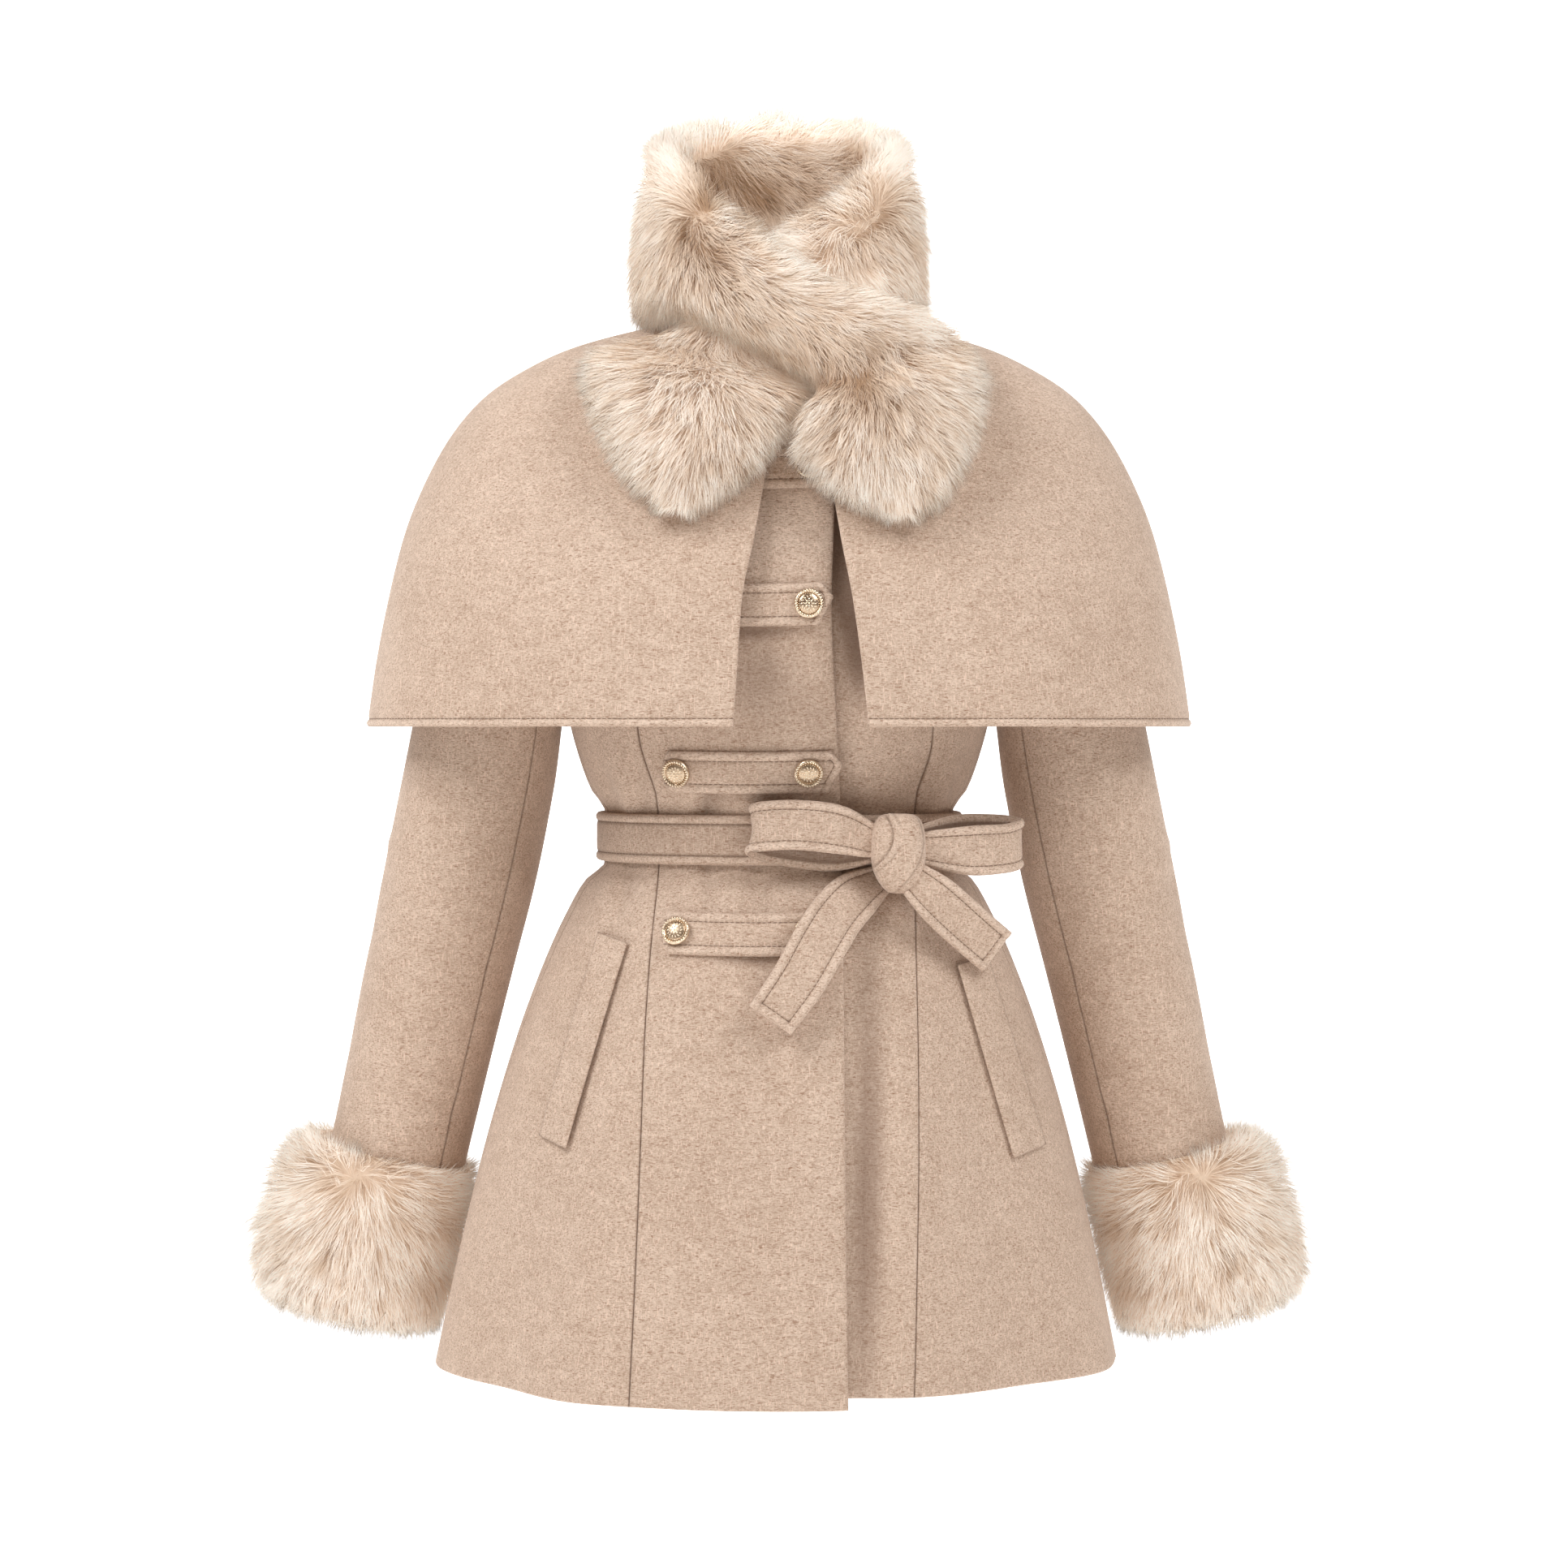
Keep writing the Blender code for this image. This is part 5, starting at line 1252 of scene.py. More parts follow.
class Pile:
    """A fur piece: its skin and its outer form, as dense grids that are read between their points."""

    def __init__(self, skin, outer, closed_ends):
        self.skin = skin
        self.outer = outer
        self.closed_ends = closed_ends
        # Rows are read just short of the last one, so that there is always one after them
        self.last_row = len(outer) - (1.001 if closed_ends else 1)
        across = np.roll(outer, -1, axis=1) - np.roll(outer, 1, axis=1)
        along = np.gradient(outer, axis=0)
        self.along = along
        self.across = across / 2
        normal = unit(np.cross(across, along))
        middle = outer.mean(axis=1, keepdims=True)
        self.normal = normal * np.sign(np.sum(normal * (outer - middle)))
        self.area = np.linalg.norm(np.cross(self.along, self.across), axis=2)
        if not closed_ends:
            self.area[-1] = 0

    def read(self, grid, row, turn):
        """A grid's value at each row and turn, which may lie between its points."""
        row = np.clip(row, 0, self.last_row) if self.closed_ends else row % self.last_row
        i = row.astype(int)
        s = (row - i)[:, None]
        j = np.floor(turn).astype(int)
        t = (turn - j)[:, None]
        j = j % grid.shape[1]
        k = (j + 1) % grid.shape[1]
        near = grid[i, j] * (1 - t) + grid[i, k] * t
        return near * (1 - s) + (grid[i + 1, j] * (1 - t) + grid[i + 1, k] * t) * s

    def walk(self, row, turn, flow, length):
        """Moves each spot over the outer form by a length, the way its flow points."""
        along = self.read(self.along, row, turn)
        across = self.read(self.across, row, turn)
        a = np.sum(along * along, axis=1) + 1e-12
        b = np.sum(along * across, axis=1)
        c = np.sum(across * across, axis=1) + 1e-12
        normal = self.read(self.normal, row, turn)
        flow = unit(flow - normal * np.sum(flow * normal, axis=1, keepdims=True))
        p = np.sum(flow * along, axis=1)
        q = np.sum(flow * across, axis=1)
        spread_out = np.maximum(a * c - b * b, LEAST_SPREAD * a * c)
        row_step = (c * p - b * q) / spread_out
        turn_step = (a * q - b * p) / spread_out
        return row + row_step * length, turn + turn_step * length, flow


def even_turns(section):
    """Which points round a section are evenly spaced along it."""
    closed = np.concatenate([section, section[:1]])
    run = run_along(closed)
    wanted = np.arange(PILE_TURNS) * run[-1] / PILE_TURNS
    return np.interp(wanted, run, np.arange(len(closed)))


def stretch_pile(rows):
    """The pile of a collar stretch from its rows."""
    table = smooth_rows(rows, np.linspace(0, len(rows) - 1, PILE_ROWS))
    turns = np.arange(FINE_TURNS) * 2 * math.pi / FINE_TURNS
    outer = fur_surface(table, turns, 0.0)
    skin = fur_surface(table, turns, SKIN_DEPTH)
    picked = [even_turns(section) for section in outer]
    near = np.stack([p.astype(int) % FINE_TURNS for p in picked])
    rows_at = np.arange(PILE_ROWS)[:, None]
    return Pile(skin[rows_at, near], outer[rows_at, near], True)


# Combing: at a place in the photographed view, the way that the hair lies, across and up
Comb = namedtuple("Comb", "x y across up")
COLLAR_OVER_COMBS = rows_of(
    Comb,
    (815, 185, -0.5, 0.9), (850, 210, -0.2, 0.3), (800, 270, -0.8, -0.6), (800, 340, -0.6, -0.9),
    (835, 310, 0.1, -1.0), (880, 300, 0.8, -0.4), (850, 370, 0.4, -0.9), (905, 350, 0.8, -0.7),
    (920, 285, 0.9, 0.3), (960, 315, 0.9, 0.2), (950, 390, 0.75, -0.75), (990, 350, 0.95, -0.2),
    (1010, 400, 0.75, -0.7), (1040, 355, 0.9, 0.1), (990, 450, 0.5, -0.9), (1080, 370, 1.0, -0.1),
    (1060, 420, 0.7, -0.7), (1130, 400, 0.95, -0.25), (1180, 415, 0.95, 0.0), (1150, 450, 0.85, -0.6),
    (1210, 460, 1.0, -0.4), (1030, 490, -0.6, -0.8), (1000, 530, -0.8, -0.6), (1065, 500, -0.1, -1.0),
    (1110, 490, 0.4, -0.9), (1160, 500, 0.8, -0.6), (1200, 530, 0.8, -0.7), (1010, 580, -0.5, -0.9),
    (1060, 580, -0.05, -1.0), (1110, 570, 0.25, -1.0), (1160, 580, 0.5, -0.9), (1120, 630, 0.2, -1.0),
)
COLLAR_UNDER_COMBS = rows_of(
    Comb,
    (1110, 175, 0.4, 0.9), (1080, 210, 0.3, 0.4), (1130, 260, 0.8, -0.4), (1125, 330, 0.6, -0.9),
    (1070, 250, -0.5, 0.2), (1010, 300, -0.8, 0.2), (1040, 300, 0.2, -0.9), (1090, 290, 0.6, -0.8),
    (1060, 350, 0.7, -0.7), (1100, 370, 0.6, -0.9), (990, 340, -0.5, -0.6), (830, 400, -0.3, -0.9),
    (780, 400, -0.8, 0.2), (745, 425, -1.0, 0.2), (730, 460, -1.0, -0.3), (770, 460, -0.7, -0.6),
    (740, 510, -0.9, -0.5), (790, 510, -0.7, -0.7), (840, 450, -0.25, -1.0), (885, 440, 0.2, -1.0),
    (930, 450, 0.5, -0.8), (970, 470, 0.8, -0.4), (880, 500, -0.05, -1.0), (930, 500, 0.45, -0.85),
    (850, 540, -0.5, -0.85), (800, 560, -0.7, -0.7), (770, 560, -0.8, -0.6), (890, 560, 0.1, -1.0),
    (940, 560, 0.5, -0.85), (830, 600, -0.4, -0.9), (880, 600, 0.1, -1.0),
)
COLLAR_BACK_COMBS = rows_of(
    Comb,
    (870, 160, -0.2, 1.0), (960, 145, 0.0, 1.0), (1050, 160, 0.3, 1.0), (880, 205, -0.2, -0.9),
    (920, 190, 0.6, -0.5), (970, 185, 0.8, -0.35), (1020, 180, 0.9, 0.1), (1065, 195, 0.5, 0.5),
    (900, 240, 0.4, -0.9), (950, 225, 0.8, -0.6), (1000, 220, 0.9, -0.4), (1040, 225, 0.6, -0.7),
    (950, 270, 0.3, -1.0),
)
# The right cuff as it shows at the photograph's left. The left cuff's combing is its mirror image
CUFF_COMBS = rows_of(
    Comb,
    (345, 1430, -0.9, 0.5), (390, 1405, -0.3, 0.8), (430, 1425, 0.1, 0.5), (480, 1440, 0.7, 0.5),
    (540, 1455, 0.9, 0.3), (335, 1480, -0.9, -0.4), (390, 1470, -0.8, -0.5), (450, 1480, 0.1, -0.9),
    (500, 1475, 0.8, -0.5), (560, 1480, 1.0, -0.2), (335, 1540, -0.6, -0.9), (390, 1530, -0.45, -0.95),
    (440, 1540, -0.05, -1.0), (490, 1535, 0.35, -0.95), (550, 1540, 0.7, -0.7), (350, 1610, -0.2, -1.0),
    (430, 1620, 0.0, -1.0), (500, 1620, 0.2, -1.0), (560, 1600, 0.4, -0.95),
)
# Where the pile parts and its brown roots show, with painted shade and painted light laid over them:
# the place, the radius, and how dark, which is painted light where it is below zero
Parting = namedtuple("Parting", "x y radius dark")
# In the collar, the rows round the inside of the neck are painted shade, and the rows below zero are painted
# light along the rim
COLLAR_ROOTS_AND_PAINTED_LIGHT = rows_of(
    Parting,
    (850, 295, 28, 0.75), (885, 315, 20, 0.6), (905, 385, 16, 0.35), (985, 410, 24, 0.25),
    (1075, 425, 18, 0.6), (1060, 475, 30, 0.85), (1010, 472, 14, 0.9), (955, 455, 22, 0.35),
    (975, 500, 18, 0.35), (1090, 290, 24, 0.25), (1060, 320, 16, 0.3), (890, 200, 26, 0.55),
    (925, 235, 24, 0.45), (980, 210, 30, 0.3), (1050, 190, 18, 0.35), (870, 560, 22, 0.2),
    (905, 345, 20, 0.35), (950, 370, 24, 0.35), (1005, 385, 24, 0.3), (1040, 420, 22, 0.3),
    (860, 430, 18, 0.25), (900, 262, 18, -0.35), (960, 298, 20, -0.4), (1020, 328, 20, -0.4),
    (1080, 355, 20, -0.35), (1140, 385, 20, -0.35), (865, 160, 28, -0.6), (915, 148, 26, -0.8),
    (965, 145, 26, -0.8), (1015, 147, 26, -0.8), (1070, 160, 28, -0.6), (1110, 200, 26, -0.3),
    (820, 215, 26, -0.15), (930, 252, 36, 0.65), (1000, 242, 34, 0.5), (875, 225, 24, 0.7),
    (1050, 215, 20, 0.4), (840, 345, 20, 0.35), (1130, 300, 20, 0.25), (1020, 450, 22, 0.35),
    (935, 405, 18, 0.35), (1100, 520, 44, 0.22), (1010, 540, 30, 0.2),
)
CUFF_PARTINGS = rows_of(
    Parting,
    (395, 1560, 12, 0.55), (355, 1530, 10, 0.3), (430, 1475, 16, 0.2), (540, 1515, 18, 0.3),
    (520, 1590, 20, 0.3),
)
# The photographed view: the size of a pixel in metres at the coat's middle, and where the eye is
PIXEL = 0.00056
EYE_X = 960.0
EYE_Y = 895.0
EYE_Z = -0.277
EYE_DISTANCE = 2.0
COMB_BLEND = 0.006
# How the pile takes the photographed side's shading
SHADE_LEVEL = 0.35
SHADE_FRONT = 1.3
SHADE_TOP = 0.6
SHADE_LEAST = 0.15
BEHIND_FALLOFF = 3


def seen_at(points):
    """Where points show in the photographed view, in its pixels."""
    scale = PIXEL * (1 + points[:, 1] / EYE_DISTANCE)
    return np.stack([EYE_X + points[:, 0] / scale, EYE_Y - (points[:, 2] - EYE_Z) / scale], axis=1)


def comb_flow(points, combs):
    """The way that the hair lies at each point, blended from the nearest strokes of the comb."""
    seen = seen_at(points)
    spots = np.array([(comb.x, comb.y) for comb in combs], float)
    ways = np.array([(comb.across, 0.0, comb.up) for comb in combs])
    apart = np.linalg.norm(seen[:, None] - spots[None], axis=2) * PIXEL
    weight = 1 / (apart**2 + COMB_BLEND**2) ** 2
    return unit(weight @ ways / weight.sum(axis=1, keepdims=True))


def facing_front(normals):
    """How much of the photographed side's shading the pile takes, which is little at the back."""
    return np.clip(SHADE_LEVEL - SHADE_FRONT * normals[:, 1] + SHADE_TOP * normals[:, 2], SHADE_LEAST, 1)


def falling_behind(flow, fall, normals):
    """The combed flow in front, and the way that the hair falls of itself where the pile faces back."""
    behind = np.clip(normals[:, 1:2] * BEHIND_FALLOFF, 0, 1)
    return flow * (1 - behind) + fall * behind


def parting_shade(points, partings, front):
    """How dark the brown roots and the painted shade make the hair at each point, with painted light where
    it is below zero.
    """
    seen = seen_at(points)
    dark = np.zeros(len(points))
    for parting in partings:
        apart = np.hypot(seen[:, 0] - parting.x, seen[:, 1] - parting.y) / parting.radius
        dark += parting.dark * np.exp(-(apart**2))
    return dark * front


# Along a strand: its points, how far up through the pile each lies, and its width at the first two
STATIONS = np.array([0.0, 0.52, 1.0])
RISE = np.array([0.1, 0.8, 1.0])
TAPER = np.array([0.9, 0.85])
CLUMP = 30
FLYAWAYS = 0.18
FLYAWAY_LIFT = (0.05, 0.55)
FLYAWAY_THINNER = 0.4
# The share of a straight run, and not one that follows the form, in where a strand's tip lies
SPRING = 0.55
TIP_LIFT = 0.1
# How much strands differ: in their way, length, width, height by strand and by tuft, roll and facing
WAY_SCATTER = 0.24
LENGTHS = (0.62, 1.25)
WIDTHS = (0.7, 1.3)
LIFT = 0.98
LIFT_BY_STRAND = 0.1
LIFT_BY_TUFT = 0.09
LIFT_LIMITS = (0.7, 1.3)
ROLL_SCATTER = 0.55
FACING_SCATTER = 0.13
# A tuft draws its strands together, by a share that grows towards their tips
GRIP = (0.0, 0.62)
GRIP_GROWS = 1.1
TONE_BY_TUFT = 0.5
TONE_BY_STRAND = 0.7


# Strands as a mesh: points and faces, and for each point its share along the strand, the strand's tone,
# how dark the pile is there from its roots and its painted shade and light, and the way that it faces
Hair = namedtuple("Hair", "points quads tris along tone dark facing")


def grow(pile, count, flow_at, shade_at, length, width, rng):
    """Strands from the skin to the outer form, spread evenly over it and drawn into tufts."""
    weight = pile.area.ravel() / pile.area.sum()
    cell = rng.choice(weight.size, size=count, p=weight)
    row = cell // pile.area.shape[1] + rng.random(count) - 0.5
    turn = cell % pile.area.shape[1] + rng.random(count) - 0.5
    start = pile.read(pile.outer, row, turn)
    normal = unit(pile.read(pile.normal, row, turn))
    flow = flow_at(start, normal) + rng.normal(0, WAY_SCATTER, (count, 3))
    brushed = unit(flow)
    heads = rng.choice(count, size=max(count // CLUMP, 1), replace=False)
    tree = KDTree(len(heads))
    for number, head in enumerate(heads):
        tree.insert(Vector(start[head]), number)
    tree.balance()
    nearest = np.array([heads[tree.find(Vector(p))[1]] for p in start])
    loose = rng.random(count) < FLYAWAYS
    reach = length * rng.uniform(*LENGTHS, count)
    lift = LIFT + rng.normal(0, LIFT_BY_STRAND, count) + rng.normal(0, LIFT_BY_TUFT, count)[nearest]
    lift = np.clip(lift, *LIFT_LIMITS) + loose * rng.uniform(*FLYAWAY_LIFT, count)
    line = np.zeros((count, len(STATIONS), 3))
    ups = np.zeros_like(line)
    for number, (station, rise) in enumerate(zip(STATIONS, RISE)):
        if number:
            step = (station - STATIONS[number - 1]) * reach
            row, turn, flow = pile.walk(row, turn, flow, step)
        over = np.clip(row - pile.last_row, 0, 3) + np.clip(row, -3, 0) if pile.closed_ends else 0 * row
        skin = pile.read(pile.skin, row, turn)
        outer = pile.read(pile.outer, row, turn)
        past = pile.read(pile.along, row, turn) * over[:, None]
        line[:, number] = skin + (outer - skin) * (rise * lift)[:, None] + past
        ups[:, number] = unit(pile.read(pile.normal, row, turn))
        if number == 1:
            off = np.clip(np.sum(brushed * ups[:, number], axis=1, keepdims=True), 0, 1)
            heading = unit(flow + (TIP_LIFT + off) * ups[:, number])
    straight = line[:, -2] + heading * (reach * (STATIONS[-1] - STATIONS[-2]))[:, None]
    line[:, -1] += (straight - line[:, -1]) * np.maximum(SPRING, off)
    grip = rng.uniform(*GRIP, count)[nearest] * ~loose
    pull = grip[:, None, None] * STATIONS[None, :, None] ** GRIP_GROWS
    line = line + (line[nearest] - line) * pull
    width = width * rng.uniform(*WIDTHS, count) * (1 - FLYAWAY_THINNER * loose)
    return strands(line, ups, width, shade_at, nearest, rng)


def strands(line, ups, width, shade_at, nearest, rng):
    """Flat tapering ribbons along lines of points, which face the way out with a little roll."""
    count, stations = line.shape[:2]
    along = unit(np.gradient(line, axis=1))
    roll = rng.normal(0, ROLL_SCATTER, (count, 1, 1))
    side = unit(np.cross(along, ups))
    side = unit(side * np.cos(roll) + np.cross(along, side) * np.sin(roll))
    half = side[:, :-1] * (width[:, None] * TAPER[None])[..., None] / 2
    pairs = np.stack([line[:, :-1] - half, line[:, :-1] + half], axis=2).reshape(count, -1, 3)
    points = np.concatenate([pairs, line[:, -1:]], axis=1)
    each = points.shape[1]
    quads = np.array([[2 * i, 2 * i + 1, 2 * i + 3, 2 * i + 2] for i in range(stations - 2)])
    tri = np.array([[each - 3, each - 2, each - 1]])
    first = np.arange(count)[:, None, None] * each
    share = np.append(np.repeat(STATIONS[:-1], 2), 1.0)
    tone = rng.normal(0, 1.0, count)[nearest] * TONE_BY_TUFT + rng.normal(0, TONE_BY_STRAND, count)
    dark = shade_at(line[:, 1], ups[:, 1])
    # Strands are shaded as part of the pile that they lie in, each a little its own way
    facing = unit(ups + rng.normal(0, FACING_SCATTER, (count, 1, 3)))
    facing = np.concatenate([np.repeat(facing[:, :-1], 2, axis=1), facing[:, -1:]], axis=1)
    return Hair(
        points.reshape(-1, 3),
        (quads + first).reshape(-1, 4),
        (tri + first).reshape(-1, 3),
        np.tile(share, count),
        np.repeat(tone, each),
        np.repeat(dark, each),
        facing.reshape(-1, 3),
    )


SKIN_ROWS = 52
SKIN_TURNS_APART = 3
SKIN_SHARE = 0.3
SKIN_DARK = 0.1


def skin_mesh(pile):
    """The skin under the pile, as points and faces."""
    rows = np.linspace(0, pile.skin.shape[0] - 1, SKIN_ROWS).astype(int)
    grid = pile.skin[rows][:, ::SKIN_TURNS_APART]
    grid = grid if pile.closed_ends else grid[:-1]
    index = np.arange(grid.shape[0] * grid.shape[1]).reshape(grid.shape[:2])
    index = index if pile.closed_ends else np.concatenate([index, index[:1]])
    quads = grid_quads(index, wrap=True)
    points = grid.reshape(-1, 3)
    tris = np.zeros((0, 3), int)
    if pile.closed_ends:
        tris = pole_tris(index)
        points = np.concatenate([points, grid[[0, -1]].mean(axis=1)])
    a = grid[1, 0] - grid[0, 0]
    b = grid[0, 1] - grid[0, 0]
    if np.dot(np.cross(b, a), grid[0, 0] - grid[0].mean(axis=0)) < 0:
        quads = quads[:, ::-1]
        tris = tris[:, ::-1]
    return points, quads, tris


def make_fur(node, pile, count, flow_at, shade_at, length, width, finish, seed):
    """A fur piece: its skin, and its strands combed over it."""
    rng = np.random.default_rng(seed)
    points, quads, tris = skin_mesh(pile)
    under = len(points)
    hair = grow(pile, count, flow_at, shade_at, length, width, rng)
    piece = add_mesh(
        f"{node}_fur",
        np.concatenate([points, hair.points]),
        np.concatenate([quads, hair.quads + under]),
        finish,
        tris=np.concatenate([tris, hair.tris + under]),
        along=np.concatenate([np.full(under, SKIN_SHARE), hair.along]),
        tone=np.concatenate([np.zeros(under), hair.tone]),
        dark=np.concatenate([np.full(under, SKIN_DARK), hair.dark]),
    )
    # A zero normal leaves the skin's own
    facing = np.concatenate([np.zeros((under, 3)), hair.facing])
    piece.data.normals_split_custom_set_from_vertices(facing)
    stand_for(piece, node)


DOWN = np.array([0.0, 0.0, -1.0])
COLLAR_FALLS_OUT = np.array([0.5, 0.0, 0.0])


def collar_rows(sign, neck, tail):
    """A stretch's rows, from where it leaves the back of the neck to its end on the cape."""
    table = neck + ease([lie_on_cape(row) for row in tail])
    return [neck_stretch(sign * COLLAR_JOIN), neck_stretch(sign * (COLLAR_JOIN - COLLAR_TURN))] + table


def make_collar(finish, count, length, width):
    rows = [neck_stretch(angle) for angle in np.linspace(COLLAR_JOIN, 360 - COLLAR_JOIN, NECK_ROWS)]
    # Each stretch: its node, rows and combing, its share of the count, and its seed
    stretches = [
        ("collar_over", collar_rows(-1, OVER_NECK, OVER_TAIL), COLLAR_OVER_COMBS, 1.25, 11),
        ("collar_under", collar_rows(1, UNDER_NECK, UNDER_TAIL), COLLAR_UNDER_COMBS, 1.05, 12),
        ("collar_back", rows, COLLAR_BACK_COMBS, 0.95, 13),
    ]

    def shade_at(points, normals):
        return parting_shade(points, COLLAR_ROOTS_AND_PAINTED_LIGHT, facing_front(normals))

    for node, table, combs, share, seed in stretches:

        def flow_at(points, normals, combs=combs):
            return falling_behind(comb_flow(points, combs), DOWN + normals * COLLAR_FALLS_OUT, normals)

        pile = stretch_pile(table)
        make_fur(node, pile, int(count * share), flow_at, shade_at, length, width, finish, seed)


CUFF_OUTSIDE_RINGS = 60
CUFF_INSIDE_RINGS = 24
CUFF_SQUASH_EASE = 0.85
CUFF_SKIN_SHARE = 0.42
CUFF_PALER = 0.15
CUFF_FALLS_ASIDE = 0.35
CUFF_FALLS_OUT = 0.4


def cuff_pile(side):
    """The cuff's fur: a fat ring round the end of the sleeve, pressed flat where it lies by the skirt."""
    turns = np.arange(PILE_ROWS) * 2 * math.pi / PILE_ROWS
    away = 0.5 - 0.5 * np.cos(turns)
    squash = CUFF_SQUASH_INNER + (1 - CUFF_SQUASH_INNER) * away**CUFF_SQUASH_EASE
    squash = squash * (1 - (1 - CUFF_SQUASH_FRONT) * np.sin(turns) ** 2)
    end = SLEEVE_ROWS[-1].down
    _, axis, _, _ = sleeve_axis(end)
    reach = Track([row.reach for row in CUFF_ROWS], [row.down for row in CUFF_ROWS])
    bottom = CUFF_ROWS[-1].down

    def ring(down, spare):
        at = CUFF_START + down
        base = sleeve_ring(min(at, end), turns) + axis * max(at - end, 0)
        way = unit(base - base.mean(axis=0))
        return base + way * np.reshape(spare, (-1, 1))

    outside = bottom * (0.5 - 0.5 * np.cos(np.linspace(0, math.pi, CUFF_OUTSIDE_RINGS)))
    inside = np.linspace(bottom, 0, CUFF_INSIDE_RINGS)[1:-1]
    grids = []
    for share in (CUFF_SKIN_SHARE, 1.0):
        rings = [ring(down, CUFF_LIFT_OFF_SLEEVE + reach(down) * squash * share) for down in outside]
        for down in inside:
            flare = CUFF_MOUTH_FLARE * np.clip((down - CUFF_MOUTH_START) / (bottom - CUFF_MOUTH_START), 0, 1)
            rings.append(ring(down, CUFF_LIFT_OFF_SLEEVE + flare))
        grids.append(np.stack(rings, axis=1))
    picked = np.stack([even_turns(section) for section in grids[1]])
    near = picked.astype(int)
    part = (picked - near)[..., None]
    rows_at = np.arange(PILE_ROWS)[:, None]
    result = []
    for grid in grids:
        after = (near + 1) % grid.shape[1]
        result.append(grid[rows_at, near % grid.shape[1]] * (1 - part) + grid[rows_at, after] * part)
    mirror = np.array([side, 1, 1])
    return [np.concatenate([g, g[:1]]) * mirror for g in result]


def make_cuffs(finish, count, length, width):
    for side, word, seed in ((-1, "right", 21), (1, "left", 22)):
        skin, outer = cuff_pile(side)
        pile = Pile(skin, outer, False)
        as_right = np.array([-side, 1, 1])
        aside = np.array([CUFF_FALLS_ASIDE * side, 0.0, 0.0])

        def flow_at(points, normals, as_right=as_right, aside=aside):
            flow = comb_flow(points * as_right, CUFF_COMBS) * as_right
            return falling_behind(flow, DOWN + aside + normals * CUFF_FALLS_OUT, normals)

        def shade_at(points, normals, as_right=as_right):
            dark = parting_shade(points * as_right, CUFF_PARTINGS, facing_front(normals))
            return dark - CUFF_PALER

        make_fur(f"cuff_{word}", pile, count, flow_at, shade_at, length, width, finish, seed)


# Buttons
BUTTON_SIDES = 40
# From the foot to the middle of the face: the radius and the height, in shares of the button's own
BUTTON_PROFILE = [
    (0.78, 0.0),
    (0.96, 0.16),
    (1.0, 0.42),
    (0.96, 0.66),
    (0.88, 0.74),
    (0.78, 0.56),
    (0.74, 0.52),
    (0.7, 0.6),
    (0.62, 0.7),
    (0.4, 0.84),
    (0.18, 0.92),
]
# Each kind of raised form: how many, its distance out, its height, its length, width and swell, its turn
Raised = namedtuple("Raised", "kind count out up long wide swell turn")
BUTTON_RELIEF = [
    Raised("rope", 30, 0.87, 0.72, 0.125, 0.062, 0.055, 38.0),
    Raised("beads", 26, 0.68, 0.6, 0.04, 0.04, 0.04, 0.0),
    Raised("leaves", 14, 0.47, 0.78, 0.12, 0.05, 0.05, 28.0),
    Raised("petals", 8, 0.25, 0.89, 0.13, 0.062, 0.05, 0.0),
    Raised("centre", 1, 0.0, 0.93, 0.085, 0.085, 0.07, 0.0),
]
# The face inside the rim is darker in its hollows than the rim
BUTTON_FACE = 0.79
FACE_HOLLOW = 1.0
RIM_HOLLOW = 0.2


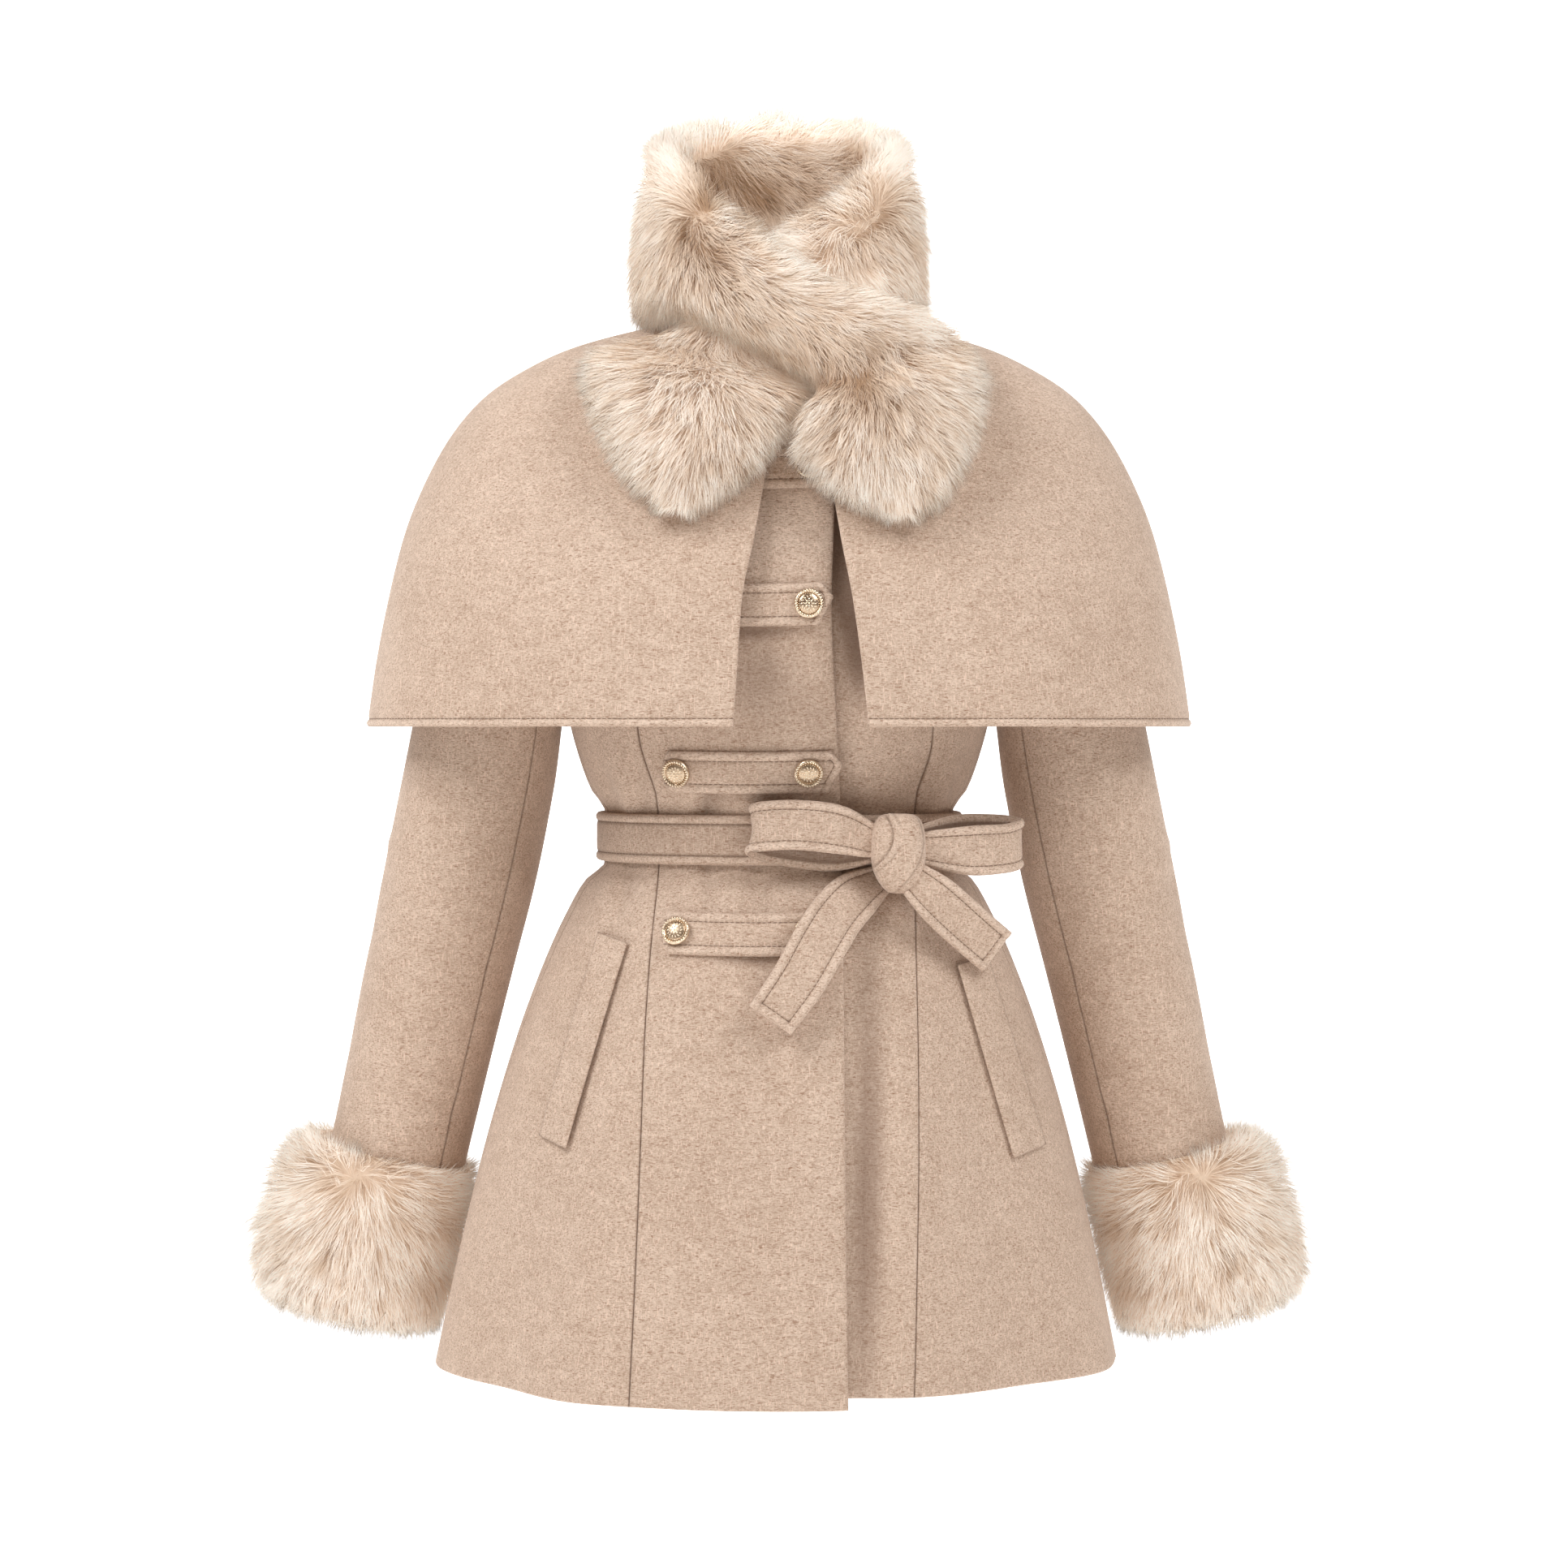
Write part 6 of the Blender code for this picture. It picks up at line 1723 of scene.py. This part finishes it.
def shape_button():
    """A turned gold button with a rope rim, a ring of leaves and a flower, lying flat at the origin."""
    bpy.ops.object.select_all(action="DESELECT")
    radius, height = BUTTON_PROFILE[0]
    foot = radius * BUTTON_RADIUS
    bpy.ops.mesh.primitive_circle_add(vertices=BUTTON_SIDES, radius=foot, fill_type="NGON")
    body = bpy.context.object
    bpy.ops.object.mode_set(mode="EDIT")
    bpy.ops.mesh.select_all(action="SELECT")
    for wider, higher in BUTTON_PROFILE[1:]:
        rise = (higher - height) * BUTTON_HEIGHT
        bpy.ops.mesh.extrude_region_move(TRANSFORM_OT_translate={"value": (0, 0, rise)})
        bpy.ops.transform.resize(value=(wider / radius, wider / radius, 1))
        radius = wider
        height = higher
    bpy.ops.mesh.select_all(action="SELECT")
    bpy.ops.mesh.normals_make_consistent(inside=False)
    bpy.ops.object.mode_set(mode="OBJECT")
    recess = body.data.attributes.new("recess", "FLOAT", "POINT")
    for vertex, value in zip(body.data.vertices, recess.data):
        on_face = vertex.co.xy.length < BUTTON_FACE * BUTTON_RADIUS
        value.value = FACE_HOLLOW if on_face else RIM_HOLLOW
    parts = [body]
    for kind in BUTTON_RELIEF:
        bpy.ops.object.select_all(action="DESELECT")
        bpy.ops.mesh.primitive_uv_sphere_add(segments=8, ring_count=5, radius=1.0)
        first = bpy.context.object
        first.scale = tuple(size * BUTTON_RADIUS for size in (kind.long, kind.wide, kind.swell))
        bpy.ops.object.transform_apply(location=False, rotation=False, scale=True)
        form = first.data
        for number in range(kind.count):
            part = first
            if number:
                part = bpy.data.objects.new("button_relief", form.copy())
                bpy.context.scene.collection.objects.link(part)
            way = 2 * math.pi * number / kind.count
            spin = Matrix.Rotation(way + math.radians(kind.turn), 4, "Z")
            spot = Vector((math.cos(way) * kind.out, math.sin(way) * kind.out, 0)) * BUTTON_RADIUS
            spot.z = kind.up * BUTTON_HEIGHT
            part.matrix_world = Matrix.Translation(spot) @ spin
            parts.append(part)
    bpy.ops.object.select_all(action="DESELECT")
    for part in parts:
        part.select_set(True)
    bpy.context.view_layer.objects.active = body
    bpy.ops.object.join()
    bpy.ops.object.transform_apply(location=True, rotation=True, scale=True)
    bpy.ops.object.shade_smooth_by_angle(angle=math.radians(50))
    return body


def make_buttons(finish):
    form = shape_button()
    spots = []
    for tab in TABS:
        spots.append((f"button_{tab.name}_left", BUTTON_LEFT_X, tab.z))
        if tab.far_button:
            spots.append((f"button_{tab.name}_right", BUTTON_RIGHT_X, tab.z))
    for node, x, z in spots:
        angle, level = BODY.front_spot(np.array([x]), np.array([z]))
        normal = BODY.outward(angle, level)[0]
        foot = BODY.points(angle, level)[0] + normal * (2 * LAY_GAP + TAB_CLOTH)
        side = unit(np.cross(np.array([0.0, 0.0, 1.0]), normal))
        up = np.cross(normal, side)
        axes = np.stack([side, up, normal], axis=1)
        place = Matrix([(*axis, at) for axis, at in zip(axes, foot)] + [(0, 0, 0, 1)])
        mesh = form.data.copy()
        mesh.name = f"{node}_gold"
        mesh.transform(place)
        mesh.materials.clear()
        mesh.materials.append(finish)
        button = bpy.data.objects.new(f"{node}_gold", mesh)
        bpy.context.scene.collection.objects.link(button)
        stand_for(button, node)
    bpy.data.objects.remove(form, do_unlink=True)


# Finishes
class Value:
    """A number, colour or direction from a node's output, which takes part in sums as a number does."""

    def __init__(self, finish, socket):
        self.finish = finish
        self.socket = socket

    def sum(self, operation, first, second):
        return self.finish.node("ShaderNodeMath", {"operation": operation}, {0: first, 1: second})

    def __add__(self, other):
        return self.sum("ADD", self, other)

    def __sub__(self, other):
        return self.sum("SUBTRACT", self, other)

    def __rsub__(self, other):
        return self.sum("SUBTRACT", other, self)

    def __mul__(self, other):
        return self.sum("MULTIPLY", self, other)

    __radd__ = __add__
    __rmul__ = __mul__

    def between(self, low, high):
        """Runs smoothly from 0 at low to 1 at high."""
        settings = {"interpolation_type": "SMOOTHSTEP"}
        return self.finish.node("ShaderNodeMapRange", settings, {0: self, 1: low, 2: high, 3: 0.0, 4: 1.0})


class Finish:
    """A material that is built up from nodes."""

    def __init__(self, name):
        self.material = bpy.data.materials.new(name)
        self.material.use_nodes = True
        self.tree = self.material.node_tree
        self.shader = self.tree.nodes["Principled BSDF"]

    def node(self, kind, settings, values, output=0):
        made = self.tree.nodes.new(kind)
        for key, value in settings.items():
            setattr(made, key, value)
        for key, value in values.items():
            if isinstance(value, Value):
                self.tree.links.new(value.socket, made.inputs[key])
            else:
                made.inputs[key].default_value = value
        return Value(self, made.outputs[output])

    def place(self):
        return self.node("ShaderNodeTexCoord", {}, {}, output="Object")

    def turned(self, where, rotation, scale):
        return self.node("ShaderNodeMapping", {}, {"Vector": where, "Rotation": rotation, "Scale": scale})

    def noise(self, where, scale, detail=2.0, rough=0.5):
        values = {"Vector": where, "Scale": scale, "Detail": detail, "Roughness": rough}
        return self.node("ShaderNodeTexNoise", {}, values)

    def attribute(self, name):
        return self.node("ShaderNodeAttribute", {"attribute_name": name}, {}, output="Fac")

    def mix(self, share, first, second):
        first, second = ((*c, 1.0) if isinstance(c, tuple) else c for c in (first, second))
        return self.node("ShaderNodeMix", {"data_type": "RGBA"}, {0: share, 6: first, 7: second}, output=2)

    def bump(self, height, strength, distance):
        values = {"Height": height, "Strength": strength, "Distance": distance}
        return self.node("ShaderNodeBump", {}, values)

    def finish(self, **values):
        """Sets the shader's own sockets, by their names with _ for a space."""
        for key, value in values.items():
            socket = self.shader.inputs[key.replace("_", " ")]
            if isinstance(value, Value):
                self.tree.links.new(value.socket, socket)
            else:
                socket.default_value = value
        return self.material


def shaded(colour, share):
    return tuple(min(channel * share, 1.0) for channel in colour)


def tinted(colour, *shares):
    return tuple(min(channel * share, 1.0) for channel, share in zip(colour, shares))


def wool_finish(colour):
    """Felted melange wool: light and dark fibres matted together, softly cloudy, with a matt nap,
    and the painted shade and painted light that each piece carries in its shade value.
    """
    wool = Finish("felted_wool")
    where = wool.place()
    lying = wool.turned(where, (0.0, 0.0, 0.0), (0.62, 0.62, 1.0))
    grain = wool.noise(lying, 860.0, 2.0, 0.6)
    flock = wool.noise(lying, 330.0, 2.0, 0.6)
    cloud = wool.noise(lying, 105.0, 3.0, 0.6)
    drift = wool.noise(where, 13.0, 2.0, 0.5)
    fibres = []
    for turn, squash in ((0.3, 0.24), (-0.4, 0.26), (1.0, 0.3)):
        line = wool.turned(where, (0.0, turn, 0.0), (squash, 0.5, 1.0))
        fibres.append(wool.noise(line, 1420.0, 1.0, 0.5).between(0.57, 0.66))
    dark = (fibres[0] + fibres[1] + fibres[2]) * 0.62
    crossing = wool.turned(where, (0.2, 2.2, 0.1), (1.0, 1.0, 0.15))
    light = wool.noise(crossing, 1250.0, 1.0, 0.5).between(0.57, 0.7)
    # The pieces' shade value: below zero painted shade, in grooves, seams, creases and shadows, and above
    # zero painted light, on rolls and ridges. groove is its painted shade and roll its painted light
    edge = wool.attribute("shade")
    groove = (0.0 - edge).between(0.1, 1.0)
    roll = edge.between(0.0, 0.6)
    tone = 0.5 + (grain - 0.5) * 1.5 + (flock - 0.5) * 0.8 + (cloud - 0.5) * 0.8 + (drift - 0.5) * 0.5
    base = wool.mix(tone + roll * 0.3, tinted(colour, 0.76, 0.7, 0.65), tinted(colour, 1.19, 1.21, 1.23))
    base = wool.mix(dark * 0.68, base, tinted(colour, 0.52, 0.38, 0.3))
    base = wool.mix(light * 0.5, base, tinted(colour, 1.4, 1.39, 1.42))
    # Painted shade: mixed towards a dark warm brown
    base = wool.mix(groove * 0.78, base, tinted(colour, 0.3, 0.23, 0.19))
    height = grain * 0.9 + fibres[0] * 0.3 - fibres[1] * 0.3 + cloud * 0.5
    return wool.finish(
        Base_Color=base,
        Roughness=0.86 + (grain - 0.5) * 0.2,
        Normal=wool.bump(height, 0.42, 0.0011),
        Sheen_Weight=0.28,
        Sheen_Roughness=0.55,
        Sheen_Tint=(1.0, 0.93, 0.86, 1.0),
        Specular_IOR_Level=0.2,
    )


def thread_finish(colour):
    """Dark sewing thread, with the light and shade of its twist."""
    thread = Finish("sewing_thread")
    where = thread.place()
    twist = thread.noise(where, 1500.0, 1.0, 0.5)
    return thread.finish(
        Base_Color=thread.mix(twist, shaded(colour, 0.75), shaded(colour, 1.1)),
        Roughness=0.7 + twist * 0.15,
        Normal=thread.bump(twist, 0.4, 0.0003),
        Sheen_Weight=0.1,
    )


def fur_finish(root, middle, tip):
    """Faux fur: brown at the roots, camel on the way, and cream at the tips. Its dark value darkens it,
    as brown roots and painted shade, and below zero lightens it as painted light. It gives off painted light
    of its own colour.
    """
    fur = Finish("faux_fur")
    where = fur.place()
    patch = fur.noise(where, 34.0, 2.0, 0.6)
    small = fur.noise(where, 160.0, 2.0, 0.6)
    tone = fur.attribute("tone")
    dark = fur.attribute("dark")
    along = fur.attribute("along")
    bright = along - dark * 0.72 + tone * 0.09 + (patch - 0.5) * 0.6 + (small - 0.5) * 0.36
    base = fur.mix(bright.between(-0.22, 0.42), root, middle)
    base = fur.mix(bright.between(0.32, 0.96), base, tip)
    # Painted light given off by the pile in its own colour, more where its dark value is below zero
    painted_glow = (0.0 - dark).between(-0.2, 0.8)
    return fur.finish(
        Base_Color=base,
        Roughness=0.62 + (small - 0.5) * 0.2,
        Emission_Color=fur.mix(0.38 + painted_glow * 0.62, (0.0, 0.0, 0.0), base),
        Emission_Strength=0.3,
        Sheen_Weight=0.35,
        Sheen_Roughness=0.5,
        Sheen_Tint=(*tinted(tip, 1.0, 0.86, 0.72), 1.0),
        Specular_IOR_Level=0.25,
    )


def gold_finish(colour):
    """Worn gold metal, darker in the hollows of its relief."""
    gold = Finish("gold_metal")
    where = gold.place()
    wear = gold.noise(where, 420.0, 3.0, 0.6)
    rub = gold.noise(where, 90.0, 2.0, 0.5)
    base = gold.mix(wear.between(0.35, 0.65), shaded(colour, 0.8), shaded(colour, 1.06))
    base = gold.mix(gold.attribute("recess") * 0.62, base, tinted(colour, 0.38, 0.27, 0.18))
    return gold.finish(
        Base_Color=base,
        Metallic=1.0,
        Roughness=0.22 + rub.between(0.35, 0.7) * 0.14,
        Normal=gold.bump(wear, 0.25, 0.0002),
    )


def finish_named(name, make, *colours):
    """A finish is made once, and taken from the file after that."""
    return bpy.data.materials.get(name) or make(*(tuple(colour) for colour in colours))


def wool_of(settings):
    return finish_named("felted_wool", wool_finish, settings.wool_colour)


def thread_of(settings):
    return finish_named("sewing_thread", thread_finish, settings.thread_colour)


def fur_of(settings):
    return finish_named("faux_fur", fur_finish, settings.fur_root, settings.fur_middle, settings.fur_tip)


# Studio
FLOOR_Z = -0.95
BACKDROP_Y = 3.2
SHEET_SIZE = 8.0
FLOOR_GLOW = 0.62
BACKDROP_GLOW = 0.9
WHITE = (1.0, 1.0, 1.0, 1.0)
SURROUND_COLOUR = (1.0, 0.89, 0.8, 1.0)
SOFTBOX_COLOUR = (0.92, 0.96, 1.0)
SOFTBOX_SIZE = 1.1
SOFTBOX_AIM = (0.0, 0.0, -0.3)
# Each softbox: its name, its place, and its share of the key light's power
SOFTBOXES = [
    ("key_softbox", (-1.3, -1.0, 1.15), 1.0),
    ("fill_softbox", (1.3, -1.0, 1.15), 0.7),
]
CAMERA_AT = (0.0034, -2.0, -0.277)
CAMERA_PITCH = 90 - 1.139
CAMERA_LENS = 66.54
CAMERA_SENSOR = 36.0


def add_softbox(name, at, watts):
    light = bpy.data.lights.new(name, "AREA")
    light.shape = "SQUARE"
    light.size = SOFTBOX_SIZE
    light.energy = watts
    light.color = SOFTBOX_COLOUR
    lamp = bpy.data.objects.new(name, light)
    lamp.location = at
    lamp.rotation_euler = (Vector(SOFTBOX_AIM) - Vector(at)).to_track_quat("-Z", "Y").to_euler()
    bpy.context.scene.collection.objects.link(lamp)


def make_studio(settings):
    scene = bpy.context.scene
    world = bpy.data.worlds.new("white_studio")
    world.use_nodes = True
    scene.world = world
    surround = world.node_tree.nodes["Background"]
    surround.inputs["Color"].default_value = SURROUND_COLOUR
    surround.inputs["Strength"].default_value = settings.surround
    paint = Finish("pale_floor")
    where = paint.place()
    white = paint.mix(paint.noise(where, 6.0), (0.83, 0.83, 0.83), (0.87, 0.87, 0.87))
    paint.finish(Base_Color=white, Roughness=0.9, Emission_Color=WHITE, Emission_Strength=FLOOR_GLOW)
    screen = Finish("lit_backdrop")
    grey = (0.85, 0.85, 0.85, 1.0)
    screen.finish(Base_Color=grey, Emission_Color=WHITE, Emission_Strength=BACKDROP_GLOW)
    for name, finish, place, tilt in (
        ("studio_floor", paint, (0, BACKDROP_Y - SHEET_SIZE / 2, FLOOR_Z), 0.0),
        ("studio_backdrop", screen, (0, BACKDROP_Y, FLOOR_Z + SHEET_SIZE / 2), 90.0),
    ):
        bpy.ops.object.select_all(action="DESELECT")
        rotation = (math.radians(tilt), 0, 0)
        bpy.ops.mesh.primitive_plane_add(size=SHEET_SIZE, location=place, rotation=rotation)
        sheet = bpy.context.object
        sheet.name = name
        sheet.data.materials.append(finish.material)
    for name, at, share in SOFTBOXES:
        add_softbox(name, at, settings.key_light * share)
    eye = bpy.data.cameras.new("photo_camera")
    eye.lens = CAMERA_LENS
    eye.sensor_width = CAMERA_SENSOR
    camera = bpy.data.objects.new("photo_camera", eye)
    camera.location = CAMERA_AT
    camera.rotation_euler = (math.radians(CAMERA_PITCH), 0.0, 0.0)
    scene.collection.objects.link(camera)
    scene.camera = camera
    scene.view_settings.view_transform = "Standard"


def colour_setting(name, description, default):
    return bpy.props.FloatVectorProperty(
        name=name, description=description, subtype="COLOR", size=3, min=0.0, max=1.0, default=default
    )


def length_setting(name, description, default, low, high):
    return bpy.props.FloatProperty(
        name=name, description=description, unit="LENGTH", precision=4, min=low, max=high, default=default
    )


def count_setting(name, description, default, high):
    return bpy.props.IntProperty(name=name, description=description, min=100, max=high, default=default)


def strength_setting(name, description, default, high, unit="NONE"):
    return bpy.props.FloatProperty(
        name=name, description=description, unit=unit, min=0.0, max=high, default=default
    )


class CoatSettings(bpy.types.PropertyGroup):
    """Colours and sizes of the coat that a user would change."""

    wool_colour: colour_setting("Wool", "Middle colour of the felted wool", (0.61, 0.464, 0.36))
    thread_colour: colour_setting("Thread", "Colour of the topstitching", (0.23, 0.145, 0.095))
    fur_root: colour_setting("Fur roots", "Colour of the pile at its roots", (0.46, 0.285, 0.17))
    fur_middle: colour_setting("Fur", "Colour of the pile half way up", (0.78, 0.615, 0.47))
    fur_tip: colour_setting("Fur tips", "Colour of the pile at its tips", (0.95, 0.875, 0.78))
    gold_colour: colour_setting("Buttons", "Colour of the gold buttons", (1.0, 0.82, 0.63))
    stitch_pitch: length_setting("Stitch", "From one stitch to the next", 0.0034, 0.002, 0.01)
    fur_length: length_setting("Pile", "Length of the fur's strands", 0.025, 0.008, 0.05)
    strand_width: length_setting("Strand", "Width of a strand near its root", 0.00047, 0.0003, 0.003)
    collar_strands: count_setting("Collar strands", "Strands in a stretch of the collar", 40800, 50000)
    cuff_strands: count_setting("Cuff strands", "Strands in each cuff", 37500, 60000)
    key_light: strength_setting("Key light", "Power of the main softbox", 35.0, 500.0, "POWER")
    surround: strength_setting("Surround", "Strength of the white surround", 0.29, 5.0)


class MakeBody(bpy.types.Operator):
    """Make the coat's front, side and back panels"""

    bl_idname = "coat.body"
    bl_label = "Body panels"

    def execute(self, context):
        make_body(wool_of(context.scene.coat))
        return {"FINISHED"}


class MakeCape(bpy.types.Operator):
    """Make the shoulder cape"""

    bl_idname = "coat.cape"
    bl_label = "Shoulder cape"

    def execute(self, context):
        settings = context.scene.coat
        make_cape(wool_of(settings), thread_of(settings), settings.stitch_pitch)
        return {"FINISHED"}


class MakeSleeves(bpy.types.Operator):
    """Make both sleeves"""

    bl_idname = "coat.sleeves"
    bl_label = "Sleeves"

    def execute(self, context):
        make_sleeves(wool_of(context.scene.coat))
        return {"FINISHED"}


class MakeBelt(bpy.types.Operator):
    """Make the belt with its bow"""

    bl_idname = "coat.belt"
    bl_label = "Belt and bow"

    def execute(self, context):
        settings = context.scene.coat
        make_belt(wool_of(settings), thread_of(settings), settings.stitch_pitch)
        return {"FINISHED"}


class MakeTabs(bpy.types.Operator):
    """Make the front tabs and the pocket welts"""

    bl_idname = "coat.tabs"
    bl_label = "Tabs and pocket welts"

    def execute(self, context):
        settings = context.scene.coat
        make_tabs(wool_of(settings), thread_of(settings), settings.stitch_pitch)
        return {"FINISHED"}


class MakeButtons(bpy.types.Operator):
    """Make the gold buttons"""

    bl_idname = "coat.buttons"
    bl_label = "Buttons"

    def execute(self, context):
        make_buttons(finish_named("gold_metal", gold_finish, context.scene.coat.gold_colour))
        return {"FINISHED"}


class MakeCollar(bpy.types.Operator):
    """Make the fur collar"""

    bl_idname = "coat.collar"
    bl_label = "Fur collar"

    def execute(self, context):
        settings = context.scene.coat
        make_collar(fur_of(settings), settings.collar_strands, settings.fur_length, settings.strand_width)
        return {"FINISHED"}


class MakeCuffs(bpy.types.Operator):
    """Make the fur cuffs"""

    bl_idname = "coat.cuffs"
    bl_label = "Fur cuffs"

    def execute(self, context):
        settings = context.scene.coat
        make_cuffs(fur_of(settings), settings.cuff_strands, settings.fur_length, settings.strand_width)
        return {"FINISHED"}


class MakeStudio(bpy.types.Operator):
    """Make the floor, the lights and the camera"""

    bl_idname = "coat.studio"
    bl_label = "Studio"

    def execute(self, context):
        make_studio(context.scene.coat)
        return {"FINISHED"}


OPERATORS = (
    MakeStudio,
    MakeBody,
    MakeCape,
    MakeSleeves,
    MakeBelt,
    MakeTabs,
    MakeButtons,
    MakeCollar,
    MakeCuffs,
)


class CoatPanel(bpy.types.Panel):
    """The coat's settings and the steps that make it"""

    bl_idname = "VIEW3D_PT_coat"
    bl_label = "Belted wool coat"
    bl_space_type = "VIEW_3D"
    bl_region_type = "UI"
    bl_category = "Coat"

    def draw(self, context):
        for name in CoatSettings.__annotations__:
            self.layout.prop(context.scene.coat, name)
        for operator in OPERATORS:
            self.layout.operator(operator.bl_idname)


CLASSES = (CoatSettings, *OPERATORS, CoatPanel)


def register():
    for kind in CLASSES:
        bpy.utils.register_class(kind)
    bpy.types.Scene.coat = bpy.props.PointerProperty(type=CoatSettings)


def unregister():
    del bpy.types.Scene.coat
    for kind in reversed(CLASSES):
        bpy.utils.unregister_class(kind)


def main():
    register()
    bpy.ops.coat.studio()
    bpy.ops.coat.body()
    bpy.ops.coat.cape()
    bpy.ops.coat.sleeves()
    bpy.ops.coat.belt()
    bpy.ops.coat.tabs()
    bpy.ops.coat.buttons()
    bpy.ops.coat.collar()
    bpy.ops.coat.cuffs()


if __name__ == "__main__":
    main()
